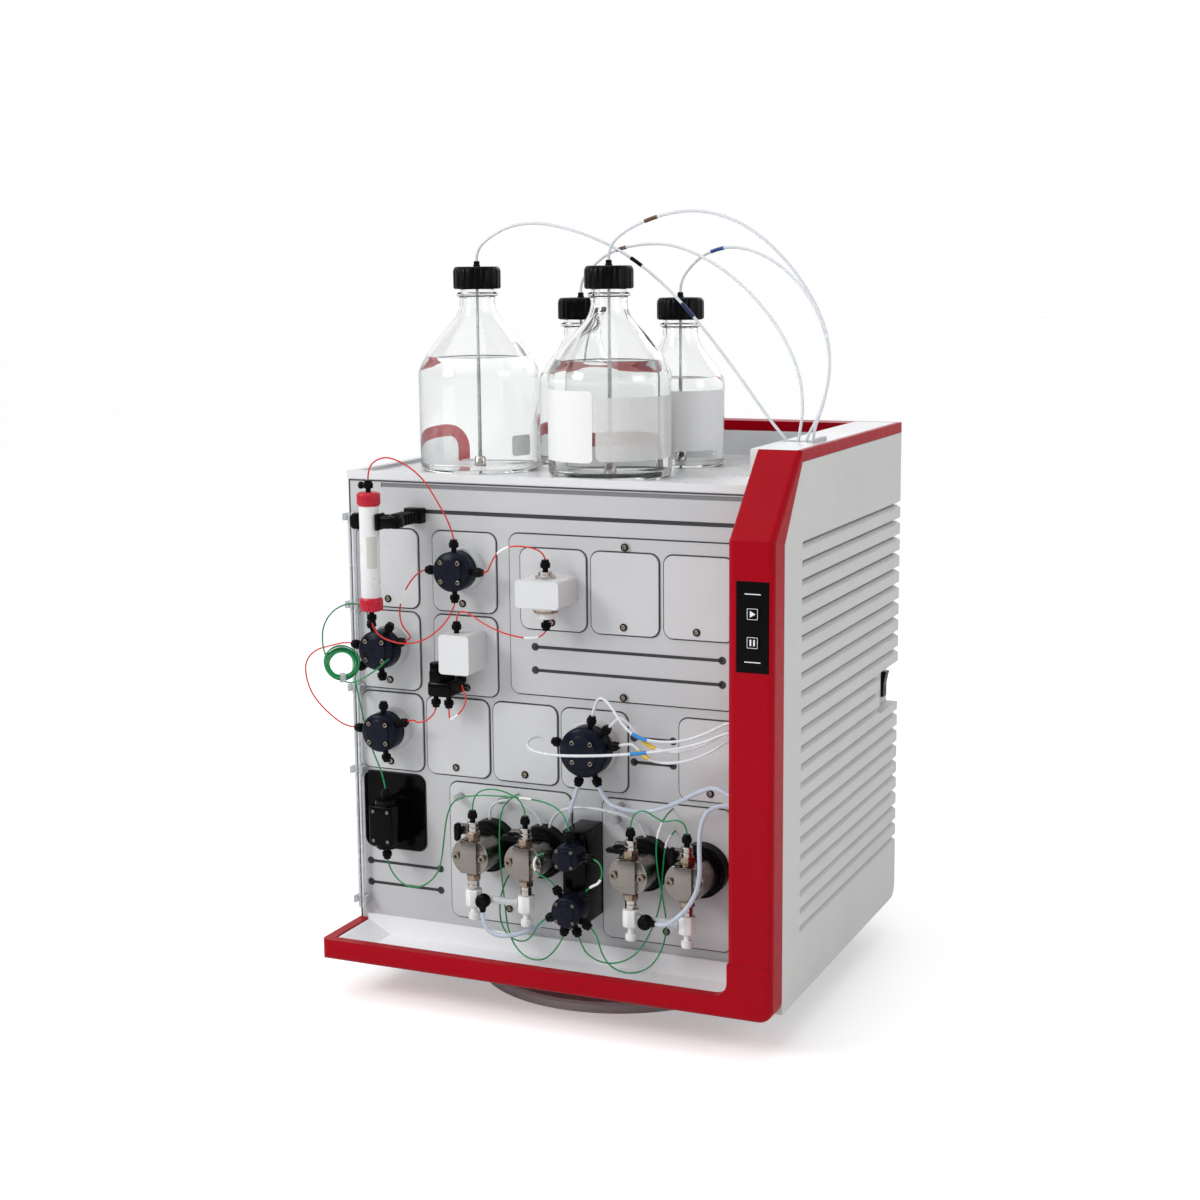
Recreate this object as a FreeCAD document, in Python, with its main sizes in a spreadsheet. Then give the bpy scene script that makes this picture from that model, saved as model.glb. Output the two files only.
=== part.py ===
import FreeCAD, Part
import math
import os

import Sketcher

# Bench liquid chromatography system for protein purification, in millimetres.
# The frame: X runs to the right, -Y is the front, +Z is up, and the origin lies on the bench
# under the middle of the casing.

SIZES = [
    # casing
    ("casing_width", 535, "width over both side covers"),
    ("casing_depth", 470, "depth from the front bumper to the rear"),
    ("casing_height", 630, "top of the tower and of the rear rim above the bench"),
    ("body_lift", 46, "underside of the casing above the bench"),
    ("cover_wall", 8, "wall of the moulded side covers"),
    ("sheet_wall", 3, "wall of the folded chassis"),
    ("rear_wall", 6, "thickness of the rear panel"),
    ("rear_flange_width", 32.5, "how far each side cover turns round the rear corner"),
    ("wet_setback", 87, "front of the bumper to the face of the wet side"),
    ("wet_panel_thickness", 6, "moulded panel of the wet side"),
    ("deck_height", 588, "buffer deck above the bench"),
    ("deck_thickness", 5, "floor of the buffer deck"),
    ("deck_rim_height", 4, "raised edge round the buffer deck"),
    ("deck_rim_width", 10, "width of that edge"),
    ("rear_wall_depth", 32, "depth of the wall behind the bottles"),
    ("tower_width", 55.5, "width of the tower right of the bottles"),
    ("rim_height", 12, "height of the coloured rim"),
    ("rim_end_radius", 26, "bend where the rear rim turns down at its left end"),
    # control column and base
    ("column_width", 49, "width of the control column"),
    ("column_bend_height", 547, "where the column starts to lean back"),
    ("column_top_setback", 85, "front of the bumper to the top edge of the column"),
    ("column_cap_depth", 34, "how much of the column's side stays in view"),
    ("column_edge_radius", 7, "rounding of the column's front edges"),
    ("cover_bend_height", 540, "where the right cover's front edge starts to lean back"),
    ("cover_top_setback", 90, "front of the bumper to the right cover's top corner"),
    ("bumper_height", 70, "top of the front bumper above the bench"),
    ("bumper_wall", 12, "thickness of the front bumper"),
    ("bumper_shelf", 4, "floor under the drip tray"),
    ("bumper_seam_height", 106, "where the bumper meets the control column"),
    ("bumper_radius", 16, "inner and outer rounding of the bumper's raised end"),
    ("tray_wall", 3, "wall of the drip tray"),
    ("tray_lip_height", 76, "top of the tray's rear lip above the bench"),
    ("fit_gap", 0.3, "gap between neighbouring pieces"),
    # louvres
    ("louvre_count", 22, "slots in one side cover"),
    ("louvre_pitch", 19.6, "from one slot to the next"),
    ("louvre_mouth", 8.6, "height of a slot at the outer face"),
    ("louvre_slit", 2, "height of the slit that passes through the wall"),
    ("louvre_depth", 5, "depth of the sloping part of a slot"),
    ("louvre_top", 536.5, "upper edge of the top slot above the bench"),
    ("louvre_front", 91.4, "front of the bumper to the front end of the slots"),
    # switch recess
    ("recess_bottom", 291, "lower edge of the power switch recess"),
    ("recess_height", 50, "height of the recess"),
    ("recess_length", 79, "length of the recess from the rear"),
    ("recess_depth", 14, "depth of the recess"),
    ("rocker_width", 14, "width of the rocker"),
    ("rocker_height", 31, "height of the rocker"),
    ("rocker_inset", 18, "rear of the casing to the middle of the rocker"),
    ("rocker_tilt", 6, "tilt of the rocker at rest, in degrees"),
    # modules on the wet side
    ("module_width", 78, "width of a module face"),
    ("module_height", 88.5, "height of a module face"),
    ("module_corner", 10, "corner radius of a module face"),
    ("module_gap", 0.8, "gap round a module face"),
    ("module_proud", 2, "how far a module face stands proud"),
    ("module_pitch", 94, "from one row of modules to the next"),
    ("module_row_height", 484.3, "middle of the top row above the bench"),
    ("column_one", -218, "middle of the first pair of columns"),
    ("column_two", -121, "middle of the second column in the upper rows"),
    ("upper_panel_left", -64.8, "left edge of the raised module panel"),
    ("upper_panel_right", 214, "right edge of the raised module panel"),
    ("upper_panel_below", 118, "middle of the modules on the raised panel down to its lower edge"),
    ("upper_panel_above", 59, "middle of those modules up to its upper edge"),
    ("upper_row_height", 471, "middle of the modules on the raised panel"),
    ("upper_first", -12, "middle of the first module on the raised panel"),
    ("upper_pitch", 84.2, "from one module to the next on the raised panel"),
    ("third_row_first", -216.5, "middle of the first module in the third row"),
    ("third_row_pitch", 83.6, "from one module to the next in the third row"),
    ("third_row_last", 172.6, "middle of the last module in the third row"),
    ("pump_panel_left", -69.5, "middle of the left pump panel"),
    ("pump_panel_right", 118.5, "middle of the right pump panel"),
    ("pump_panel_width", 150, "width of a pump panel"),
    ("pump_panel_height", 157, "height of a pump panel"),
    ("pump_panel_middle", 165.5, "middle of the pump panels above the bench"),
    ("rail_height", 4.6, "height of the two accessory rails"),
    ("rail_depth", 3, "depth of rails and holder slots"),
    ("upper_rail", 577.3, "middle of the upper rail above the bench"),
    ("lower_rail", 549.5, "middle of the lower rail above the bench"),
    ("slot_height", 3.6, "height of a holder slot"),
    ("slot_end_radius", 4.4, "round end of a holder slot"),
    ("screw_radius", 4.2, "head of a panel screw"),
    ("screw_head", 1.6, "height of a panel screw's head"),
    ("screw_drop", 35, "middle of a module down to its screw"),
    # valves
    ("valve_radius", 22, "head of a rotary valve"),
    ("inlet_valve_radius", 27.5, "head of the inlet valve"),
    ("valve_length", 22, "depth of a valve head"),
    ("valve_boss_radius", 15, "raised middle of a valve head"),
    ("valve_boss", 2, "height of that raised middle"),
    ("bezel_length", 12, "depth of the bezel behind a valve head"),
    ("bezel_rim", 3, "how far the bezel stands out round the head"),
    ("valve_rise", 4.4, "middle of a module up to the middle of its valve"),
    ("fitting_radius", 5.4, "corner radius of a finger-tight fitting"),
    ("fitting_grip", 9, "length of a fitting's grip"),
    ("fitting_neck_radius", 3.4, "corner radius of a fitting's neck"),
    ("fitting_neck", 4, "length of a fitting's neck"),
    # pumps
    ("pump_spacing", 64, "from one pump head to the next"),
    ("pump_offset", 11, "middle of a pump panel to the middle between its heads"),
    ("pump_height", 178, "middle of the pump heads above the bench"),
    ("pump_ring_radius", 29.5, "mounting ring of a pump head"),
    ("pump_ring_neck_radius", 25, "front step of the mounting ring"),
    ("pump_ring_length", 16, "depth of the mounting ring's wide part"),
    ("pump_ring_neck", 6, "depth of the mounting ring's front step"),
    ("pump_disc_radius", 22, "round part of a pump head"),
    ("pump_disc_length", 36, "depth of the round part"),
    ("pump_block_width", 20, "width of the raised front of a pump head"),
    ("pump_block_height", 36, "height of a pump head between its flats"),
    ("pump_block_proud", 5, "how far the raised front stands out"),
    ("pump_axis", 52, "wet side to the axis of the check valves"),
    ("piston_radius", 3, "pump piston"),
    ("piston_clearance", 0.05, "running gap round the piston"),
    ("piston_bore_length", 31, "depth of the bore in the pump head"),
    ("piston_stroke", 4, "piston travel each way"),
    ("piston_channel_radius", 5, "clear channel behind the pump head"),
    ("piston_length", 84, "length of a piston"),
    ("piston_room", 5, "room in front of a piston at rest"),
    ("nut_radius", 8.6, "corner radius of a check valve's nut"),
    ("nut_length", 9.5, "length of that nut"),
    ("cartridge_radius", 6.4, "check valve cartridge"),
    ("cartridge_length", 10.5, "how far the cartridge stands out of its nut"),
    ("manifold_radius", 9.6, "block of an inlet manifold"),
    ("manifold_length", 19, "height of that block"),
    ("manifold_stem_radius", 3.6, "stem under the block"),
    ("manifold_stem", 8, "length of the stem"),
    ("manifold_thumb_radius", 6.2, "thumb screw at the end of the stem"),
    ("manifold_thumb", 8, "length of the thumb screw"),
    ("manifold_bar_radius", 4, "bar between the two blocks"),
    ("purge_spindle_radius", 3, "spindle of a purge knob"),
    ("purge_reach", 12, "axis of a pump head to the spindle of its purge knob"),
    ("purge_rise", 11, "top of a pump head to that spindle"),
    ("purge_clearance", 0.05, "running gap round that spindle"),
    ("purge_wing_length", 20, "length over the wings of a purge knob"),
    ("purge_wing_width", 7, "width of the wings"),
    ("purge_wing_depth", 7, "depth of the wings"),
    # column on the left
    ("resin_x", -203.5, "middle of the chromatography column"),
    ("resin_setback", 23, "front of the bumper to the middle of the column"),
    ("resin_bottom", 461, "lower end of the column's tube"),
    ("resin_length", 101, "length of the tube between its caps"),
    ("resin_radius", 10.8, "tube of the column"),
    ("resin_cap_radius", 13, "end cap of the column"),
    ("resin_cap_length", 15, "length of an end cap"),
    ("clamp_radius", 17.5, "outside of the clamp's jaws"),
    ("clamp_height", 18, "height of the clamp's jaws"),
    # bottles
    ("large_bottle_radius", 68, "large buffer bottle"),
    ("large_bottle_height", 229, "large buffer bottle with its cap"),
    ("large_wall_height", 108, "straight wall of the large buffer bottle"),
    ("small_bottle_radius", 50.5, "small buffer bottle"),
    ("small_bottle_height", 192, "small buffer bottle with its cap"),
    ("small_wall_height", 92, "straight wall of the small buffer bottle"),
    ("glass_wall", 3, "wall of a bottle"),
    ("neck_radius", 19, "neck of a bottle"),
    ("lip_radius", 20.2, "threaded mouth of a bottle"),
    ("collar_radius", 22.8, "collar under the mouth"),
    ("cap_radius", 27, "screw cap"),
    ("cap_height", 25, "height of a screw cap"),
    ("cap_wall", 3, "top of a screw cap"),
    ("tube_radius", 1.6, "buffer tube"),
    ("capillary_radius", 0.85, "capillary"),
    ("hose_radius", 2.5, "pump inlet hose"),
    ("drain_radius", 2, "waste tube"),
    # foot, fan and mains inlet
    ("foot_radius", 165, "turntable that the casing swivels on"),
    ("foot_thickness", 12, "thickness of that turntable"),
    ("foot_hub_radius", 90, "hub of the turntable"),
    ("spindle_radius", 30, "spindle of the turntable"),
    ("spindle_clearance", 0.05, "running gap round the spindle"),
    ("fan_radius", 42, "tips of the fan"),
    ("fan_hub_radius", 16, "hub of the fan"),
    ("fan_pin_radius", 2.5, "pin that the fan turns on"),
    ("fan_pin_clearance", 0.05, "running gap round that pin"),
    ("fan_height", 470, "middle of the fan above the bench"),
    ("fan_x", 120, "middle of the fan"),
    ("fan_depth", 14, "depth of the fan's blades"),
    ("inlet_x", -190, "middle of the mains inlet"),
    ("inlet_height", 110, "middle of the mains inlet above the bench"),
    ("inlet_width", 28, "width of the mains inlet"),
    ("inlet_length", 48, "length of the mains inlet"),
    # control panel
    ("panel_inset", 5, "right side of the casing to the control panel"),
    ("panel_width", 34, "width of the control panel"),
    ("panel_bottom", 414.3, "lower edge of the control panel above the bench"),
    ("panel_height", 92, "height of the control panel"),
    ("panel_thickness", 3, "thickness of the control panel"),
    ("button_width", 15, "width of a button"),
    ("button_height", 13, "height of a button"),
    ("button_proud", 0.8, "how far a button stands proud"),
    ("button_flange", 1.5, "flange behind a button and its margin round it"),
    ("start_height", 474, "middle of the start button above the bench"),
    ("pause_height", 445, "middle of the pause button above the bench"),
    # devices on the wet side
    ("block_left", 16, "left side of the pressure sensor block"),
    ("block_width", 27.2, "width of the pressure sensor block"),
    ("block_bottom", 113, "lower edge of that block above the bench"),
    ("block_height", 104, "height of that block"),
    ("block_depth", 49, "how far that block stands out of the wet side"),
    ("sensor_x", 30, "middle of the two small heads on that block"),
    ("sensor_head_radius", 15, "upper small head"),
    ("pressure_head_radius", 17, "lower small head"),
    ("small_head_length", 26, "depth of a small head"),
    ("sensor_height", 193, "middle of the upper small head above the bench"),
    ("pressure_height", 133, "middle of the lower small head above the bench"),
    ("uv_x", -212, "middle of the flow cell"),
    ("uv_setback", 44, "depth of the flow cell's body"),
    ("uv_width", 29, "width of the flow cell's body"),
    ("uv_bottom", 172, "lower edge of the flow cell's body"),
    ("uv_height", 46, "height of the flow cell's body"),
    ("uv_end_radius", 12, "round ends of the flow cell"),
    ("uv_end_length", 5, "length of those ends"),
    ("monitor_left", -132, "left side of the conductivity monitor"),
    ("monitor_width", 37, "width of the monitor"),
    ("monitor_bottom", 377, "lower edge of the monitor"),
    ("monitor_height", 44, "height of the monitor"),
    ("monitor_depth", 45, "how far the monitor stands out"),
    ("mixer_left", -34, "left side of the mixer's housing"),
    ("mixer_width", 51, "width of the mixer's housing"),
    ("mixer_drop", 13, "middle of its module down to the lower edge of the mixer's housing"),
    ("mixer_height", 30, "height of the mixer's housing"),
    ("mixer_depth", 53, "how far the mixer stands out"),
    ("mixer_corner", 4, "rounding of the two white housings"),
    ("mixer_disc_radius", 15, "lower disc of the mixing chamber"),
    ("mixer_neck_radius", 9, "neck of the mixing chamber"),
    ("mixer_collar_radius", 11, "upper collar of the mixing chamber"),
    ("chamber_step", 7, "height of each step of the mixing chamber"),
    ("device_axis", 30, "wet side to the axis of the devices' fittings"),
    # bottles
    ("large_shoulder_radius", 51, "middle of the large bottle's shoulder"),
    ("large_shoulder_rise", 27, "straight wall up to that point"),
    ("small_shoulder_radius", 38, "middle of the small bottle's shoulder"),
    ("small_shoulder_rise", 20, "straight wall up to that point"),
    ("collar_height", 5, "height of the collar under the mouth"),
    ("collar_drop", 46, "top of a bottle's cap down to the collar"),
    ("neck_drop", 58, "top of a bottle's cap down to the foot of the neck"),
    ("insert_radius", 19.5, "insert that carries the tube"),
    ("insert_height", 2, "height of the insert's flange"),
    ("nipple_radius", 4, "hose nipple of the insert"),
    ("nipple_height", 6, "how far the nipple stands out of the cap"),
    ("dip_clearance", 9, "end of the dip tube above the bottle's inner floor"),
    ("cap_clearance", 0.05, "running gap between a cap and the bottle's mouth"),
    # further sizes of the top, pumps and insides
    ("rim_side_width", 5.5, "width of the rim along the right side"),
    ("rim_leg_width", 14, "width of the rim's left leg"),
    ("cable_slot_left", 215, "left end of the slot that the buffer tubes enter"),
    ("cable_slot_front", -58, "front of that slot"),
    ("cable_slot_length", 37, "length of that slot"),
    ("cable_slot_width", 20, "width of that slot"),
    ("cable_slot_depth", 20, "depth of that slot"),
    ("button_room", 4, "room behind a button"),
    ("tray_slope", 26, "length of the sloping end of the tray"),
    ("connector_radius", 8, "hose connector on a manifold"),
    ("connector_length", 12, "length of a hose connector"),
    ("bar_drop", 10, "top of a manifold down to its bar"),
    ("restrictor_bottom", 349, "lower edge of the flow restrictor"),
    ("loop_radius", 16, "middle of the sample loop's bundle"),
    ("loop_bundle", 5, "thickness of the bundle, from its middle"),
    ("drive_width", 112, "width of a pump drive"),
    ("drive_height", 84, "height of a pump drive"),
    ("drive_depth", 130, "depth of a pump drive"),
    ("drive_bore", 40, "depth of the bores for the pistons"),
    ("motor_length", 40, "length of a valve's motor"),
]

doc = FreeCAD.newDocument("liquid_chromatography_system")
sheet = doc.addObject("Spreadsheet::Sheet", "Sizes")


class Size:
    """A length with the sheet formula that it comes from, so that objects stay tied to it."""

    def __init__(self, value, formula):
        self.value = float(value)
        self.formula = formula

    def __add__(self, other):
        other = as_size(other)
        return Size(self.value + other.value, f"({self.formula} + {other.formula})")

    def __sub__(self, other):
        other = as_size(other)
        return Size(self.value - other.value, f"({self.formula} - {other.formula})")

    def __mul__(self, factor):
        return Size(self.value * factor, f"({self.formula} * {factor})")

    def __truediv__(self, divisor):
        return Size(self.value / divisor, f"({self.formula} / {divisor})")

    def __neg__(self):
        return Size(-self.value, f"(-1 * {self.formula})")

    def __radd__(self, other):
        return as_size(other) + self

    def __rsub__(self, other):
        return as_size(other) - self

    def __float__(self):
        return self.value


def as_size(value):
    return value if isinstance(value, Size) else Size(value, f"({float(value)!r})")


def read_sheet():
    for row, (alias, value, meaning) in enumerate(SIZES, start=1):
        sheet.set(f"A{row}", meaning)
        sheet.set(f"B{row}", str(value))
        sheet.setAlias(f"B{row}", alias)
    doc.recompute()
    return {alias: Size(sheet.get(alias), f"Sizes.{alias}") for alias, _, _ in SIZES}


s = read_sheet()

X_AXIS = FreeCAD.Vector(1, 0, 0)
Y_AXIS = FreeCAD.Vector(0, 1, 0)
Z_AXIS = FreeCAD.Vector(0, 0, 1)
FRONT = FreeCAD.Vector(0, -1, 0)
BACK = FreeCAD.Vector(0, 1, 0)
LEFT = FreeCAD.Vector(-1, 0, 0)
RIGHT = FreeCAD.Vector(1, 0, 0)
UP = FreeCAD.Vector(0, 0, 1)
DOWN = FreeCAD.Vector(0, 0, -1)

nodes = {}
names_in_use = set()


def fresh(name):
    """A name for an inner feature that no other feature has."""
    number = 1
    while f"{name}_{number}" in names_in_use:
        number += 1
    names_in_use.add(f"{name}_{number}")
    return f"{name}_{number}"


def tie(item, prop, length):
    """Set a property and keep it tied to the sheet."""
    length = as_size(length)
    head, _, tail = prop.partition(".")
    if not tail:
        setattr(item, head, length.value)
    item.setExpression(prop, length.formula)


def place(item, corner, direction=None):
    """Put an item's origin at a corner, and turn its +Z to a direction."""
    x, y, z = (as_size(value) for value in corner)
    turn = FreeCAD.Rotation(Z_AXIS, direction) if direction else FreeCAD.Rotation()
    item.Placement = FreeCAD.Placement(FreeCAD.Vector(x.value, y.value, z.value), turn)
    for axis, value in zip("xyz", (x, y, z)):
        item.setExpression(f"Placement.Base.{axis}", value.formula)
    return item


def block(name, low, high):
    """A box between two corners."""
    item = doc.addObject("Part::Box", fresh(name))
    for prop, start, end in zip(("Length", "Width", "Height"), low, high):
        tie(item, prop, as_size(end) - start)
    return place(item, low)


def rod(name, radius, length, base, direction=UP):
    """A round bar from its base centre along a direction."""
    item = doc.addObject("Part::Cylinder", fresh(name))
    tie(item, "Radius", radius)
    tie(item, "Height", length)
    return place(item, base, direction)


def taper(name, radius, end_radius, length, base, direction=UP):
    item = doc.addObject("Part::Cone", fresh(name))
    tie(item, "Radius1", radius)
    tie(item, "Radius2", end_radius)
    tie(item, "Height", length)
    return place(item, base, direction)


def hexagon(name, radius, length, base, direction=UP):
    """A six-sided bar from its base centre along a direction."""
    item = doc.addObject("Part::Prism", fresh(name))
    item.Polygon = 6
    tie(item, "Circumradius", radius)
    tie(item, "Height", length)
    return place(item, base, direction)


def fuse(name, *pieces):
    item = doc.addObject("Part::MultiFuse", fresh(name))
    item.Shapes = list(pieces)
    item.Refine = True
    return item


def cut(name, base, *tools):
    item = doc.addObject("Part::Cut", fresh(name))
    item.Base = base
    item.Tool = tools[0] if len(tools) == 1 else fuse(f"{name}_tools", *tools)
    return item


def group(name, pieces):
    """Separate solids in one node."""
    item = doc.addObject("Part::Compound", fresh(name))
    item.Links = list(pieces)
    return item


def node(name, item):
    """Give a finished sub-part its own label, which names its file."""
    item.Label = name
    nodes[name] = item
    return item


def origin_plane(body, role):
    return next(item for item in body.Origin.OriginFeatures if item.Role == role)


def polygon_sketch(body, name, role, corners):
    """A closed outline whose corners are tied to the sheet."""
    sketch = body.newObject("Sketcher::SketchObject", fresh(name))
    sketch.AttachmentSupport = (origin_plane(body, role), [""])
    sketch.MapMode = "FlatFace"
    corners = [(as_size(u), as_size(v)) for u, v in corners]
    points = [FreeCAD.Vector(u.value, v.value, 0) for u, v in corners]
    for here, after in zip(points, points[1:] + points[:1]):
        sketch.addGeometry(Part.LineSegment(here, after))
    for edge in range(len(points)):
        follower = (edge + 1) % len(points)
        sketch.addConstraint(Sketcher.Constraint("Coincident", edge, 2, follower, 1))
    for edge, (u, v) in enumerate(corners):
        for kind, length in (("DistanceX", u), ("DistanceY", v)):
            row = sketch.addConstraint(Sketcher.Constraint(kind, -1, 1, edge, 1, length.value))
            sketch.setExpression(f"Constraints[{row}]", length.formula)
    return sketch


def padded_outline(name, role, corners, length, reverse=False):
    """A body made by padding one outline along its plane's normal."""
    body = doc.addObject("PartDesign::Body", fresh(name))
    pad = body.newObject("PartDesign::Pad", fresh(f"{name}_pad"))
    pad.Profile = polygon_sketch(body, f"{name}_sketch", role, corners)
    tie(pad, "Length", length)
    pad.Reversed = reverse
    body.Tip = pad
    doc.recompute()
    return body


def round_edges(body, radius, chosen):
    """Fillet those edges of a body's tip for which chosen(edge) is true."""
    tip = body.Tip
    names = [f"Edge{i}" for i, edge in enumerate(tip.Shape.Edges, start=1) if chosen(edge)]
    fillet = body.newObject("PartDesign::Fillet", fresh(f"{body.Name}_fillet"))
    fillet.Base = (tip, names)
    tie(fillet, "Radius", radius)
    body.Tip = fillet
    doc.recompute()
    return body


def revolved(name, corners, base, direction=UP):
    """A body turned from a half outline of (radius, height) corners."""
    body = doc.addObject("PartDesign::Body", fresh(name))
    turned = body.newObject("PartDesign::Revolution", fresh(f"{name}_turned"))
    sketch = polygon_sketch(body, f"{name}_sketch", "XZ_Plane", corners)
    turned.Profile = sketch
    turned.ReferenceAxis = (sketch, ["V_Axis"])
    turned.Angle = 360
    body.Tip = turned
    doc.recompute()
    return place(body, base, direction)


def runs_along(edge, axis):
    along = edge.tangentAt(edge.FirstParameter)
    return edge.Curve.TypeId == "Part::GeomLine" and abs(along.dot(axis)) > 0.999


def tile(name, middle_x, middle_z, width, height, corner, front, thickness):
    """A flat plate with round corners that faces the front."""
    half_w = as_size(width) / 2
    half_h = as_size(height) / 2
    corners = [(-half_w, -half_h), (half_w, -half_h), (half_w, half_h), (-half_w, half_h)]
    body = padded_outline(name, "XZ_Plane", corners, thickness, reverse=True)
    round_edges(body, corner, lambda edge: runs_along(edge, Y_AXIS))
    return place(body, (middle_x, front, middle_z))


# Planes that the pieces share

left_x = -s["casing_width"] / 2
right_x = s["casing_width"] / 2
front_y = -s["casing_depth"] / 2
rear_y = s["casing_depth"] / 2
wet_y = front_y + s["wet_setback"]
wet_back_y = wet_y + s["wet_panel_thickness"]
module_y = wet_y - s["module_proud"]
upper_module_y = module_y - s["module_proud"]
chassis_left = left_x + s["cover_wall"]
chassis_right = right_x - s["cover_wall"]
deck_bottom = s["deck_height"] - s["deck_thickness"]
rim_top = s["deck_height"] + s["deck_rim_height"]
rim_bottom = s["casing_height"] - s["rim_height"]
tower_left = right_x - s["tower_width"]
column_left = right_x - s["column_width"]
rear_inner_y = rear_y - s["rear_wall"]
wall_behind_y = rear_y - s["rear_wall_depth"]
bulkhead_back_y = wet_back_y + s["sheet_wall"]
gap = s["fit_gap"]
rim_leg = s["rim_leg_width"]
panel_left = right_x - s["panel_inset"] - s["panel_width"]
panel_low = s["panel_bottom"]
button_x = panel_left + s["panel_width"] / 2
BUTTON_Z = (s["start_height"], s["pause_height"])

# Where the modules sit

row_one = s["module_row_height"]
row_two = row_one - s["module_pitch"]
row_three = row_two - s["module_pitch"]
row_four = row_three - s["module_pitch"]


def third_row(place_in_row):
    return s["third_row_first"] + s["third_row_pitch"] * place_in_row


def upper_row(place_in_row):
    return s["upper_first"] + s["upper_pitch"] * place_in_row


VALVE_MODULES = [
    (s["column_two"], row_one),
    (s["column_one"], row_two),
    (third_row(0), row_three),
    (third_row(3), row_three),
]
CONDUCTIVITY_MODULE = (s["column_two"], row_two)
MIXER_MODULE = (upper_row(0), s["upper_row_height"])
upper_panel_low = s["upper_row_height"] - s["upper_panel_below"]
upper_panel_high = s["upper_row_height"] + s["upper_panel_above"]
PLAIN_MODULES = [
    (s["column_one"], row_one),
    (third_row(1), row_three),
    (third_row(2), row_three),
    (s["third_row_last"], row_three),
]
PLAIN_UPPER_MODULES = [
    (upper_row(1), s["upper_row_height"]),
    (upper_row(2), s["upper_row_height"]),
]
UV_MODULE = (third_row(0), row_four)
PUMP_PANELS = [
    (s["pump_panel_left"], s["pump_panel_middle"]),
    (s["pump_panel_right"], s["pump_panel_middle"]),
]


def pump_places():
    """Middle of each pump head across the front, left to right."""
    for panel_x, _ in PUMP_PANELS:
        for side in (-0.5, 0.5):
            yield panel_x + s["pump_offset"] + s["pump_spacing"] * side


PUMP_X = list(pump_places())
pump_z = s["pump_height"]


def module_face(name, middle, front, thickness):
    """A module's plate."""
    corner = s["module_corner"]
    return tile(name, *middle, s["module_width"], s["module_height"], corner, front, thickness)


def hole_for(name, middle, front, thickness):
    """The opening round a module, a little larger and longer than the plate."""
    spare = 1.0
    gap_size = s["module_gap"]
    return tile(
        name,
        middle[0],
        middle[1],
        s["module_width"] + gap_size * 2,
        s["module_height"] + gap_size * 2,
        s["module_corner"] + gap_size,
        front - spare,
        thickness + 2 * spare,
    )


def holder_slot(name, left, right, height, front):
    """A blind slot with round ends that tube holders clip into."""
    half = s["slot_height"] / 2
    low = (left, front, height - half)
    high = (right, front + s["rail_depth"], height + half)
    bar = block(name, low, high)
    ends = [
        rod(name, s["slot_end_radius"], s["rail_depth"], (end, front, height), BACK)
        for end in (left, right)
    ]
    return fuse(name, bar, *ends)


def rail(name, left, height):
    half = s["rail_height"] / 2
    low = (left, wet_y, height - half)
    high = (column_left, wet_y + s["rail_depth"], height + half)
    return block(name, low, high)


def chassis():
    """Folded sheet: a bulkhead behind the wet side, a floor, two sides and a top."""
    bottom = s["body_lift"]
    wall = s["sheet_wall"]
    shell = block(
        "chassis_outside",
        (chassis_left, wet_back_y, bottom),
        (chassis_right, rear_inner_y, deck_bottom),
    )
    hollow = block(
        "chassis_inside",
        (chassis_left + wall, bulkhead_back_y, bottom + wall),
        (chassis_right - wall, rear_inner_y + 1, deck_bottom - wall),
    )
    spindle_hole = rod(
        "spindle_hole",
        s["spindle_radius"] + s["spindle_clearance"],
        wall * 3,
        (0, 0, bottom - wall),
    )
    channels = [
        rod("piston_opening", s["piston_channel_radius"], wall * 3, (x, wet_back_y - wall, pump_z), BACK)
        for x in PUMP_X
    ]
    recess = block(
        "recess_opening",
        (chassis_right - wall * 2, recess_front() - wall - gap, recess_low() - wall - gap),
        (right_x, rear_y, recess_high() + wall + gap),
    )
    return cut("chassis", shell, hollow, spindle_hole, recess, *channels)


def recess_front():
    return rear_y - s["recess_length"]


def recess_low():
    return s["recess_bottom"]


def recess_high():
    return s["recess_bottom"] + s["recess_height"]


def recess_floor_x():
    return right_x - s["recess_depth"]


def wet_panel():
    """The moulded front panel with an opening for each module."""
    panel = block(
        "wet_plate",
        (left_x + 2, wet_y, s["body_lift"] + s["bumper_shelf"]),
        (chassis_right, wet_back_y, deck_bottom),
    )
    depth = s["wet_panel_thickness"]
    modules = VALVE_MODULES + [CONDUCTIVITY_MODULE, UV_MODULE] + PLAIN_MODULES
    holes = [hole_for("module_opening", middle, wet_y, depth) for middle in modules]
    holes += [pump_panel_tile("pump_opening", middle, s["module_gap"]) for middle in PUMP_PANELS]
    holes.append(upper_panel_tile("upper_opening", s["module_gap"]))
    holes.append(rail("upper_rail", third_row(0) - 8, s["upper_rail"]))
    holes.append(rail("lower_rail", s["column_one"] + 28, s["lower_rail"]))
    for height in (313.8, 287):
        holes.append(holder_slot("middle_slot", 80.4, 125.7, height, wet_y))
    for height in (139.2, 113.7):
        holes.append(holder_slot("lower_slot", -251.2, -160, height, wet_y))
    return cut("wet_panel", panel, *holes)


def upper_panel_tile(name, grow=None):
    """The raised panel on the right, or the opening that it sits in."""
    width = s["upper_panel_right"] - s["upper_panel_left"]
    height = upper_panel_high - upper_panel_low
    middle_x = (s["upper_panel_right"] + s["upper_panel_left"]) / 2
    middle_z = (upper_panel_high + upper_panel_low) / 2
    thickness = s["wet_panel_thickness"] + s["module_proud"]
    corner = s["module_corner"]
    if grow is None:
        return tile(name, middle_x, middle_z, width, height, corner, module_y, thickness)
    spare = s["wet_panel_thickness"]
    return tile(
        name,
        middle_x,
        middle_z,
        width + grow * 2,
        height + grow * 2,
        corner + grow,
        module_y - spare,
        thickness + spare * 2,
    )


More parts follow.
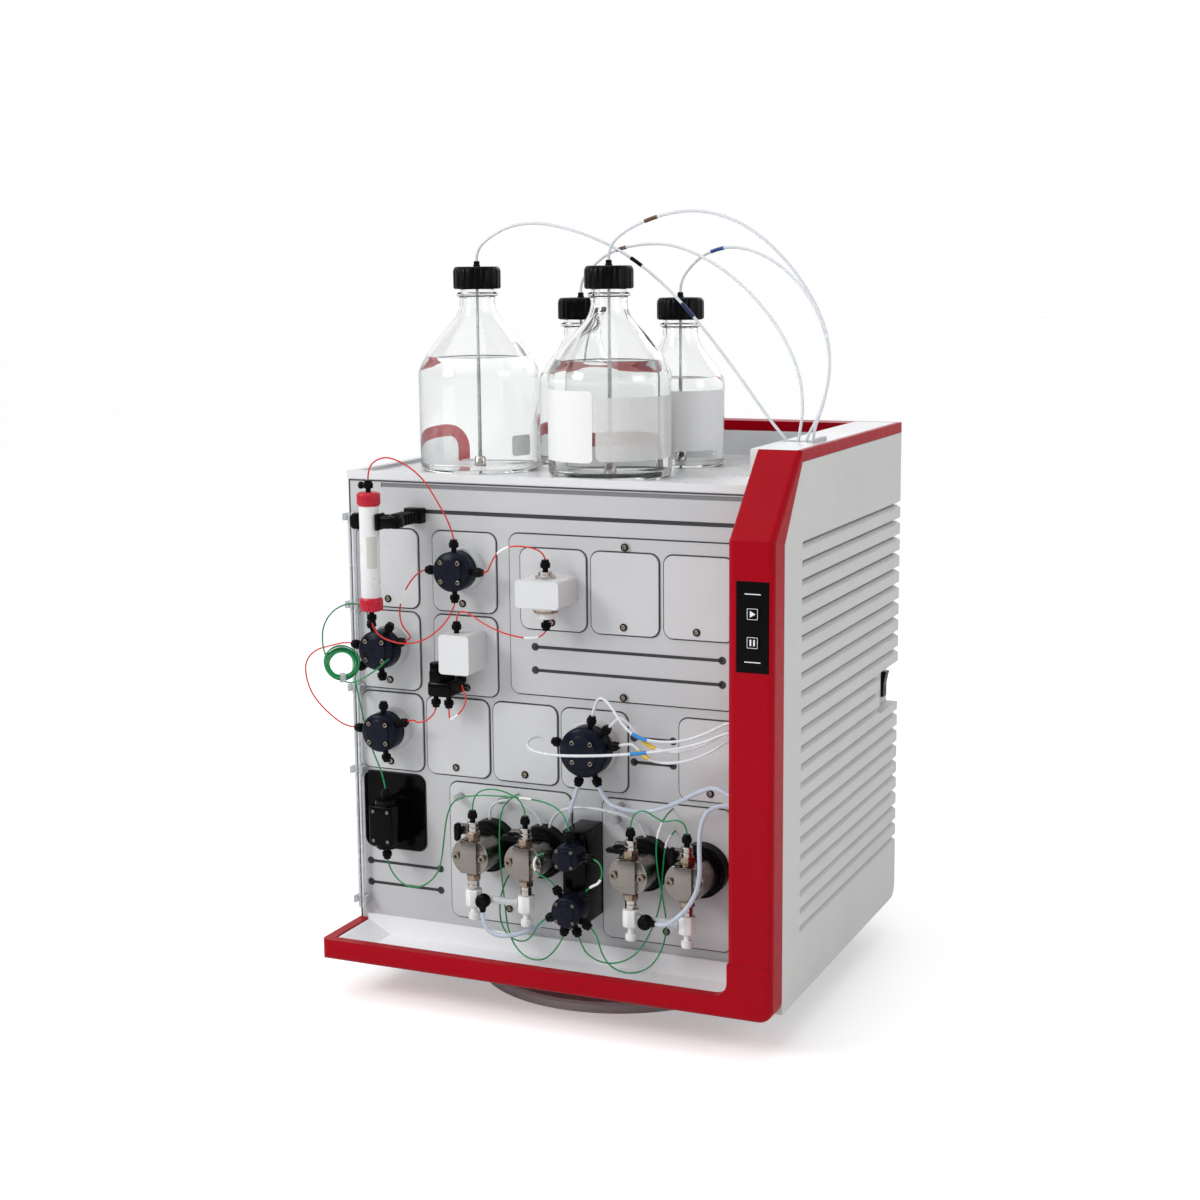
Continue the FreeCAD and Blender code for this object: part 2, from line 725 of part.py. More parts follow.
def pump_panel_tile(name, middle, grow=None):
    width = s["pump_panel_width"]
    height = s["pump_panel_height"]
    corner = s["module_corner"]
    thickness = s["wet_panel_thickness"] + s["module_proud"]
    if grow is None:
        return tile(name, middle[0], middle[1], width, height, corner, module_y, thickness)
    spare = s["wet_panel_thickness"]
    return tile(
        name,
        middle[0],
        middle[1],
        width + grow * 2,
        height + grow * 2,
        corner + grow,
        module_y - spare,
        thickness + spare * 2,
    )


def upper_panel():
    plate = upper_panel_tile("upper_plate")
    depth = s["wet_panel_thickness"] + s["module_proud"]
    modules = [MIXER_MODULE] + PLAIN_UPPER_MODULES
    holes = [hole_for("upper_module_opening", middle, module_y, depth) for middle in modules]
    for drop in (64.7, 90.7):
        height = s["upper_row_height"] - drop
        holes.append(holder_slot("upper_slot", -35.2, 182.4, height, module_y))
    return cut("upper_panel", plate, *holes)


def plain_faces():
    thickness = s["wet_panel_thickness"] + s["module_proud"]
    faces = [module_face("plain_module", middle, module_y, thickness) for middle in PLAIN_MODULES]
    faces += [
        module_face("plain_module", middle, upper_module_y, thickness + s["module_proud"])
        for middle in PLAIN_UPPER_MODULES
    ]
    return group("plain_modules", faces)


def fitted_faces():
    """Plates that carry a valve, a monitor, the mixer or a pair of pump heads."""
    thickness = s["wet_panel_thickness"] + s["module_proud"]
    modules = VALVE_MODULES + [CONDUCTIVITY_MODULE]
    faces = [module_face("fitted_module", middle, module_y, thickness) for middle in modules]
    faces.append(
        module_face("fitted_module", MIXER_MODULE, upper_module_y, thickness + s["module_proud"])
    )
    for number, middle in enumerate(PUMP_PANELS):
        plate = pump_panel_tile("pump_plate", middle)
        channels = [
            rod("plate_channel", s["piston_channel_radius"], thickness * 2, (x, module_y - 2, pump_z), BACK)
            for x in PUMP_X[number * 2 : number * 2 + 2]
        ]
        faces.append(cut("pump_panel", plate, *channels))
    return group("fitted_modules", faces)


def screws():
    """Socket screws that hold the modules and panels."""
    upper_middle = (s["upper_panel_right"] + s["upper_panel_left"]) / 2
    places = [(x, z - s["screw_drop"], module_y) for x, z in PLAIN_MODULES + VALVE_MODULES[:3]]
    places += [(x, z - s["screw_drop"], upper_module_y) for x, z in PLAIN_UPPER_MODULES]
    places.append((MIXER_MODULE[0] - 3, MIXER_MODULE[1] - s["screw_drop"], upper_module_y))
    for z in (upper_panel_high - 8.5, upper_panel_low + 5.5):
        places.append((upper_middle, z, module_y))
    for x, z in PUMP_PANELS:
        places.append((x, z - s["pump_panel_height"] / 2 + 16, module_y))
    heads = [
        rod("screw", s["screw_radius"], s["screw_head"], (x, face, z), FRONT)
        for x, z, face in places
    ]
    return group("screws", heads)


def cover_outline(front_low, front_high, bend, top):
    """Side view of a side cover, from its lower front corner."""
    return [
        (front_low, s["body_lift"]),
        (rear_y, s["body_lift"]),
        (rear_y, top),
        (front_high, top),
        (front_low, bend),
    ]


def louvred_cover(name, side):
    """A moulded side cover with slanting slots that run out round its rear corner."""
    outer = right_x if side > 0 else left_x
    inner = outer - s["cover_wall"] * side
    if side > 0:
        front_low = front_y + s["column_cap_depth"]
        front_high = front_y + s["cover_top_setback"]
        corners = cover_outline(front_low, front_high, s["cover_bend_height"], rim_bottom - gap)
    else:
        corners = cover_outline(wet_back_y, wet_back_y, deck_bottom - 10, deck_bottom)
    body = padded_outline(name, "YZ_Plane", corners, s["cover_wall"], reverse=side < 0)
    place(body, (inner, 0, 0))
    lower_rear = lambda edge: runs_along(edge, X_AXIS) and edge.CenterOfMass.y > 200 and (
        edge.CenterOfMass.z < 100
    )
    round_edges(body, s["bumper_radius"], lower_rear)

    pocket = body.newObject("PartDesign::Pocket", fresh(f"{name}_louvre"))
    top = s["louvre_top"]
    middle = top - s["louvre_mouth"] / 2
    half_slit = s["louvre_slit"] / 2
    wall = s["cover_wall"]
    depth = s["louvre_depth"]
    spare = 1
    profile = [
        ((wall + spare) * side, top),
        ((wall - depth) * side, middle + half_slit),
        (-spare * side, middle + half_slit),
        (-spare * side, middle - half_slit),
        ((wall - depth) * side, middle - half_slit),
        ((wall + spare) * side, top - s["louvre_mouth"]),
    ]
    sketch = polygon_sketch(body, f"{name}_louvre_sketch", "XZ_Plane", profile)
    sketch.AttachmentOffset = FreeCAD.Placement(
        FreeCAD.Vector(0, 0, -(front_y + s["louvre_front"]).value), FreeCAD.Rotation()
    )
    offset = -(front_y + s["louvre_front"])
    sketch.setExpression(".AttachmentOffset.Base.z", offset.formula)
    pocket.Profile = sketch
    pocket.Length = s["casing_depth"].value
    pocket.Reversed = False
    body.Tip = pocket
    before = body.Shape.Volume
    doc.recompute()
    if not pocket.Shape.Volume < before:
        raise RuntimeError(f"the louvre of {name} cuts nothing")

    pattern = body.newObject("PartDesign::LinearPattern", fresh(f"{name}_louvres"))
    pattern.Originals = [pocket]
    pattern.Direction = (sketch, ["V_Axis"])
    pattern.Reversed = True
    pattern.setExpression("Length", "Sizes.louvre_pitch * (Sizes.louvre_count - 1)")
    pattern.setExpression("Occurrences", "Sizes.louvre_count")
    body.Tip = pattern
    doc.recompute()

    flange_inner = outer - s["rear_flange_width"] * side
    flange_top = rim_bottom - gap if side > 0 else deck_bottom
    xs = sorted((flange_inner, inner), key=float)
    flange = block(
        "rear_flange",
        (xs[0], rear_inner_y, s["body_lift"]),
        (xs[1], rear_y, flange_top),
    )
    if side < 0:
        return fuse(name, body, flange)
    wall_thin = s["sheet_wall"]
    pod = block(
        "switch_pod",
        (recess_floor_x() - wall_thin, recess_front() - wall_thin, recess_low() - wall_thin),
        (inner, rear_y, recess_high() + wall_thin),
    )
    recess = block(
        "switch_recess",
        (recess_floor_x(), recess_front(), recess_low()),
        (right_x + 1, rear_y + 1, recess_high()),
    )
    return cut(name, fuse(name, body, flange, pod), recess, rocker_opening())


def rocker_middle():
    """Pivot of the rocker: x, y and z."""
    return (
        recess_floor_x() - 2,
        rear_y - s["rocker_inset"],
        s["recess_bottom"] + s["recess_height"] / 2,
    )


def rocker_opening():
    x, y, z = rocker_middle()
    half_w = s["rocker_width"] / 2 + gap
    half_h = s["rocker_height"] / 2 + 1.6
    return block(
        "rocker_opening",
        (recess_floor_x() - s["sheet_wall"] - 1, y - half_w, z - half_h),
        (recess_floor_x() + 1, y + half_w, z + half_h),
    )


def rocker():
    """Rocker of the power switch, tipped to its off side."""
    half_h = s["rocker_height"] / 2
    corners = [
        (-5, -half_h * 0.6),
        (4.6, -half_h),
        (7, -half_h),
        (5.4, 0),
        (7, half_h),
        (4.6, half_h),
        (-5, half_h * 0.6),
    ]
    body = padded_outline("rocker", "XZ_Plane", corners, s["rocker_width"])
    x, y, z = rocker_middle()
    turn = FreeCAD.Rotation(Y_AXIS, s["rocker_tilt"].value)
    place(body, (x, y + s["rocker_width"] / 2, z))
    body.Placement = FreeCAD.Placement(body.Placement.Base, turn)
    return body


def rear_panel():
    """Rear panel with the fan opening, its spider and pin, vents and the inlet cut-out."""
    left = left_x + s["rear_flange_width"]
    right = right_x - s["rear_flange_width"]
    plate = block(
        "rear_plate", (left, rear_inner_y, s["body_lift"]), (right, rear_y, deck_bottom)
    )
    fan_z = s["fan_height"]
    duct_radius = s["fan_radius"] + 4
    duct_depth = s["fan_depth"] + 8
    duct = rod(
        "fan_duct", duct_radius, duct_depth, (s["fan_x"], rear_inner_y - duct_depth, fan_z), BACK
    )
    bore = rod(
        "fan_bore",
        s["fan_radius"] + 1.5,
        duct_depth + s["rear_wall"] + 2,
        (s["fan_x"], rear_inner_y - duct_depth - 1, fan_z),
        BACK,
    )
    arm = s["fan_radius"] + 3
    arms = [
        block(
            "fan_arm",
            (s["fan_x"] - arm, rear_inner_y + 1, fan_z - 2),
            (s["fan_x"] + arm, rear_y - 1, fan_z + 2),
        ),
        block(
            "fan_arm",
            (s["fan_x"] - 2, rear_inner_y + 1, fan_z - arm),
            (s["fan_x"] + 2, rear_y - 1, fan_z + arm),
        ),
    ]
    boss = rod(
        "fan_boss", s["fan_hub_radius"], s["rear_wall"], (s["fan_x"], rear_inner_y, fan_z), BACK
    )
    pin = rod(
        "fan_pin",
        s["fan_pin_radius"],
        s["fan_depth"],
        (s["fan_x"], rear_inner_y - s["fan_depth"], fan_z),
        BACK,
    )
    opening = block(
        "inlet_opening",
        (s["inlet_x"] - s["inlet_width"] / 2, rear_inner_y - 1, s["inlet_height"] - s["inlet_length"] / 2),
        (s["inlet_x"] + s["inlet_width"] / 2, rear_y + 1, s["inlet_height"] + s["inlet_length"] / 2),
    )
    vents = [
        block("vent", (-150, rear_inner_y - 1, 200 + 16 * row), (60, rear_y + 1, 206 + 16 * row))
        for row in range(8)
    ]
    plain = cut("rear_plate", fuse("rear_shell", plate, duct), bore, opening, *vents)
    return fuse("rear_panel", plain, boss, pin, *arms)


def fan():
    """Axial fan with seven blades on a hub that turns on the rear panel's pin."""
    back = rear_inner_y - gap
    front = back - s["fan_depth"]
    base = (s["fan_x"], front, s["fan_height"])
    hub = rod("fan_hub", s["fan_hub_radius"], s["fan_depth"], base, BACK)
    blades = []
    for number in range(7):
        blade = block(
            "fan_blade",
            (-6, s["fan_hub_radius"] - 2, 2),
            (6, s["fan_radius"], 4),
        )
        pitch = FreeCAD.Rotation(Y_AXIS, 38)
        spin = FreeCAD.Rotation(Z_AXIS, number * 360 / 7)
        around = FreeCAD.Rotation(Z_AXIS, BACK)
        for axis in "xyz":
            blade.setExpression(f"Placement.Base.{axis}", None)
        middle = FreeCAD.Vector(0, 0, s["fan_depth"].value / 2)
        lift = FreeCAD.Placement(FreeCAD.Vector(-6, s["fan_hub_radius"].value - 2, -1), FreeCAD.Rotation())
        whole = FreeCAD.Placement(FreeCAD.Vector(*(as_size(v).value for v in base)), around)
        blade.Placement = (
            whole
            * FreeCAD.Placement(middle, spin)
            * FreeCAD.Placement(FreeCAD.Vector(), pitch)
            * lift
        )
        blades.append(blade)
    bore = rod(
        "fan_hub_bore",
        s["fan_pin_radius"] + s["fan_pin_clearance"],
        s["fan_depth"] + 2,
        (s["fan_x"], front - 1, s["fan_height"]),
        BACK,
    )
    return cut("fan", fuse("fan_wheel", hub, *blades), bore)


# Top, control column and base


def wall_behind_bottles():
    """Wall behind the bottles, rounded where the coloured rim bends down round it."""
    corners = [
        (left_x + rim_leg, s["deck_height"]),
        (tower_left, s["deck_height"]),
        (tower_left, rim_bottom),
        (left_x + rim_leg, rim_bottom),
    ]
    wall = padded_outline("wall_behind", "XZ_Plane", corners, s["rear_wall_depth"], reverse=True)

    def upper_left(edge):
        at = edge.CenterOfMass
        return runs_along(edge, Y_AXIS) and at.x < 0 and at.z > rim_bottom.value - 1

    round_edges(wall, s["rim_end_radius"] / 2, upper_left)
    return place(wall, (0, wall_behind_y, 0))


def deck_and_tower():
    """Buffer deck with its rim, the wall behind the bottles and the tower on the right."""
    flange_x = right_x - s["rear_flange_width"] - gap
    rim_edge = s["deck_rim_width"]
    pieces = [
        block("deck", (left_x, wet_y, deck_bottom), (tower_left, rear_y, s["deck_height"])),
        block("front_lip", (left_x, wet_y, s["deck_height"]), (tower_left, wet_y + rim_edge, rim_top)),
        block(
            "left_lip",
            (left_x, wet_y + rim_edge, s["deck_height"]),
            (left_x + rim_edge, wall_behind_y, rim_top),
        ),
        wall_behind_bottles(),
        block("tower", (tower_left, wet_y, deck_bottom), (flange_x, rear_y, rim_bottom)),
        block(
            "tower_side",
            (flange_x, wet_y, deck_bottom),
            (chassis_right - gap, rear_inner_y - gap, rim_bottom),
        ),
        block(
            "tower_top",
            (tower_left, wet_y, rim_bottom),
            (right_x - s["rim_side_width"], rear_inner_y, s["casing_height"]),
        ),
    ]
    slot_low = s["casing_height"] - s["cable_slot_depth"]
    slot = block(
        "tube_slot",
        (s["cable_slot_left"], s["cable_slot_front"], slot_low),
        (
            s["cable_slot_left"] + s["cable_slot_length"],
            s["cable_slot_front"] + s["cable_slot_width"],
            s["casing_height"] + 1,
        ),
    )
    return cut("top_cover", fuse("top_moulding", *pieces), slot)


def coloured_rim():
    """Coloured rim on the rear wall and the right edge, bent down at its left end."""
    corners = [
        (left_x, s["deck_height"]),
        (left_x + rim_leg, s["deck_height"]),
        (left_x + rim_leg, rim_bottom),
        (tower_left, rim_bottom),
        (tower_left, s["casing_height"]),
        (left_x, s["casing_height"]),
    ]
    band = padded_outline("rim_band", "XZ_Plane", corners, s["rear_wall_depth"], reverse=True)

    def outer_bend(edge):
        at = edge.CenterOfMass
        return runs_along(edge, Y_AXIS) and at.x < left_x.value + 1 and at.z > rim_bottom.value

    def inner_bend(edge):
        at = edge.CenterOfMass
        inner_x = (left_x + rim_leg).value
        return runs_along(edge, Y_AXIS) and abs(at.x - inner_x) < 1 and at.z > rim_bottom.value - 1

    round_edges(band, s["rim_end_radius"], outer_bend)
    round_edges(band, s["rim_end_radius"] / 2, inner_bend)
    place(band, (0, wall_behind_y, 0))
    rear = block(
        "rim_rear", (tower_left, rear_inner_y, rim_bottom), (right_x, rear_y, s["casing_height"])
    )
    side = block(
        "rim_side",
        (right_x - s["rim_side_width"], wet_y, rim_bottom),
        (right_x, rear_inner_y, s["casing_height"]),
    )
    return fuse("top_rim", band, rear, side)


def at_corner(edge, points):
    """Whether both ends of an edge lie on some of these (y, z) points."""
    return all(
        any(abs(end.Y - y) < 0.01 and abs(end.Z - z) < 0.01 for y, z in points)
        for end in edge.Vertexes
    )


def column_body():
    """Control column, rebated where the right side cover laps over it."""
    seam = s["bumper_seam_height"]
    top_y = front_y + s["column_top_setback"]
    front_line = [(front_y, seam), (front_y, s["column_bend_height"]), (top_y, s["casing_height"])]
    front_points = [(as_size(y).value, as_size(z).value) for y, z in front_line]

    inner_line = front_line + [(wet_y, s["casing_height"]), (wet_y, seam)]
    inner_width = chassis_right - gap - column_left
    inner = padded_outline("column_inner", "YZ_Plane", inner_line, inner_width)
    round_edges(
        inner,
        s["column_edge_radius"],
        lambda edge: at_corner(edge, front_points) and edge.CenterOfMass.x < 0.01,
    )
    place(inner, (column_left, 0, 0))

    lap_y = front_y + s["column_cap_depth"] - gap
    outer_line = front_line + [
        (wet_y - gap, s["casing_height"]),
        (wet_y - gap, rim_bottom - 3.5),
        (lap_y, s["cover_bend_height"]),
        (lap_y, seam),
    ]
    outer_width = s["cover_wall"] + gap
    outer = padded_outline("column_outer", "YZ_Plane", outer_line, outer_width)
    round_edges(
        outer,
        s["column_edge_radius"],
        lambda edge: at_corner(edge, front_points) and edge.CenterOfMass.x > outer_width.value - 0.01,
    )
    place(outer, (chassis_right - gap, 0, 0))

    face = front_y + s["panel_thickness"]
    room = block("panel_room", (panel_left - gap, front_y - 1, panel_low - gap),
                 (panel_left + s["panel_width"] + gap, face, panel_low + s["panel_height"] + gap))
    pockets = [
        button_block(
            "button_room", middle, face - 1, face + s["button_room"], s["button_flange"] + 0.5
        )
        for middle in BUTTON_Z
    ]
    return cut("control_column", fuse("column_shape", inner, outer), room, *pockets)


def button_block(name, middle_z, front, back, margin):
    """A box round a button's middle, larger than the button by a margin."""
    half_w = s["button_width"] / 2 + margin
    half_h = s["button_height"] / 2 + margin
    return block(
        name,
        (button_x - half_w, front, middle_z - half_h),
        (button_x + half_w, back, middle_z + half_h),
    )


def button(name, middle_z):
    """Push button with a flange that keeps it behind the panel."""
    front = front_y - s["button_proud"]
    flange_front = front_y + s["panel_thickness"] + gap
    flange_back = flange_front + s["button_flange"]
    cap = button_block(f"{name}_cap", middle_z, front, flange_back, 0)
    flange = button_block(f"{name}_flange", middle_z, flange_front, flange_back, s["button_flange"])
    return fuse(name, cap, flange)


def front_panel():
    plate = block(
        "panel_plate",
        (panel_left, front_y, panel_low),
        (panel_left + s["panel_width"], front_y + s["panel_thickness"], panel_low + s["panel_height"]),
    )
    holes = [
        button_block("button_hole", z, front_y - 1, front_y + s["panel_thickness"] + 1, gap)
        for z in BUTTON_Z
    ]
    return cut("control_panel", plate, *holes)


def bumper():
    """Front bumper, its left arm, the shelf under the tray and the end under the column."""
    low = s["body_lift"]
    top = s["bumper_height"]
    seam = s["bumper_seam_height"]
    bar_back = front_y + s["bumper_wall"]
    lap_y = front_y + s["column_cap_depth"] - gap
    corners = [
        (left_x, low),
        (right_x, low),
        (right_x, seam),
        (column_left, seam),
        (column_left, top),
        (left_x, top),
    ]
    bar = padded_outline("bumper_bar", "XZ_Plane", corners, s["bumper_wall"], reverse=True)

    def rounded(edge):
        at = edge.CenterOfMass
        lower_right = at.x > right_x.value - 1 and at.z < low.value + 1
        inner = abs(at.x - column_left.value) < 1 and abs(at.z - top.value) < 1
        return runs_along(edge, Y_AXIS) and (lower_right or inner)

    def front_corner(edge):
        at = edge.CenterOfMass
        return runs_along(edge, Z_AXIS) and at.y < 0.01 and abs(at.x) > right_x.value - 1

    round_edges(bar, s["bumper_radius"], rounded)
    round_edges(bar, s["column_edge_radius"], front_corner)
    place(bar, (0, front_y, 0))

    end_corners = [(column_left, low), (right_x, low), (right_x, seam), (column_left, seam)]
    end = padded_outline("bumper_end", "XZ_Plane", end_corners, lap_y - bar_back, reverse=True)
    round_edges(end, s["bumper_radius"], rounded)
    place(end, (0, bar_back, 0))
    inner = block("bumper_inner", (column_left, lap_y, low), (chassis_right - gap, wet_y, seam))
    arm = block("bumper_arm", (left_x, bar_back, low), (left_x + s["bumper_wall"], wet_y, top))
    shelf = block(
        "bumper_shelf", (left_x, bar_back, low), (column_left, wet_y, low + s["bumper_shelf"])
    )
    return fuse("bumper", bar, end, inner, arm, shelf)


def tray():
    """Drip tray with a sloping left end."""
    floor_z = s["body_lift"] + s["bumper_shelf"]
    left = left_x + s["bumper_wall"] + gap
    right = column_left - gap
    front = front_y + s["bumper_wall"] + gap
    back = wet_y - gap
    wall = s["tray_wall"]
    top = s["bumper_height"] - 1.5
    outside = block("tray_outside", (left, front, floor_z), (right, back, top))
    inside = block(
        "tray_inside", (left + wall, front + wall, floor_z + wall), (right - wall, back - wall, top + 1)
    )
    slope = [
        (left + wall, floor_z + wall),
        (left + wall + s["tray_slope"], floor_z + wall),
        (left + wall, top),
    ]
    wedge = padded_outline("tray_wedge", "XZ_Plane", slope, back - front - wall * 2, reverse=True)
    place(wedge, (0, front + wall, 0))
    lip = block("tray_lip", (left, back - wall, top), (right, back, s["tray_lip_height"]))
    return fuse("drip_tray", cut("tray_shell", outside, inside), wedge, lip)


# Devices on the wet side

def direction(angle):
    """A direction in the plane of the wet side, from +X towards +Z."""
    turn = math.radians(angle)
    return FreeCAD.Vector(math.cos(turn), 0, math.sin(turn))


def offset(point, towards, distance):
    """A point moved along a direction."""
    distance = as_size(distance)
    return tuple(
        as_size(value) + distance * round(part, 6)
        for value, part in zip(point, (towards.x, towards.y, towards.z))
    )


def valve_middle(module):
    return (module[0], module[1] + s["valve_rise"])


VALVE_ONE, VALVE_TWO, VALVE_THREE, INLET_VALVE = (valve_middle(m) for m in VALVE_MODULES)
valve_base_y = module_y - s["bezel_length"]
port_y = valve_base_y - s["valve_length"] / 2
device_y = wet_y - s["device_axis"]
block_front = wet_y - s["block_depth"]
small_port_y = block_front - s["small_head_length"] / 2
pump_y = wet_y - s["pump_axis"]
pump_base_y = module_y - s["pump_ring_length"] - s["pump_ring_neck"]
pump_top = pump_z + s["pump_block_height"] / 2
pump_bottom = pump_z - s["pump_block_height"] / 2
valve_top = pump_top + s["nut_length"] + s["cartridge_length"]
manifold_top = pump_bottom - s["nut_length"] - s["cartridge_length"]
column_y = front_y + s["resin_setback"]
column_cap_top = s["resin_bottom"] + s["resin_length"] + s["resin_cap_length"]
column_cap_bottom = s["resin_bottom"] - s["resin_cap_length"]
mixer_x = s["mixer_left"] + s["mixer_width"] / 2
mixer_base = s["upper_row_height"] - s["mixer_drop"]
mixer_top = mixer_base + s["mixer_height"]
bar_z = manifold_top - s["bar_drop"]


def valve_port(centre, angle, radius):
    """Base point and direction of a port on the rim of a valve head."""
    towards = direction(angle)
    return offset((centre[0], port_y, centre[1]), towards, radius), towards


def small_port(height, angle, radius):
    towards = direction(angle)
    return offset((s["sensor_x"], small_port_y, height), towards, radius), towards


PORTS = {
    "column_top": ((s["resin_x"], column_y, column_cap_top), UP),
    "column_bottom": ((s["resin_x"], column_y, column_cap_bottom), DOWN),
    "mixer_top": ((mixer_x, device_y, mixer_top + s["chamber_step"]), UP),
    "mixer_bottom": ((mixer_x, device_y, mixer_base - s["chamber_step"] * 2), DOWN),
    "monitor_top": ((-117, device_y, s["monitor_bottom"] + s["monitor_height"]), UP),
    "monitor_bottom": ((-112, device_y, s["monitor_bottom"]), DOWN),
    "restrictor_left": ((-144.5, device_y, s["restrictor_bottom"]), DOWN),
    "restrictor_right": ((-128.5, device_y, s["restrictor_bottom"]), DOWN),
    "cell_top": ((s["uv_x"], device_y, s["uv_bottom"] + s["uv_height"] + s["uv_end_length"]), UP),
    "cell_bottom": ((s["uv_x"], device_y, s["uv_bottom"] - s["uv_end_length"]), DOWN),
}
for label, angle in (("top", 90), ("left", 180), ("right", 0), ("bottom", 270)):
    PORTS[f"valve_one_{label}"] = valve_port(VALVE_ONE, angle, s["valve_radius"])
for label, angle in (("right", 20), ("top", 62), ("loop", 108), ("left", 172), ("low", 222), ("drain", 276)):
    PORTS[f"valve_two_{label}"] = valve_port(VALVE_TWO, angle, s["valve_radius"])
for label, angle in (("top", 86), ("left", 176), ("right", 24), ("bottom", 278)):
    PORTS[f"valve_three_{label}"] = valve_port(VALVE_THREE, angle, s["valve_radius"])
for label, angle in (("one", 78), ("two", 168), ("three", 46), ("four", 14), ("out_left", 256), ("out_right", 292)):
    PORTS[f"inlet_{label}"] = valve_port(INLET_VALVE, angle, s["inlet_valve_radius"])
for label, angle in (("top", 90), ("left", 180), ("right", 0)):
    PORTS[f"sensor_{label}"] = small_port(s["sensor_height"], angle, s["sensor_head_radius"])
for label, angle in (("one", 125), ("two", 50), ("three", 205), ("four", 255), ("five", 290), ("six", 325)):
    PORTS[f"pressure_{label}"] = small_port(s["pressure_height"], angle, s["pressure_head_radius"])
for number, x in enumerate(PUMP_X, start=1):
    PORTS[f"pump_{number}"] = ((x, pump_y, valve_top), UP)

fitting_length = s["fitting_neck"] + s["fitting_grip"]


def key(point):
    """A point's numbers, rounded, to look it up by."""
    return tuple(round(as_size(value).value, 3) for value in point)


def tip(port):
    """Where the tube leaves a port's fitting."""
    base, towards = PORTS[port]
    return offset(base, towards, fitting_length)


def before_tip(port, distance=8):
    """A point on a fitting's axis, a little way out of the fitting."""
    base, towards = PORTS[port]
    return offset(base, towards, fitting_length + distance)


def fitting(base, towards):
    neck = hexagon("fitting_neck", s["fitting_neck_radius"], s["fitting_neck"], base, towards)
    grip_base = offset(base, towards, s["fitting_neck"])
    grip = hexagon("fitting_grip", s["fitting_radius"], s["fitting_grip"], grip_base, towards)
    return fuse("fitting", neck, grip)


HOSE_CONNECTORS = [(-75, DOWN), (117.5, RIGHT)]


def hose_connector(x, towards):
    """Round connector on a manifold's bar with a nipple for the hose."""
    bar_front = pump_y - s["manifold_bar_radius"]
    middle_y = bar_front - s["connector_length"] / 2
    body = rod("connector", s["connector_radius"], s["connector_length"], (x, bar_front, bar_z), FRONT)
    start = offset((x, middle_y, bar_z), towards, s["connector_radius"] - 1)
    nipple = hexagon("connector_nipple", s["fitting_neck_radius"], s["fitting_neck"] + 1, start, towards)
    return fuse("hose_connector", body, nipple)


def connector_tip(x, towards):
    middle_y = pump_y - s["manifold_bar_radius"] - s["connector_length"] / 2
    reach = s["connector_radius"] + s["fitting_neck"]
    return offset((x, middle_y, bar_z), towards, reach)


def valve_head(name, x, z, radius, base_y, length):
    head = rod(name, radius, length, (x, base_y, z), FRONT)
    boss_base = as_size(base_y) - length
    boss_radius = radius * 0.66
    boss = rod(f"{name}_boss", boss_radius, s["valve_boss"], (x, boss_base, z), FRONT)
    return fuse(name, head, boss)


def valve_heads():
    heads = []
    for centre in (VALVE_ONE, VALVE_TWO, VALVE_THREE):
        heads.append(
            valve_head("valve_head", *centre, s["valve_radius"], valve_base_y, s["valve_length"])
        )
    heads.append(
        valve_head("inlet_head", *INLET_VALVE, s["inlet_valve_radius"], valve_base_y, s["valve_length"])
    )
    for height, radius in (
        (s["sensor_height"], s["sensor_head_radius"]),
        (s["pressure_height"], s["pressure_head_radius"]),
    ):
        heads.append(
            valve_head("small_head", s["sensor_x"], height, radius, block_front, s["small_head_length"])
        )
    return group("valve_heads", heads)


def bezels():
    rings = []
    for centre, radius in (
        (VALVE_ONE, s["valve_radius"]),
        (VALVE_TWO, s["valve_radius"]),
        (VALVE_THREE, s["valve_radius"]),
        (INLET_VALVE, s["inlet_valve_radius"]),
    ):
        base = (centre[0], module_y, centre[1])
        rings.append(rod("bezel", radius + s["bezel_rim"], s["bezel_length"], base, FRONT))
    return group("bezels", rings)


def mounting_rings():
    """Stepped ring behind each pump head, with a channel for the piston."""
    rings = []
    for x in PUMP_X:
        wide = rod("ring", s["pump_ring_radius"], s["pump_ring_length"], (x, module_y, pump_z), FRONT)
        step_y = module_y - s["pump_ring_length"]
        neck = rod("ring_step", s["pump_ring_neck_radius"], s["pump_ring_neck"], (x, step_y, pump_z), FRONT)
        channel = rod(
            "ring_channel",
            s["piston_channel_radius"],
            s["pump_ring_length"] + s["pump_ring_neck"] + 2,
            (x, module_y + 1, pump_z),
            FRONT,
        )
        rings.append(cut("mounting_ring", fuse("ring_steps", wide, neck), channel))
    return group("mounting_rings", rings)


def pump_head(x):
    """Steel head: a round bar with flats, a raised front and the piston's bore."""
    disc = rod("pump_disc", s["pump_disc_radius"], s["pump_disc_length"], (x, pump_base_y, pump_z), FRONT)
    front = pump_base_y - s["pump_disc_length"]
    reach = s["pump_disc_radius"] + 1
    flats = [
        block(name, (x - reach, front - 1, low), (x + reach, pump_base_y + 1, low + reach))
        for name, low in (("upper_flat", pump_top), ("lower_flat", pump_bottom - reach))
    ]
    half = s["pump_block_width"] / 2
    raised = block(
        "pump_front", (x - half, front - s["pump_block_proud"], pump_bottom), (x + half, front + 1, pump_top)
    )
    bore = rod(
        "piston_bore",
        s["piston_radius"] + s["piston_clearance"],
        s["piston_bore_length"] + 1,
        (x, pump_base_y + 1, pump_z),
        FRONT,
    )
    return cut("pump_head", fuse("pump_solid", cut("pump_flats", disc, *flats), raised), bore)


def piston(x):
    tip_y = pump_base_y - s["piston_bore_length"] + s["piston_room"]
    return rod("piston", s["piston_radius"], s["piston_length"], (x, tip_y, pump_z), BACK)


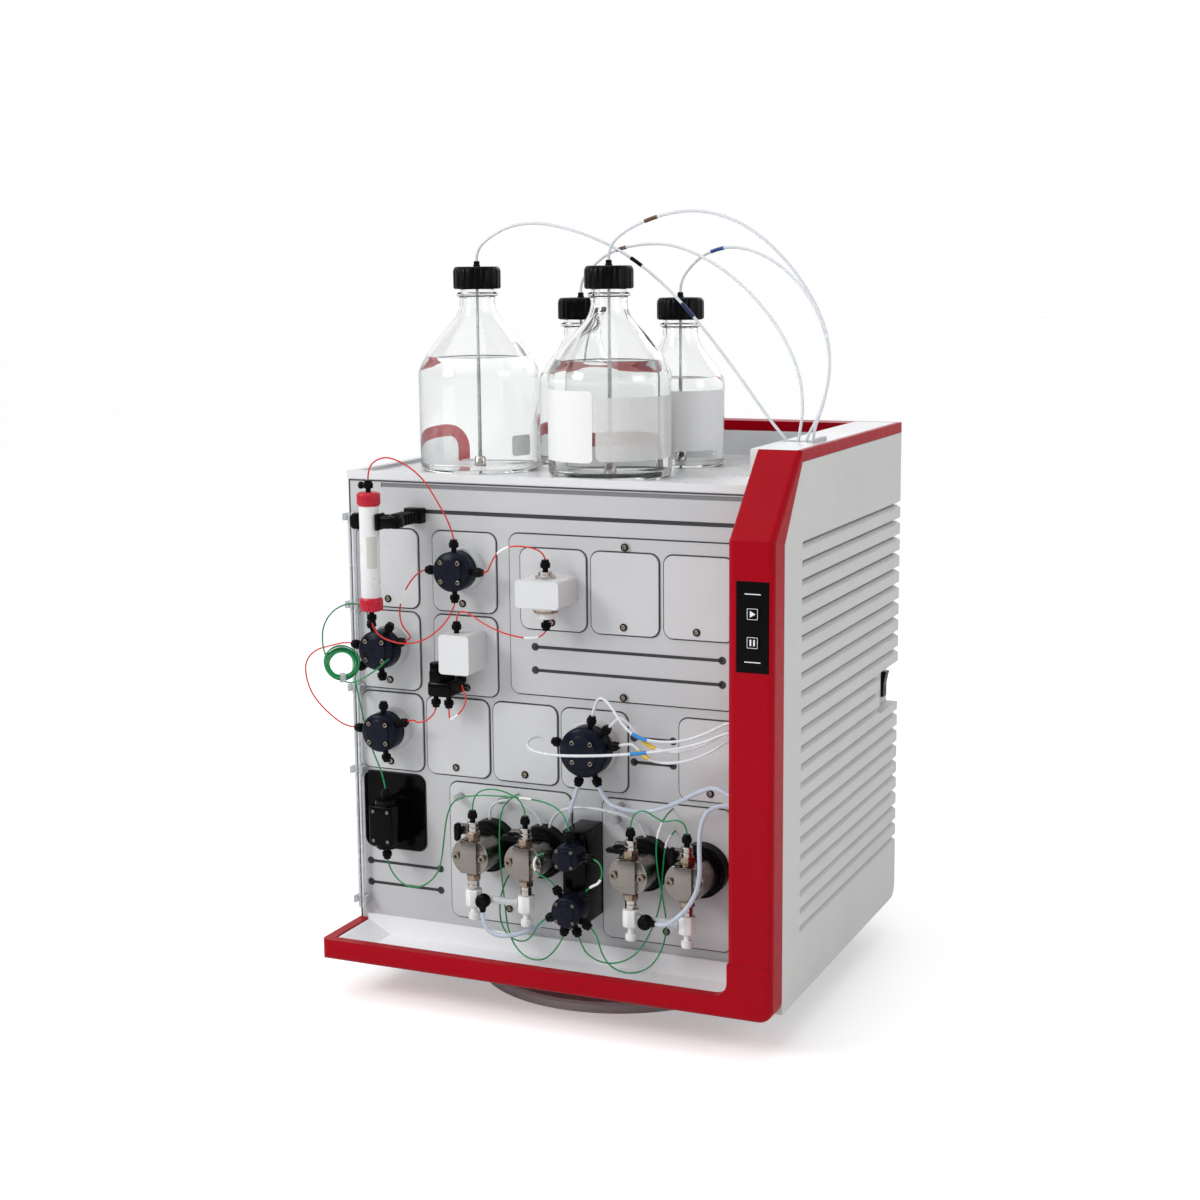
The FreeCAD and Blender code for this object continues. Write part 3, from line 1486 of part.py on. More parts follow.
def check_valve_set(x):
    """Outlet valve with the purge valve's block, and the inlet valve under the head."""
    nut = hexagon("outlet_nut", s["nut_radius"], s["nut_length"], (x, pump_y, pump_top), UP)
    barrel = rod(
        "outlet_barrel", s["cartridge_radius"], s["cartridge_length"],
        (x, pump_y, pump_top + s["nut_length"]), UP,
    )
    spindle_x = x - s["purge_reach"]
    spindle_z = pump_top + s["purge_rise"]
    side = s["purge_spindle_radius"] + 2
    arm = block(
        "purge_arm", (spindle_x - side, pump_y - side, spindle_z - side), (x, pump_y + side, spindle_z + side)
    )
    hole = rod(
        "purge_hole", s["purge_spindle_radius"] + s["purge_clearance"], side * 2 + 2,
        (spindle_x, pump_y + side + 1, spindle_z), FRONT,
    )
    outlet = cut("outlet_valve", fuse("outlet_parts", nut, barrel, arm), hole)
    lower_nut = hexagon("inlet_nut", s["nut_radius"], s["nut_length"], (x, pump_y, pump_bottom), DOWN)
    lower_barrel = rod(
        "inlet_barrel", s["cartridge_radius"], s["cartridge_length"],
        (x, pump_y, pump_bottom - s["nut_length"]), DOWN,
    )
    return [outlet, fuse("inlet_valve", lower_nut, lower_barrel)]


def purge_knob(x, upright):
    """Winged knob on a spindle that turns in the outlet valve's block."""
    spindle_x = x - s["purge_reach"]
    spindle_z = pump_top + s["purge_rise"]
    side = s["purge_spindle_radius"] + 2
    back = pump_y + side - 0.5
    wing_back = pump_y - s["nut_radius"] - 1
    wing_front = wing_back - s["purge_wing_depth"]
    spindle = rod(
        "purge_spindle", s["purge_spindle_radius"], back - wing_front, (spindle_x, back, spindle_z), FRONT
    )
    half_long = s["purge_wing_length"] / 2
    half_short = s["purge_wing_width"] / 2
    half_x, half_z = (half_short, half_long) if upright else (half_long, half_short)
    wing = block(
        "purge_wing",
        (spindle_x - half_x, wing_front, spindle_z - half_z),
        (spindle_x + half_x, wing_back, spindle_z + half_z),
    )
    return fuse("purge_knob", spindle, wing)


def manifold(first_x, second_x):
    """Inlet manifold of a pump: two blocks with thumb screws, joined by a bar."""
    pieces = []
    for x in (first_x, second_x):
        block_base = manifold_top - s["manifold_length"]
        stem_base = block_base - s["manifold_stem"]
        thumb_base = stem_base - s["manifold_thumb"]
        pieces += [
            hexagon("manifold_block", s["manifold_radius"], s["manifold_length"], (x, pump_y, block_base)),
            rod("manifold_stem", s["manifold_stem_radius"], s["manifold_stem"], (x, pump_y, stem_base)),
            hexagon("manifold_thumb", s["manifold_thumb_radius"], s["manifold_thumb"], (x, pump_y, thumb_base)),
        ]
    length = second_x - first_x
    pieces.append(rod("manifold_bar", s["manifold_bar_radius"], length, (first_x, pump_y, bar_z), RIGHT))
    return fuse("manifold", *pieces)


def pressure_block():
    return block(
        "pressure_block",
        (s["block_left"], block_front, s["block_bottom"]),
        (s["block_left"] + s["block_width"], wet_y, s["block_bottom"] + s["block_height"]),
    )


def housing(name, bottom, back):
    """White housing with rounded edges along its depth."""
    width = s[f"{name}_width"]
    height = s[f"{name}_height"]
    middle_x = s[f"{name}_left"] + width / 2
    middle_z = bottom + height / 2
    front = wet_y - s[f"{name}_depth"]
    corner = s["mixer_corner"]
    return tile(name, middle_x, middle_z, width, height, corner, front, as_size(back) - front)


def chamber():
    """Mixing chamber: collar above the housing, disc and neck below it."""
    step = s["chamber_step"]
    return group("chamber", [
        rod("chamber_collar", s["mixer_collar_radius"], step, (mixer_x, device_y, mixer_top)),
        fuse(
            "chamber_lower",
            rod("chamber_disc", s["mixer_disc_radius"], step, (mixer_x, device_y, mixer_base), DOWN),
            rod("chamber_neck", s["mixer_neck_radius"], step * 2, (mixer_x, device_y, mixer_base), DOWN),
        ),
    ])


def flow_cell():
    half = s["uv_width"] / 2
    body = block(
        "cell_body",
        (s["uv_x"] - half, wet_y - s["uv_setback"], s["uv_bottom"]),
        (s["uv_x"] + half, module_y, s["uv_bottom"] + s["uv_height"]),
    )
    ends = rod(
        "cell_ends", s["uv_end_radius"], s["uv_height"] + s["uv_end_length"] * 2,
        (s["uv_x"], device_y, s["uv_bottom"] - s["uv_end_length"]),
    )
    return fuse("flow_cell", body, ends)


def restrictor():
    low = s["restrictor_bottom"]
    lower = block("restrictor_lower", (-151, device_y - 10, low), (-122, module_y, low + 19))
    upper = block("restrictor_upper", (-151, device_y - 10, low + 19), (-133, module_y, low + 38))
    return fuse("restrictor", lower, upper)


def resin_column():
    base = (s["resin_x"], column_y, s["resin_bottom"])
    return rod("column", s["resin_radius"], s["resin_length"], base)


def column_caps():
    caps = [
        rod("column_cap", s["resin_cap_radius"], s["resin_cap_length"], (s["resin_x"], column_y, z))
        for z in (column_cap_bottom, s["resin_bottom"] + s["resin_length"])
    ]
    return group("column_caps", caps)


def clamp():
    """Two jaws round the column on an arm that hooks into the rail."""
    middle_z = s["lower_rail"] - 4.5
    low = middle_z - s["clamp_height"] / 2
    jaws = hexagon("clamp_jaws", s["clamp_radius"], s["clamp_height"], (s["resin_x"], column_y, low))
    opening = rod(
        "clamp_opening", s["resin_radius"] + 0.3, s["clamp_height"] + 2, (s["resin_x"], column_y, low - 1)
    )
    mouth = block(
        "clamp_mouth",
        (s["resin_x"] - 6.5, column_y - 30, low - 1),
        (s["resin_x"] + 6.5, column_y, low + s["clamp_height"] + 1),
    )
    arm_low = (s["column_one"] + 30, column_y - 5, middle_z - 5)
    arm = block("clamp_arm", arm_low, (s["column_one"] + 48, wet_y + s["rail_depth"], middle_z + 5))
    neck = block(
        "clamp_neck",
        (s["resin_x"] + s["resin_radius"] + 2, column_y - 5, middle_z - 5),
        (s["column_one"] + 31, column_y + 9, middle_z + 5),
    )
    return fuse("clamp", cut("clamp_ring", jaws, opening, mouth), neck, hooked(arm))


def hooked(arm):
    """The arm's rear end, stepped to the height of the rail that it sits in."""
    half = s["rail_height"] / 2
    above = block(
        "rail_step",
        (s["column_one"] + 20, wet_y, s["lower_rail"] + half),
        (s["column_one"] + 60, wet_y + 10, s["lower_rail"] + 20),
    )
    below = block(
        "rail_step",
        (s["column_one"] + 20, wet_y, s["lower_rail"] - 20),
        (s["column_one"] + 60, wet_y + 10, s["lower_rail"] - half),
    )
    return cut("clamp_hook", arm, above, below)


def holders():
    """Clips for the two waste tubes on the left, and studs that guide the tubes by the pumps."""
    clips = []
    for z in (541, 441, 345, 249, 95):
        edge = left_x + 0.5
        body = block("clip", (edge, module_y - 12.5, z - 4), (edge + 16, module_y, z + 4))
        clip_foot = block("clip_foot", (edge, module_y, z - 4), (edge + 8.8, wet_y, z + 4))
        notch = block("clip_notch", (edge + 3.1, module_y - 13.5, z - 5), (edge + 11.9, module_y - 5, z + 5))
        clips.append(cut("tube_clip", fuse("clip_body", body, clip_foot), notch))
    for x, z in ((-130, 229), (-75, 231), (66, 238), (62, 222)):
        clips.append(rod("stud", 4, 12, (x, module_y, z), FRONT))
    left = s["cable_slot_left"]
    guide = block("tube_guide", (left + 38, -68, s["casing_height"]), (left + 43, -34, s["casing_height"] + 5))
    clips.append(guide)
    return group("holders", clips)


# Bottles


def bottle(radius, wall, shoulder_radius, shoulder_rise, height, x, y):
    """Hollow glass bottle with a straight wall, a shoulder, a collar and a threaded mouth."""
    glass = s["glass_wall"]
    neck_foot = height - s["neck_drop"]
    collar = height - s["collar_drop"]
    lip = height - s["cap_wall"] - gap - s["insert_height"]
    bore = s["neck_radius"] - glass
    outline = [
        (0, 0),
        (radius, 0),
        (radius, wall),
        (shoulder_radius, wall + shoulder_rise),
        (s["neck_radius"], neck_foot),
        (s["neck_radius"], collar),
        (s["collar_radius"], collar),
        (s["collar_radius"], collar + s["collar_height"]),
        (s["lip_radius"], collar + s["collar_height"]),
        (s["lip_radius"], lip),
        (bore, lip),
        (bore, neck_foot - glass),
        (shoulder_radius - glass, wall + shoulder_rise - glass),
        (radius - glass, wall - glass),
        (radius - glass, glass),
        (0, glass),
    ]
    return revolved("bottle", outline, (x, y, s["deck_height"]))


def screw_cap(height, x, y):
    """Open screw cap that turns on the bottle's mouth round the insert's nipple."""
    top = s["deck_height"] + height
    outside = rod("cap_outside", s["cap_radius"], s["cap_height"], (x, y, top - s["cap_height"]))
    inside = rod(
        "cap_inside", s["lip_radius"] + s["cap_clearance"], s["cap_height"] - s["cap_wall"] + 1,
        (x, y, top - s["cap_height"] - 1),
    )
    hole = rod("cap_hole", s["nipple_radius"] + 0.3, s["cap_wall"] * 3, (x, y, top - s["cap_wall"] * 2))
    return cut("screw_cap", outside, inside, hole)


def insert(height, x, y):
    """Insert on the mouth: a flange, the hose nipple and the dip tube."""
    top = s["deck_height"] + height
    flange_base = top - s["cap_wall"] - gap - s["insert_height"]
    flange = rod("insert_flange", s["insert_radius"], s["insert_height"], (x, y, flange_base))
    reach = s["insert_height"] + gap + s["cap_wall"] + s["nipple_height"]
    nipple = hexagon("insert_nipple", s["nipple_radius"], reach, (x, y, flange_base))
    dip_base = s["deck_height"] + s["glass_wall"] + s["dip_clearance"]
    dip = hexagon("dip_tube", s["tube_radius"], flange_base - dip_base, (x, y, dip_base))
    return fuse("insert", flange, nipple, dip)


LARGE = ("large_bottle_radius", "large_wall_height", "large_shoulder_radius",
         "large_shoulder_rise", "large_bottle_height")
SMALL = ("small_bottle_radius", "small_wall_height", "small_shoulder_radius",
         "small_shoulder_rise", "small_bottle_height")
BOTTLES = [(LARGE, -152, -45), (LARGE, 21, -69), (SMALL, -75, 70), (SMALL, 50, 70)]


def nipple_tip(number):
    kind, x, y = BOTTLES[number - 1]
    return (x, y, s["deck_height"] + s[kind[-1]] + s["nipple_height"])


# Tubes


def ring_round(point, along, radius, sides):
    """Corners of a tube's section at a point."""
    side = along.cross(UP) if abs(along.dot(UP)) < 0.9 else along.cross(RIGHT)
    side.normalize()
    other = along.cross(side)
    corners = []
    for number in range(sides):
        angle = 2 * math.pi * number / sides
        corners.append(point + side * (radius * math.cos(angle)) + other * (radius * math.sin(angle)))
    return corners


def meeting(corners, point, along):
    """A tube's end section, moved along the tube into the face of the fitting that it enters."""
    facing = FITTING_FACES.get(key(point))
    if facing is None:
        return corners
    return [corner - along * ((corner - point).dot(facing) / along.dot(facing)) for corner in corners]


def ruled(corners, moved):
    """Flat sides between two sections of a straight run."""
    faces = []
    for number, corner in enumerate(corners):
        after = (number + 1) % len(corners)
        outline = [corner, corners[after], moved[after], moved[number], corner]
        faces.append(Part.Face(Part.makePolygon(outline)))
    return faces


def section_loop(corners):
    return [Part.makeLine(a, b) for a, b in zip(corners, corners[1:] + corners[:1])]


def route_parts(points):
    """Straight runs and the arcs between them, as (kind, data) in order."""
    parts = []
    radii = []
    start = points[0]
    for before, corner, after in zip(points, points[1:], points[2:]):
        run_in = corner - before
        run_out = after - corner
        turn = run_in.getAngle(run_out)
        shorter = min(run_in.Length, run_out.Length)
        cut_back = 0.45 * shorter
        radius = cut_back / math.tan(turn / 2)
        run_in.normalize()
        run_out.normalize()
        arc_start = corner - run_in * cut_back
        axis = run_in.cross(run_out)
        axis.normalize()
        centre = arc_start + axis.cross(run_in) * radius
        parts.append(("run", arc_start - start))
        parts.append(("arc", (centre, axis, math.degrees(turn))))
        radii.append(radius)
        start = corner + run_out * cut_back
    parts.append(("run", points[-1] - start))
    return parts, radii


def tube(name, points, radius, sides=6):
    """A bent tube: its section carried along each run and round each arc."""
    points = [FreeCAD.Vector(*(as_size(value).value for value in point)) for point in points]
    radius = as_size(radius).value
    parts, radii = route_parts(points)
    along = points[1] - points[0]
    along.normalize()
    straight = ring_round(points[0], along, radius, sides)
    corners = meeting(straight, points[0], along)
    last = len(parts) - 1
    faces = [Part.Face(Part.Wire(section_loop(corners)))]
    length = 0.0
    for number, (kind, data) in enumerate(parts):
        if kind == "run":
            straight = [corner + data for corner in straight]
            moved = straight
            if number == last:
                along = FreeCAD.Vector(data)
                along.normalize()
                moved = meeting(straight, points[-1], along)
            faces += ruled(corners, moved)
            length += data.Length
        else:
            centre, axis, angle = data
            turned = FreeCAD.Placement(FreeCAD.Vector(), FreeCAD.Rotation(axis, angle), centre)
            faces += [edge.revolve(centre, axis, angle) for edge in section_loop(corners)]
            straight = [turned.multVec(corner) for corner in straight]
            moved = straight
        corners = moved
    faces.append(Part.Face(Part.Wire(section_loop(corners))))
    shell = Part.makeShell(faces)
    shell.sewShape()
    solid = Part.Solid(shell)
    if solid.Volume < 0:
        solid.reverse()
    arcs = [data for kind, data in parts if kind == "arc"]
    for (centre, axis, angle), bend in zip(arcs, radii):
        length += math.radians(angle) * bend
    section = 0.5 * sides * radius ** 2 * math.sin(2 * math.pi / sides)
    error = abs(solid.Volume / (section * length) - 1)
    print(f"{name}: length {length:.0f}, tightest bend {min(radii, default=0):.1f}, "
          f"volume off by {error:.4f}, valid {solid.isValid()}")
    item = doc.addObject("Part::Feature", fresh(name))
    item.Shape = solid
    return item


def coil():
    """Sample loop: a bundle of turns, as one ring with a six-sided section."""
    centre = FreeCAD.Vector(-249, -203, 382)
    outline = []
    for number in range(6):
        angle = math.pi * number / 3
        outline.append(FreeCAD.Vector(
            s["loop_radius"].value + s["loop_bundle"].value * math.cos(angle), 0,
            s["loop_bundle"].value * math.sin(angle),
        ))
    face = Part.Face(Part.makePolygon(outline + outline[:1]))
    ring = face.revolve(FreeCAD.Vector(), Z_AXIS, 360)
    item = doc.addObject("Part::Feature", fresh("loop"))
    item.Shape = ring
    item.Placement = FreeCAD.Placement(centre, FreeCAD.Rotation(Z_AXIS, FreeCAD.Vector(0.55, -0.75, 0.45)))
    return item


FITTING_FACES = {
    key(offset(base, towards, fitting_length)): FreeCAD.Vector(towards) for base, towards in PORTS.values()
}

# Routes of the tubes: from fitting to fitting, with the points between them

RED_ROUTES = {
    "column_feed": [
        tip("column_top"), (-203, -212, 602), (-195, -210, 612), (-178, -206, 616), (-147, -197, 597),
        (-130, -186, 562), (-122, -176, 537), tip("valve_one_top"),
    ],
    "valve_link": [
        tip("valve_one_left"), (-165, -175, 486), (-175, -184, 470), (-180, -192, 450),
        (-178, -194, 430), (-172, -184, 416), before_tip("valve_two_right"), tip("valve_two_right"),
    ],
    "mixer_link": [
        tip("mixer_top"), (-10, -179, 515), (-20, -184, 521), (-43, -188, 523), (-60, -188, 515),
        (-70, -185, 502), (-78, -177, 490), tip("valve_one_right"),
    ],
    "column_return": [
        tip("valve_one_bottom"), (-122, -178, 444), (-128, -188, 430), (-144, -200, 415),
        (-165, -208, 410), (-188, -212, 415), (-201, -212, 424), tip("column_bottom"),
    ],
    "monitor_link": [
        tip("mixer_bottom"), (-12, -180, 424), (-30, -186, 422), (-59, -190, 428),
        (-83, -188, 438), (-104, -181, 447), (-116, -178, 444), tip("monitor_top"),
    ],
    "restrictor_link": [
        tip("monitor_bottom"), (-110, -179, 357), (-103, -184, 350), (-105, -189, 339),
        (-115, -190, 329), (-124, -185, 325), (-128, -179, 328), tip("restrictor_right"),
    ],
    "outlet_link": [
        tip("restrictor_left"), (-146, -180, 329), (-153, -184, 321), (-165, -184, 317),
        before_tip("valve_three_right"), tip("valve_three_right"),
    ],
    "waste_loop": [
        tip("valve_three_left"), (-262, -175, 303), (-281, -179, 316), (-304, -178, 336), (-313, -177, 358),
        (-313, -176, 376), (-301, -174, 389), (-284, -170, 394), before_tip("valve_two_left"),
        tip("valve_two_left"),
    ],
}

GREEN_ROUTES = {
    "cell_feed": [
        tip("valve_two_low"), before_tip("valve_two_low"), (-252, -169, 352), (-249, -167, 332),
        (-243, -167, 306), (-232, -170, 276), (-216, -176, 252), tip("cell_top"),
    ],
    "cell_outlet": [
        tip("cell_bottom"), (-209, -179, 145), (-200, -182, 135), (-187, -185, 128), (-169, -187, 127),
        (-153, -187, 135), (-140, -185, 152), (-137, -181, 185), (-135, -177, 213), (-126, -174, 233),
        (-95, -173, 239), (-67, -175, 241), (-38, -180, 243), (-8, -191, 245), (16, -203, 242),
        (28, -210, 232), tip("sensor_top"),
    ],
    "left_pump_link": [
        tip("pump_1"), (-90, -200, 243), (-78, -200, 254), (-58, -200, 256), (-38, -200, 250),
        (-27, -200, 240), tip("pump_2"),
    ],
    "right_pump_link": [
        tip("pump_3"), (99, -200, 243), (112, -200, 251), (124, -199, 244), (136, -199, 239),
        (150, -200, 244), (161, -200, 239), tip("pump_4"),
    ],
    "left_pump_outlet": [
        (-58, module_y, 238), (-59, -165, 238), (-62, -183, 232), (-63, -190, 213), (-63, -190, 172),
        (-57, -192, 128), (-52, -196, 98), (-40, -202, 79), (-19, -209, 70), (3, -212, 74),
        before_tip("pressure_four"), tip("pressure_four"),
    ],
    "left_pump_sensor": [
        (-66, module_y, 149), (-67, -163, 147), (-71, -176, 124), (-68, -182, 98), (-56, -186, 85),
        (-38, -194, 83), (-20, -204, 92), before_tip("pressure_three", 9), tip("pressure_three"),
    ],
    "right_pump_outlet": [
        tip("pressure_five"), before_tip("pressure_five"), (52, -213, 86), (72, -213, 79), (94, -208, 83),
        (109, -200, 96), (120, -191, 121), (127, -187, 148), (128, -185, 180), (128, -178, 206),
        (129, -164, 215), (129, module_y, 216),
    ],
    "right_pump_sensor": [
        tip("pressure_six"), before_tip("pressure_six", 9), (68, -214, 92), (80, -214, 76),
        (101, -212, 71), (122, -207, 79), (133, -199, 98), (136, -192, 122), (131, -191, 150),
        (125, -193, 184), (123, -192, 214), (125, -180, 232), (126, -165, 239), (126, module_y, 240),
    ],
    "sensor_link": [
        tip("sensor_right"), (67, -213, 192), (72, -216, 181), (68, -217, 169),
        before_tip("pressure_two"), tip("pressure_two"),
    ],
    "mixer_outlet": [
        tip("sensor_left"), (-6, -211, 192), (-12, -212, 181), (-7, -213, 170),
        before_tip("pressure_one"), tip("pressure_one"),
    ],
    "loop_arch": [
        (-266.5, -209.2, 392.3), (-270, -209, 407), (-269, -207, 425), (-260, -202, 441),
        (-246, -193, 449), (-233, -181, 446), before_tip("valve_two_loop"), tip("valve_two_loop"),
    ],
    "loop_tail": [
        (-242, -209.3, 363), (-229, -212, 363), (-214, -211, 371), (-202, -204, 380), (-199, -193, 386),
        (-200, valve_base_y - s["valve_length"], 387),
    ],
}

cable_floor = s["casing_height"] - s["cable_slot_depth"]
CLEAR_ROUTES = {
    "buffer_tube_1": [
        nipple_tip(1), (-152, -45, 836), (-134, -46, 850), (-108, -47, 862), (-71, -48, 865), (-22, -49, 854),
        (28, -49, 833), (73, -49, 801), (116, -49, 758), (159, -48, 705), (196, -47, 655),
        (214, -46, 634), (221, -46, 626), (221, -46, cable_floor),
    ],
    "buffer_tube_2": [
        nipple_tip(2), (21, -69, 834), (32, -70, 848), (56, -70, 861), (87, -69, 871), (126, -68, 875),
        (171, -66, 862), (209, -64, 834), (240, -62, 798), (262, -59, 757), (269, -56, 717),
        (262, -53, 675), (250, -50, 646), (247, -49, 629), (247, -49, cable_floor),
    ],
    "buffer_tube_3": [
        nipple_tip(3), (-75, 70, 797), (-64, 68, 812), (-33, 60, 833), (9, 50, 841), (56, 38, 840),
        (109, 25, 819), (155, 10, 788), (196, -8, 748), (224, -25, 704), (233, -37, 665),
        (231, -44, 638), (230, -46, 628), (230, -46, cable_floor),
    ],
    "buffer_tube_4": [
        nipple_tip(4), (50, 70, 798), (64, 68, 816), (87, 60, 831), (123, 50, 838), (167, 35, 826),
        (208, 18, 799), (239, 0, 762), (256, -15, 721), (257, -28, 684), (248, -38, 652),
        (240, -43, 636), (238, -45, 626), (238, -45, cable_floor),
    ],
    "inlet_tube_1": [
        tip("inlet_one"), before_tip("inlet_one", 9), (52, -177, 363), (65, -183, 360), (78, -190, 348),
        (92, -196, 334), (112, -199, 325), (152, -199, 326), (186, -199, 340), (207, -197, 353),
        (column_left, -197, 353),
    ],
    "inlet_tube_2": [
        tip("inlet_two"), before_tip("inlet_two", 7), (-22, -178, 314), (-27, -189, 311), (-22, -201, 307),
        (-9, -209, 304), (18, -212, 303),
        (66, -211, 307), (111, -208, 313), (155, -204, 321), (187, -202, 332), (207, -201, 343),
        (column_left, -201, 343),
    ],
    "inlet_tube_3": [
        tip("inlet_three"), before_tip("inlet_three", 7), (77, -177, 343), (90, -184, 338),
        (103, -190, 326), (120, -194, 316), (154, -198, 315), (187, -194, 329), (207, -190, 345),
        (column_left, -190, 345),
    ],
    "inlet_tube_4": [
        tip("inlet_four"), before_tip("inlet_four"), (92, -178, 315), (105, -187, 308), (121, -196, 302),
        (153, -199, 304), (187, -196, 318), (207, -195, 335), (column_left, -195, 335),
    ],
    "waste_tube_left": [(-262, -156.9, 546), (-262, -156.9, 84)],
    "waste_tube_right": [(-257, -156.9, 546), (-257, -156.9, 84)],
    "rinse_tube_left": [
        (-90.5, -158, 207.8), (-90.2, -159, 219), (-82, -163, 229), (-66, -166, 235), (-46, -164, 231),
        (-31, -159, 220), (-27, -158, 207.8),
    ],
    "rinse_tube_right": [
        (-17, -158, 206.2), (-14, -159, 217), (0, -163, 230), (26, -166, 236), (56, -166, 235),
        (80, -162, 229), (95, -158, 219), (97, -158, 207.8),
    ],
}

HOSE_ROUTES = {
    "left_inlet_hose": [
        tip("inlet_out_left"), before_tip("inlet_out_left", 10), (18, -181, 234), (11, -172, 212),
        (10, -168, 180), (8, -169, 146), (-2, -178, 114), (-22, -191, 98), (-46, -205, 92),
        (-64, -209, 93), (-75, -210, 104), connector_tip(*HOSE_CONNECTORS[0]),
    ],
    "right_inlet_hose": [
        tip("inlet_out_right"), before_tip("inlet_out_right", 10), (66, -178, 244), (88, -176, 240),
        (112, -176, 242), (142, -178, 255), (168, -182, 271), (188, -186, 280), (205, -190, 272),
        (column_left, -190, 272),
    ],
    "degasser_hose": [
        (column_left, -203, 266), (205, -203, 266), (192, -205, 262), (184, -209, 254), (181, -214, 238),
        (182.5, -219, 218), (184.5, -221, 196), (180, -221, 172), (167, -220, 152), (152, -215.5, 138),
        (141, -210, 130), connector_tip(*HOSE_CONNECTORS[1]),
    ],
}


def tubes(name, routes, radius):
    return [tube(f"{name}_{label}", points, radius) for label, points in routes.items()]


# Inside the casing


def pump_drives():
    """Two motor drives behind the pump panels, with a bore for each piston."""
    drives = []
    for number, (panel_x, _) in enumerate(PUMP_PANELS):
        middle = panel_x + s["pump_offset"]
        half = s["drive_width"] / 2
        body = block(
            "pump_drive",
            (middle - half, bulkhead_back_y, pump_z - s["drive_height"] / 2),
            (middle + half, bulkhead_back_y + s["drive_depth"], pump_z + s["drive_height"] / 2),
        )
        bores = [
            rod("drive_bore", s["piston_channel_radius"], s["drive_bore"] + 1, (x, bulkhead_back_y - 1, pump_z), BACK)
            for x in PUMP_X[number * 2 : number * 2 + 2]
        ]
        drives.append(cut("drive", body, *bores))
    return group("pump_drives", drives)


def valve_drives():
    drives = []
    for x, z in (VALVE_ONE, VALVE_TWO, VALVE_THREE, INLET_VALVE):
        drives.append(rod("valve_motor", 21, s["motor_length"], (x, bulkhead_back_y, z), BACK))
        drives.append(
            block("valve_gear", (x - 29, bulkhead_back_y + s["motor_length"], z - 29),
                  (x + 29, bulkhead_back_y + s["motor_length"] + 18, z + 29))
        )
    return group("valve_drives", [fuse("valve_drive", a, b) for a, b in zip(drives[::2], drives[1::2])])


def power_supply():
    floor_z = s["body_lift"] + s["sheet_wall"]
    left = left_x + 22.5
    rear = rear_inner_y - 29
    return block("supply", (left, rear - 140, floor_z), (left + 120, rear, floor_z + 72))


def controller():
    """Circuit board on the chassis wall with its largest parts."""
    back = chassis_right - s["sheet_wall"] - 12
    board = block("board", (back - 2, -110, 350), (back, 130, 545))
    parts = [
        block("board_part", (back - 2 - height, y, z), (back - 2, y + length, z + length))
        for y, z, length, height in ((-80, 480, 36, 5), (10, 470, 48, 14), (-70, 380, 26, 8), (60, 380, 30, 20))
    ]
    feet = [
        rod("board_post", 4, 12, (back, y, z), RIGHT) for y, z in ((-100, 360), (120, 360), (-100, 535), (120, 535))
    ]
    return fuse("controller", board, *parts, *feet)


def mains_inlet():
    """Mains inlet in the rear panel: a socket with three pins."""
    half_w = s["inlet_width"] / 2
    half_h = s["inlet_length"] / 2
    body = block(
        "inlet_body",
        (s["inlet_x"] - half_w, rear_inner_y - 14, s["inlet_height"] - half_h),
        (s["inlet_x"] + half_w, rear_y, s["inlet_height"] + half_h),
    )
    rim = block(
        "inlet_rim",
        (s["inlet_x"] - half_w - 3, rear_y, s["inlet_height"] - half_h - 3),
        (s["inlet_x"] + half_w + 3, rear_y + 0.8, s["inlet_height"] + half_h + 3),
    )
    well = block(
        "inlet_well",
        (s["inlet_x"] - 8.5, rear_y - 15, s["inlet_height"] - 12.5),
        (s["inlet_x"] + 8.5, rear_y + 3, s["inlet_height"] + 12.5),
    )
    pins = [
        block("inlet_pin", (s["inlet_x"] + x - 1, rear_y - 15, s["inlet_height"] + z - 2),
              (s["inlet_x"] + x + 1, rear_y - 5, s["inlet_height"] + z + 2))
        for x, z in ((-3, -7), (3, 0), (-3, 7))
    ]
    return fuse("mains_inlet", cut("inlet_shell", fuse("inlet_solid", body, rim), well), *pins)


def foot():
    """Turntable under the casing with the spindle that it turns on."""
    top = s["body_lift"] - gap
    chamfer = 3
    outline = [
        (0, 0),
        (s["foot_radius"], 0),
        (s["foot_radius"], s["foot_thickness"] - chamfer),
        (s["foot_radius"] - chamfer, s["foot_thickness"]),
        (s["foot_hub_radius"], s["foot_thickness"]),
        (s["foot_hub_radius"], top),
        (s["spindle_radius"], top),
        (s["spindle_radius"], s["body_lift"] + s["sheet_wall"] * 3),
        (0, s["body_lift"] + s["sheet_wall"] * 3),
    ]
    return revolved("foot", outline, (0, 0, 0))


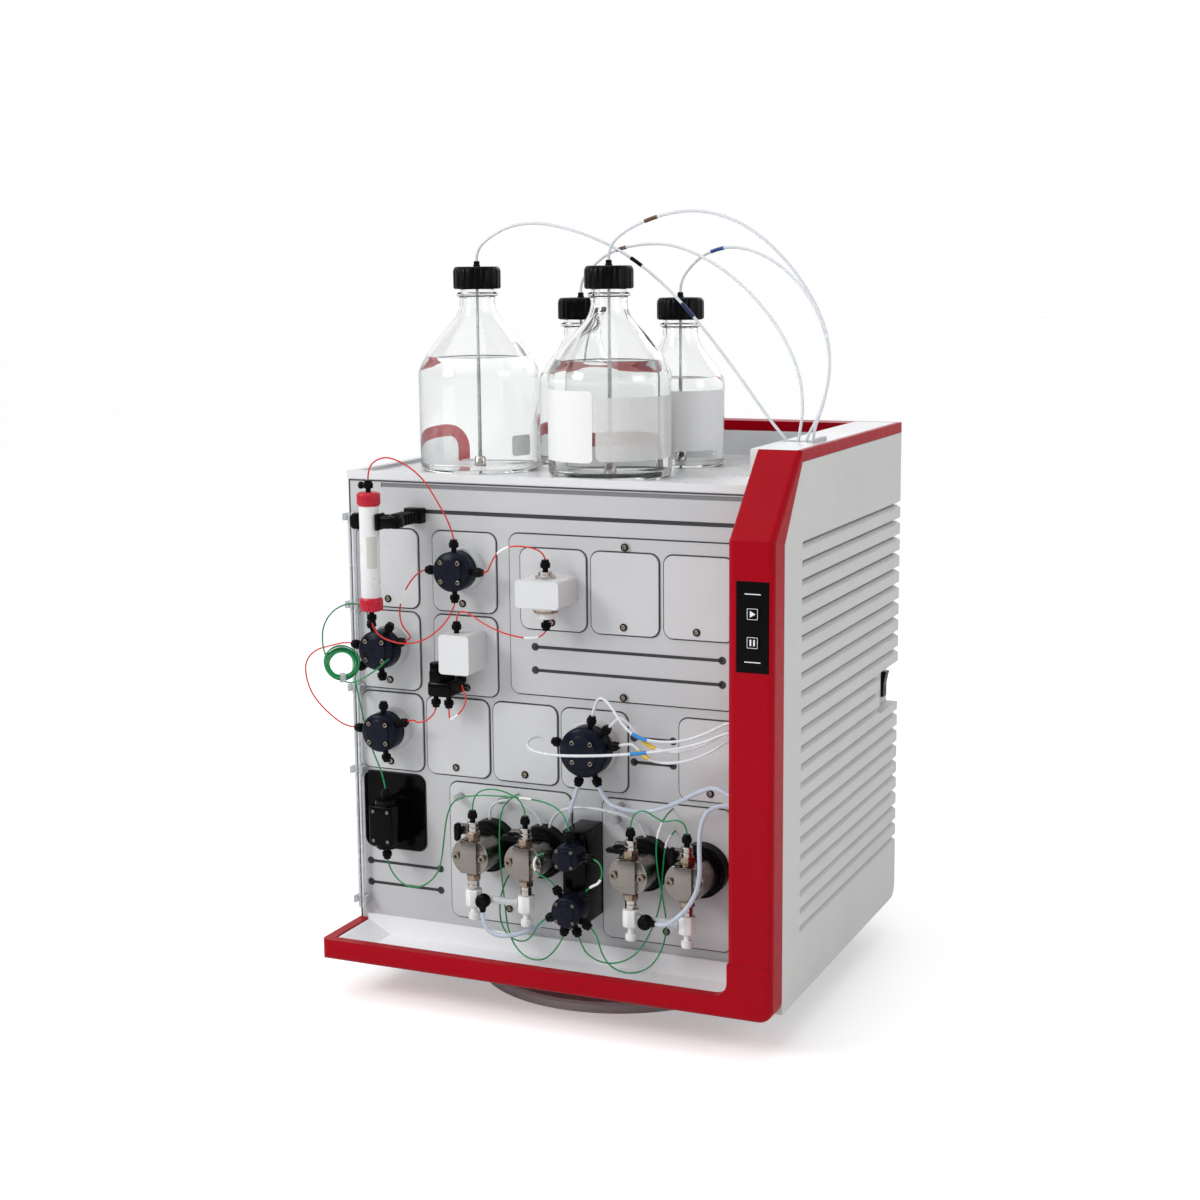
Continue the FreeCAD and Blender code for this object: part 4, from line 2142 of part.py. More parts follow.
def build():
    node("chassis_frame", chassis())
    node("wet_side_panel", wet_panel())
    node("upper_module_panel", upper_panel())
    node("module_faceplates", group("module_plates", [plain_faces(), fitted_faces()]))
    node("panel_screws", screws())
    node("right_side_cover", louvred_cover("right_cover", 1))
    node("left_side_cover", louvred_cover("left_cover", -1))
    node("rear_panel", rear_panel())
    node("top_cover", deck_and_tower())
    node("top_rim", coloured_rim())
    node("control_column", column_body())
    node("base_bumper", bumper())
    node("drip_tray", tray())
    node("control_panel", front_panel())
    node("start_button", button("start", s["start_height"]))
    node("pause_button", button("pause", s["pause_height"]))
    node("power_switch", rocker())
    node("tube_holders", holders())
    node("column_tube", resin_column())
    node("column_end_caps", column_caps())
    node("column_clamp", clamp())
    node("valve_heads", valve_heads())
    node("valve_bezels", bezels())
    module_thickness = s["wet_panel_thickness"] + s["module_proud"]
    node("uv_module_cover", module_face("uv_cover", UV_MODULE, module_y, module_thickness))
    node("uv_flow_cell", flow_cell())
    node("conductivity_monitor", housing("monitor", s["monitor_bottom"], module_y))
    node("mixer_housing", housing("mixer", mixer_base, upper_module_y))
    node("mixer_chamber", chamber())
    node("flow_restrictor", restrictor())
    node("pressure_sensor_block", pressure_block())
    node("pump_heads", group("pump_heads", [pump_head(x) for x in PUMP_X]))
    node("pump_mounting_rings", mounting_rings())
    node("check_valves", group("check_valves", [part for x in PUMP_X for part in check_valve_set(x)]))
    node("inlet_manifolds", group("manifolds", [manifold(*PUMP_X[:2]), manifold(*PUMP_X[2:])]))
    for number, (x, upright) in enumerate(zip(PUMP_X, (True, False, False, True)), start=1):
        node(f"purge_knob_{number}", purge_knob(x, upright))
        node(f"pump_piston_{number}", piston(x))
    fittings = [fitting(*port) for port in PORTS.values()]
    fittings += [hose_connector(*connector) for connector in HOSE_CONNECTORS]
    fittings += [insert(s[kind[-1]], x, y) for kind, x, y in BOTTLES]
    node("tube_fittings", group("fittings", fittings))
    bottles = [bottle(*(s[size] for size in kind), x, y) for kind, x, y in BOTTLES]
    node("large_buffer_bottles", group("large_bottles", bottles[:2]))
    node("small_buffer_bottles", group("small_bottles", bottles[2:]))
    for number, (kind, x, y) in enumerate(BOTTLES, start=1):
        node(f"bottle_cap_{number}", screw_cap(s[kind[-1]], x, y))
    node("pump_drives", pump_drives())
    node("valve_drives", valve_drives())
    node("power_supply", power_supply())
    node("controller_board", controller())
    node("power_inlet", mains_inlet())
    node("fan_rotor", fan())
    node("swivel_foot", foot())
    clear = tubes("clear", CLEAR_ROUTES, s["tube_radius"]) + tubes("hose", HOSE_ROUTES, s["hose_radius"])
    node("clear_tubes", group("clear_tubes", clear))
    node("red_capillaries", group("red_capillaries", tubes("red", RED_ROUTES, s["capillary_radius"])))
    node("green_capillaries", group("green_capillaries", tubes("green", GREEN_ROUTES, s["capillary_radius"])))
    node("sample_loop_coil", coil())


def check_features():
    """Stop if any feature failed or a finished sub-part isn't a valid shape."""
    for item in doc.Objects:
        if any(word in ("Invalid", "Error") for word in item.State):
            raise RuntimeError(f"{item.Name} is in the state {item.State}")
    for name, item in nodes.items():
        shape = item.Shape
        if shape.isNull() or not shape.isValid() or shape.Volume <= 0:
            raise RuntimeError(f"{name} isn't a valid solid")


def export():
    os.makedirs("parts", exist_ok=True)
    for name, item in nodes.items():
        item.Shape.exportStep(os.path.join("parts", f"{name}.step"))


build()
doc.recompute()
check_features()
export()
print(len(nodes), "sub-parts")
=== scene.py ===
import math

import bmesh
import bpy
from mathutils import Matrix, Vector


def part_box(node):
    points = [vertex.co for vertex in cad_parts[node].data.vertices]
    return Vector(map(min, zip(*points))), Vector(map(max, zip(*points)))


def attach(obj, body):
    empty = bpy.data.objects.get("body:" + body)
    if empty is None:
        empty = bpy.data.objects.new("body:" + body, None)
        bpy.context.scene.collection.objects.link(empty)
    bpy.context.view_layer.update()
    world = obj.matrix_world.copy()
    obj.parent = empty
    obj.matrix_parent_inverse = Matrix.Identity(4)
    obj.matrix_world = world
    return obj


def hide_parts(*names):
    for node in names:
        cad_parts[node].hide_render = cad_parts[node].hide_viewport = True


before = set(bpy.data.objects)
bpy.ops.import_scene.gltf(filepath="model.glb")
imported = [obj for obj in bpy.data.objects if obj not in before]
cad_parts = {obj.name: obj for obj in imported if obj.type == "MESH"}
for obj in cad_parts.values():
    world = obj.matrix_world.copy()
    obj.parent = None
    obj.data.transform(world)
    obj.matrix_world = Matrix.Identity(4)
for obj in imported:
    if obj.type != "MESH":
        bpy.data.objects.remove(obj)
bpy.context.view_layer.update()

MM = 0.001

UP = Vector((0, 0, 1))
DOWN = Vector((0, 0, -1))
FRONT = Vector((0, -1, 0))
BACK = Vector((0, 1, 0))
LEFT = Vector((-1, 0, 0))
RIGHT = Vector((1, 0, 0))

# Camera: place in millimetres, angles in degrees, lens and sensor in millimetres

CAMERA_PLACE = (892.0, -2083.5, 818.5)
CAMERA_YAW = 23.714
CAMERA_PITCH = -9.559
CAMERA_ROLL = 0.514
CAMERA_LENS = 59.85
CAMERA_SENSOR = 36

# Planes and heights that the pieces share

WET_Y = -148
MODULE_Y = -150
VALVE_Y = -162
PORT_Y = -173
DEVICE_Y = -178
BLOCK_FRONT_Y = -197
SMALL_PORT_Y = -210
PUMP_Y = -200
PUMP_BASE_Y = -172
PUMP_Z = 178
PUMP_TOP = 196
PUMP_BOTTOM = 160
VALVE_TOP = 216
MANIFOLD_TOP = 140
BAR_Z = 130
DECK_Z = 588
COLUMN_LEFT = 218.5
RESIN = (-203.5, -212)
PUMP_X = (-90.5, -26.5, 97.5, 161.5)
VALVE_ONE = (-121, 488.7)
VALVE_TWO = (-218, 394.7)
VALVE_THREE = (-216.5, 300.7)
INLET_VALVE = (34.3, 300.7)
VALVE_RADIUS = 22
INLET_RADIUS = 27.5
SENSOR_X = 30
SENSOR_Z = 193
PRESSURE_Z = 133
SENSOR_RADIUS = 15
PRESSURE_RADIUS = 17
MIXER_X = -8.5
MIXER_DISC_Z = 458
COLUMN_LOW = 446
COLUMN_HIGH = 577
CAPILLARY_RADIUS = 0.85
TUBE_RADIUS = 1.6
HOSE_RADIUS = 2.5
SLEEVE_WALL = 0.55


def rgb(red, green, blue, alpha=1.0):
    """A colour as it looks, from 0 to 255, as the linear values that a shader takes."""
    def linear(value):
        value /= 255
        return value / 12.92 if value <= 0.04045 else ((value + 0.055) / 1.055) ** 2.4
    return (linear(red), linear(green), linear(blue), alpha)


def range_node(tree, value, from_range, to_range):
    """A value moved linearly from one range to another, held at its ends."""
    node = tree.nodes.new("ShaderNodeMapRange")
    limits = (*from_range, *to_range)
    for name, limit in zip(("From Min", "From Max", "To Min", "To Max"), limits):
        node.inputs[name].default_value = limit
    tree.links.new(value, node.inputs["Value"])
    return node.outputs["Result"]


# Materials

NOISE_RANGE = (0.3, 0.7)


class Finish:
    """A material built node by node round one Principled shader."""

    def __init__(self, name):
        self.material = bpy.data.materials.new(name)
        self.material.use_nodes = True
        self.tree = self.material.node_tree
        self.shader = self.tree.nodes["Principled BSDF"]
        self.coordinates = self.tree.nodes.new("ShaderNodeTexCoord")

    def set(self, **values):
        for name, value in values.items():
            self.shader.inputs[name.replace("_", " ")].default_value = value
        return self

    def link(self, source, target):
        self.tree.links.new(source, target)

    def noise(self, scale, detail=3.0, stretch=None):
        texture = self.tree.nodes.new("ShaderNodeTexNoise")
        texture.inputs["Scale"].default_value = scale
        texture.inputs["Detail"].default_value = detail
        place = self.coordinates.outputs["Object"]
        if stretch:
            mapping = self.tree.nodes.new("ShaderNodeMapping")
            mapping.inputs["Scale"].default_value = stretch
            self.link(place, mapping.inputs["Vector"])
            place = mapping.outputs["Vector"]
        self.link(place, texture.inputs["Vector"])
        return texture.outputs["Fac"]

    def ranged(self, value, low, high):
        return range_node(self.tree, value, NOISE_RANGE, (low, high))

    def vary_colour(self, colour, other, value):
        mix = self.tree.nodes.new("ShaderNodeMix")
        mix.data_type = "RGBA"
        mix.inputs["A"].default_value = colour
        mix.inputs["B"].default_value = other
        self.link(self.ranged(value, 0, 1), mix.inputs["Factor"])
        self.link(mix.outputs["Result"], self.shader.inputs["Base Color"])

    def vary_roughness(self, value, low, high):
        self.link(self.ranged(value, low, high), self.shader.inputs["Roughness"])

    def bump(self, value, strength, distance, edge=None):
        """Fine relief, with edges softened by a radius in metres where one is given."""
        bump = self.tree.nodes.new("ShaderNodeBump")
        bump.inputs["Strength"].default_value = strength
        bump.inputs["Distance"].default_value = distance
        self.link(value, bump.inputs["Height"])
        if edge:
            bevel = self.tree.nodes.new("ShaderNodeBevel")
            bevel.samples = 4
            bevel.inputs["Radius"].default_value = edge
            self.link(bevel.outputs["Normal"], bump.inputs["Normal"])
        self.link(bump.outputs["Normal"], self.shader.inputs["Normal"])


def shade(colour, factor):
    return (colour[0] * factor, colour[1] * factor, colour[2] * factor, 1.0)


def moulded(name, colour, roughness=0.42, grain=900, relief=0.06, edge=0.0012, specular=0.5):
    """Moulded plastic: fine spark-eroded grain, faint mottling and soft edges."""
    finish = Finish(name).set(Specular_IOR_Level=specular)
    finish.vary_colour(colour, shade(colour, 0.95), finish.noise(9, 5))
    finish.vary_roughness(finish.noise(40, 6), roughness - 0.05, roughness + 0.08)
    finish.bump(finish.noise(grain, 2), relief, 0.0004, edge)
    return finish.material


def lacquered(name, colour):
    """Glossy lacquer with a clear coat, faint waviness and dust-fine roughness."""
    finish = Finish(name)
    finish.set(Specular_IOR_Level=0.06, Coat_Weight=0.08, Coat_Roughness=0.05, Coat_IOR=1.45)
    finish.vary_colour(colour, shade(colour, 0.9), finish.noise(4, 2))
    finish.vary_roughness(finish.noise(60, 3), 0.34, 0.42)
    finish.bump(finish.noise(3, 1), 0.05, 0.002, 0.0015)
    return finish.material


def turned_steel(name, colour, roughness, stretch=(1, 1, 60), scale=60):
    """Machined steel with tool lines across it."""
    finish = Finish(name).set(Metallic=1.0, Anisotropic=0.35)
    lines = finish.noise(scale, 6, stretch)
    finish.vary_colour(colour, shade(colour, 0.8), lines)
    finish.vary_roughness(lines, roughness - 0.08, roughness + 0.1)
    finish.bump(lines, 0.12, 0.0002, 0.0004)
    return finish.material


def glass(name, colour):
    finish = Finish(name).set(Base_Color=colour, IOR=1.47, Transmission_Weight=1.0)
    finish.vary_roughness(finish.noise(30, 3), 0.0, 0.02)
    finish.bump(finish.noise(14, 2), 0.04, 0.001)
    return finish.material


def translucent(name, colour, roughness, weight):
    """Milky fluoropolymer of a tube or clip."""
    finish = Finish(name).set(IOR=1.36, Transmission_Weight=weight)
    finish.vary_colour(colour, shade(colour, 0.96), finish.noise(25, 2))
    finish.vary_roughness(finish.noise(40, 2), roughness - 0.04, roughness + 0.06)
    finish.bump(finish.noise(30, 1), 0.02, 0.0002)
    return finish.material


def liquid(name):
    finish = Finish(name).set(Base_Color=(0.985, 0.99, 0.988, 1), IOR=1.33, Transmission_Weight=1.0)
    finish.vary_roughness(finish.noise(20, 2), 0.0, 0.01)
    return finish.material


def printed(name, colour):
    """Paper label: matt with fibres."""
    finish = Finish(name)
    finish.vary_colour(colour, shade(colour, 0.96), finish.noise(500, 5))
    finish.vary_roughness(finish.noise(300, 4), 0.55, 0.7)
    finish.bump(finish.noise(2500, 3), 0.08, 0.0001)
    return finish.material


def frosted(name, colour):
    """Frosted print on glass: half clear, half matt."""
    finish = Finish(name).set(Alpha=0.55)
    finish.vary_colour(colour, shade(colour, 0.95), finish.noise(200, 4))
    finish.vary_roughness(finish.noise(300, 4), 0.55, 0.75)
    finish.bump(finish.noise(1500, 2), 0.06, 0.0001)
    return finish.material


COVER_GREY = moulded("side_cover_plastic", rgb(206, 206, 204), 0.5, 1400, 0.12, 0.001)
# A dark colour of painted shade, put in the module gaps, the holder slots and the lower rail where there is
# only shade
SEAM_SHADE = moulded("seam_shadow", rgb(52, 53, 56), 0.6, 900, 0.05, None)
# A mid grey of painted shade, along the upper rail
RAIL_SHADE_GREY = moulded("rail_shadow", rgb(128, 129, 132), 0.6, 900, 0.05, None)
PANEL_GREY = moulded("panel_plastic", rgb(198, 199, 201), 0.36, 1500, 0.08, 0.001)
MODULE_GREY = moulded("module_plastic", rgb(208, 209, 211), 0.32, 1500, 0.06, 0.0016)
DECK_WHITE = moulded("deck_plastic", rgb(228, 229, 231), 0.3, 1500, 0.05, 0.0015)
TRAY_WHITE = moulded("tray_plastic", rgb(243, 243, 245), 0.46, 1500, 0.04, 0.0015)
HOUSING_WHITE = moulded("housing_plastic", rgb(221, 222, 223), 0.34, 1200, 0.06, 0.001)
MANIFOLD_WHITE = moulded("manifold_polymer", rgb(236, 236, 236), 0.28, 1200, 0.05, 0.0004)
CRIMSON = lacquered("crimson_lacquer", rgb(166, 0, 22))
CAP_RED = moulded("column_cap_polymer", rgb(196, 10, 44), 0.3, 900, 0.05, 0.0006)
BLACK = moulded("black_plastic", rgb(9, 9, 11), 0.28, 1000, 0.1, 0.0004, 0.09)
GLOSS_BLACK = moulded("gloss_black_plastic", rgb(5, 5, 6), 0.14, 800, 0.03, 0.0008, 0.08)
NAVY = moulded("navy_polymer", rgb(16, 20, 34), 0.26, 900, 0.06, 0.0004, 0.12)
BEZEL = moulded("bezel_polymer", rgb(200, 202, 204), 0.35, 900, 0.05, 0.0005)
STEEL = turned_steel("machined_steel", rgb(150, 144, 137), 0.24)
BARREL = turned_steel("bright_steel", rgb(198, 193, 187), 0.16, (1, 1, 1), 90)
NUT = turned_steel("nut_steel", rgb(168, 150, 132), 0.25, (1, 1, 1), 120)
SCREW = turned_steel("screw_steel", rgb(150, 138, 126), 0.24, (1, 1, 1), 200)
CHASSIS = moulded("coated_sheet_steel", rgb(150, 152, 155), 0.45, 1800, 0.15, 0.0006, 0.6)
CAST = turned_steel("cast_aluminium", rgb(176, 178, 181), 0.42, (1, 1, 1), 300)
BOARD = moulded("circuit_board", rgb(30, 96, 62), 0.25, 2000, 0.04, 0.0003)
RUBBER = moulded("foot_rubber", rgb(196, 197, 199), 0.7, 700, 0.2, 0.001, 0.3)
GLASS = glass("bottle_glass", (0.985, 0.993, 0.988, 1))
LIQUID = liquid("buffer_solution")
TUBE_CLEAR = translucent("clear_tube", rgb(236, 239, 243), 0.26, 0.2)
HOSE_CLEAR = translucent("clear_hose", rgb(222, 231, 244), 0.12, 0.45)
CLIP_CLEAR = translucent("clear_clip", rgb(226, 229, 231), 0.2, 0.5)
COLUMN_WHITE = translucent("column_polymer", rgb(246, 246, 246), 0.3, 0.15)
TUBE_RED = moulded("red_capillary", rgb(214, 40, 34), 0.25, 1500, 0.03, None)
TUBE_GREEN = moulded("green_capillary", rgb(12, 138, 76), 0.25, 1500, 0.03, None)
LABEL_WHITE = printed("label_paper", rgb(240, 240, 240))
LABEL_GREY = printed("grey_label_paper", rgb(208, 206, 200))
SCALE_FIELD = frosted("scale_field_print", rgb(236, 237, 235))
SLEEVE_WHITE = moulded("white_sleeve", rgb(240, 240, 240), 0.4, 900, 0.05, None)
SLEEVE_BLUE = moulded("blue_sleeve", rgb(30, 132, 204), 0.35, 900, 0.05, None)
SLEEVE_NAVY = moulded("dark_blue_sleeve", rgb(24, 40, 84), 0.35, 900, 0.05, None)
SLEEVE_DEEP_BLUE = moulded("deep_blue_sleeve", rgb(24, 68, 142), 0.35, 900, 0.05, None)
SLEEVE_BROWN = moulded("brown_sleeve", rgb(92, 56, 34), 0.35, 900, 0.05, None)
SLEEVE_YELLOW = moulded("yellow_sleeve", rgb(226, 188, 34), 0.35, 900, 0.05, None)
MARK_WHITE = printed("panel_marking", rgb(232, 234, 236))

NUMBERS = (1, 2, 3, 4)
CAD_FINISHES = (
    (CHASSIS, ("chassis_frame", "power_supply")),
    (PANEL_GREY, ("wet_side_panel", "upper_module_panel")),
    (MODULE_GREY, ("module_faceplates",)),
    (SCREW, ("panel_screws",)),
    (COVER_GREY, ("right_side_cover", "left_side_cover", "rear_panel")),
    (DECK_WHITE, ("top_cover",)),
    (CRIMSON, ("top_rim", "control_column", "base_bumper")),
    (TRAY_WHITE, ("drip_tray",)),
    (GLOSS_BLACK, ("control_panel", "start_button", "pause_button", "uv_module_cover",
                   "pressure_sensor_block")),
    (BLACK, ("power_switch", "column_clamp", "uv_flow_cell", "flow_restrictor",
             "pump_mounting_rings", "tube_fittings", "power_inlet", "fan_rotor")),
    (BLACK, [f"bottle_cap_{number}" for number in NUMBERS]),
    (BLACK, [f"purge_knob_{number}" for number in NUMBERS]),
    (BARREL, [f"pump_piston_{number}" for number in NUMBERS]),
    (CLIP_CLEAR, ("tube_holders",)),
    (COLUMN_WHITE, ("column_tube",)),
    (CAP_RED, ("column_end_caps",)),
    (NAVY, ("valve_heads",)),
    (BEZEL, ("valve_bezels",)),
    (HOUSING_WHITE, ("conductivity_monitor", "mixer_housing")),
    (MANIFOLD_WHITE, ("mixer_chamber", "inlet_manifolds")),
    (STEEL, ("pump_heads",)),
    (BARREL, ("check_valves",)),
    (GLASS, ("large_buffer_bottles", "small_buffer_bottles")),
    (CAST, ("pump_drives", "valve_drives")),
    (BOARD, ("controller_board",)),
    (RUBBER, ("swivel_foot",)),
    (TUBE_CLEAR, ("clear_tubes",)),
    (TUBE_RED, ("red_capillaries",)),
    (TUBE_GREEN, ("green_capillaries", "sample_loop_coil")),
)
for finish_material, node_names in CAD_FINISHES:
    for node_name in node_names:
        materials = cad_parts[node_name].data.materials
        materials.clear()
        materials.append(finish_material)


# Mesh helpers


def metres(point):
    return Vector(point) * MM


def scene_object(name, data):
    item = bpy.data.objects.new(name, data)
    bpy.context.scene.collection.objects.link(item)
    return item


def mesh_object(name, part, finishes, sharp):
    """An object with smooth faces, and sharp edges above an angle, from a mesh that it uses up."""
    mesh = bpy.data.meshes.new(name)
    part.to_mesh(mesh)
    part.free()
    for finish in finishes:
        mesh.materials.append(finish)
    for face in mesh.polygons:
        face.use_smooth = True
    mesh.set_sharp_from_angle(angle=math.radians(sharp))
    return scene_object(name, mesh)


def facing(base, axis, roll=0.0):
    """The placement that turns a part's z axis along another axis at a base point."""
    turn = axis.to_track_quat("Z", "Y").to_matrix().to_4x4()
    return Matrix.Translation(Vector(base)) @ turn @ Matrix.Rotation(math.radians(roll), 4, "Z")


def drum(radius, height):
    """Profile of a plain cylinder."""
    return [(0, 0), (radius, 0), (radius, height), (0, height)]


def square(reach):
    """Offsets of the four corners of a square round its middle."""
    return [(side * reach, level * reach) for side in (-1, 1) for level in (-1, 1)]


def polygon_radius(radius, sides, angle):
    """Distance from the middle of a polygon with corners at a radius to its edge at an angle."""
    step = 2 * math.pi / sides
    away = (angle % step) - step / 2
    return radius * math.cos(step / 2) / math.cos(away)


class Piece:
    """One mesh piece made of turned, prismatic and block parts, each with its own finish."""

    def __init__(self, name, *finishes):
        self.name = name
        self.finishes = finishes
        self.mesh = bmesh.new()

    def add(self, part, finish, matrix):
        """Take over a part's faces, moved by a matrix."""
        index = self.finishes.index(finish)
        for face in part.faces:
            face.material_index = index
        part.transform(matrix)
        bmesh.ops.scale(part, vec=(MM, MM, MM), verts=part.verts)
        bmesh.ops.recalc_face_normals(part, faces=part.faces)
        holder = bpy.data.meshes.new("part")
        part.to_mesh(holder)
        part.free()
        self.mesh.from_mesh(holder)
        bpy.data.meshes.remove(holder)

    def turned(self, finish, profile, base, axis=UP, sides=32, roll=0.0, flutes=0, depth=0.0):
        """Turn (radius, height) points about an axis. A third number in a point makes that ring a
        polygon of so many sides, and flutes cut a number of grooves of a depth where it is 'f'."""
        part = bmesh.new()
        rings = []
        for point in profile:
            radius, height = point[0], point[1]
            form = point[2] if len(point) > 2 else None
            if radius == 0:
                rings.append([part.verts.new((0, 0, height))])
                continue
            ring = []
            for number in range(sides):
                angle = 2 * math.pi * number / sides
                reach = radius
                if form == "f":
                    reach -= depth * (0.5 - 0.5 * math.cos(angle * flutes)) ** 3
                elif form:
                    reach = polygon_radius(radius, form, angle)
                ring.append(part.verts.new((reach * math.cos(angle), reach * math.sin(angle), height)))
            rings.append(ring)
        for lower, upper in zip(rings, rings[1:]):
            for number in range(sides):
                after = (number + 1) % sides
                if len(lower) == 1:
                    part.faces.new((lower[0], upper[after], upper[number]))
                elif len(upper) == 1:
                    part.faces.new((lower[number], lower[after], upper[0]))
                else:
                    part.faces.new((lower[number], lower[after], upper[after], upper[number]))
        self.add(part, finish, facing(base, axis, roll))

    def block(self, finish, low, high, bevel=0.8, segments=2):
        part = bmesh.new()
        bmesh.ops.create_cube(part, size=1)
        size = Vector(high) - Vector(low)
        bmesh.ops.scale(part, vec=size, verts=part.verts)
        if bevel:
            bmesh.ops.bevel(part, geom=part.edges[:], offset=bevel, segments=segments, profile=0.5,
                            affect="EDGES")
        self.add(part, finish, Matrix.Translation((Vector(low) + Vector(high)) / 2))

    def prism(self, finish, outline, base, axis, length, bevel=0.5, roll=0.0):
        """A flat outline pushed along an axis, with its end edges bevelled."""
        part = bmesh.new()
        bottom = [part.verts.new((u, v, 0)) for u, v in outline]
        top = [part.verts.new((u, v, length)) for u, v in outline]
        part.faces.new(bottom[::-1])
        part.faces.new(top)
        for number in range(len(outline)):
            after = (number + 1) % len(outline)
            part.faces.new((bottom[number], bottom[after], top[after], top[number]))
        if bevel:
            ends = [edge for edge in part.edges
                    if abs(edge.verts[0].co.z - edge.verts[1].co.z) < 1e-6]
            bmesh.ops.bevel(part, geom=ends, offset=bevel, segments=2, profile=0.5, affect="EDGES")
        self.add(part, finish, facing(base, axis, roll))

    def place(self, body, *replaced, slot=None, sharp=32):
        item = mesh_object(self.name, self.mesh, self.finishes, sharp)
        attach(item, body)
        if replaced:
            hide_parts(*replaced)
        return item


# Ports of the devices: base point and direction


def direction(angle):
    turn = math.radians(angle)
    return Vector((math.cos(turn), 0, math.sin(turn)))


def port(centre, plane_y, angle, radius):
    towards = direction(angle)
    return Vector((centre[0], plane_y, centre[1])) + towards * radius, towards


PORTS = {
    "column_top": (Vector((*RESIN, COLUMN_HIGH)), UP),
    "column_bottom": (Vector((*RESIN, COLUMN_LOW)), DOWN),
    "mixer_top": (Vector((MIXER_X, DEVICE_Y, 495)), UP),
    "mixer_bottom": (Vector((MIXER_X, DEVICE_Y, 444)), DOWN),
    "monitor_top": (Vector((-117, DEVICE_Y, 421)), UP),
    "monitor_bottom": (Vector((-112, DEVICE_Y, 377)), DOWN),
    "restrictor_left": (Vector((-144.5, DEVICE_Y, 349)), DOWN),
    "restrictor_right": (Vector((-128.5, DEVICE_Y, 349)), DOWN),
    "cell_top": (Vector((-212, DEVICE_Y, 223)), UP),
    "cell_bottom": (Vector((-212, DEVICE_Y, 167)), DOWN),
}
RIM_PORTS = (
    ("valve_one", VALVE_ONE, PORT_Y, VALVE_RADIUS, {"top": 90, "left": 180, "right": 0, "bottom": 270}),
    ("valve_two", VALVE_TWO, PORT_Y, VALVE_RADIUS,
     {"right": 20, "top": 62, "loop": 108, "left": 172, "low": 222, "drain": 276}),
    ("valve_three", VALVE_THREE, PORT_Y, VALVE_RADIUS,
     {"top": 86, "left": 176, "right": 24, "bottom": 278}),
    ("inlet", INLET_VALVE, PORT_Y, INLET_RADIUS,
     {"one": 78, "two": 168, "three": 46, "four": 14, "out_left": 256, "out_right": 292}),
    ("sensor", (SENSOR_X, SENSOR_Z), SMALL_PORT_Y, SENSOR_RADIUS, {"top": 90, "left": 180, "right": 0}),
    ("pressure", (SENSOR_X, PRESSURE_Z), SMALL_PORT_Y, PRESSURE_RADIUS,
     {"one": 125, "two": 50, "three": 205, "four": 255, "five": 290, "six": 325}),
)
for prefix, centre, plane_y, radius, angles in RIM_PORTS:
    for label, angle in angles.items():
        PORTS[f"{prefix}_{label}"] = port(centre, plane_y, angle, radius)
for number, x in enumerate(PUMP_X, start=1):
    PORTS[f"pump_{number}"] = (Vector((x, PUMP_Y, VALVE_TOP)), UP)

FITTING_LENGTH = 13
CONNECTORS = ((-75, DOWN), (117.5, RIGHT))
CONNECTOR_Y = PUMP_Y - 10
CONNECTOR_REACH = 12


def tip(name):
    base, towards = PORTS[name]
    return base + towards * FITTING_LENGTH


def leave(name, distance=8):
    """The first two corners of a tube that leaves a port's fitting straight."""
    base, towards = PORTS[name]
    return tip(name), base + towards * (FITTING_LENGTH + distance)


def enter(name, distance=8):
    """The last two corners of a tube that enters a port's fitting straight."""
    return leave(name, distance)[::-1]


def connector_tip(x, towards):
    return Vector((x, CONNECTOR_Y, BAR_Z)) + towards * CONNECTOR_REACH


# Bottles: radius, straight wall, shoulder radius and rise, height with the cap, place

LARGE = (68, 108, 51, 27, 229)
SMALL = (50.5, 92, 38, 20, 192)
BOTTLES = ((LARGE, -152, -45), (LARGE, 21, -69), (SMALL, -75, 70), (SMALL, 50, 70))
NIPPLE = 6


def nipple_tip(number):
    kind, x, y = BOTTLES[number - 1]
    return (x, y, DECK_Z + kind[-1] + NIPPLE)


# Glassware


def smooth_profile(points, steps=5):
    """Points of a smooth line through (radius, height) points."""
    line = []
    padded = [points[0], *points, points[-1]]
    for a, b, c, d in zip(padded, padded[1:], padded[2:], padded[3:]):
        for step in range(steps):
            t = step / steps
            line.append(tuple(
                0.5 * (2 * b[k] + (c[k] - a[k]) * t + (2 * a[k] - 5 * b[k] + 4 * c[k] - d[k]) * t * t
                       + (3 * b[k] - a[k] - 3 * c[k] + d[k]) * t ** 3)
                for k in (0, 1)
            ))
    line.append(points[-1])
    return line


# Drops from the top of a bottle's cap to the neck's foot, the collar and the mouth

NECK_DROP = 58
COLLAR_DROP = 33
MOUTH_DROP = 5.5
BOTTLE_SIDES = 96
FILLING_OVERLAP = (0.12, 0.06)


def bottle_outside(kind):
    radius, wall, shoulder, rise, height = kind
    neck = height - NECK_DROP
    collar = height - COLLAR_DROP
    line = smooth_profile([
        (radius, wall - 6), (radius * 0.985, wall + 7), (shoulder + 5, wall + rise),
        (shoulder * 0.5 + 14, (wall + rise) * 0.42 + neck * 0.58), (25.4, neck + 1),
        (20.8, neck + 12), (20, neck + 18),
    ])
    foot = [
        (0, 1.2), (radius - 14, 1.2), (radius - 9, 0), (radius - 4, 0.4), (radius - 1.2, 2.6), (radius, 7),
    ]
    mouth = [
        (20.4, collar - 0.6), (22.6, collar), (23.8, collar + 1), (23.8, collar + 3), (22.6, collar + 4),
        (19.6, collar + 4.6), (19.6, height - 6.6), (19.2, height - MOUTH_DROP),
    ]
    return foot + line + mouth


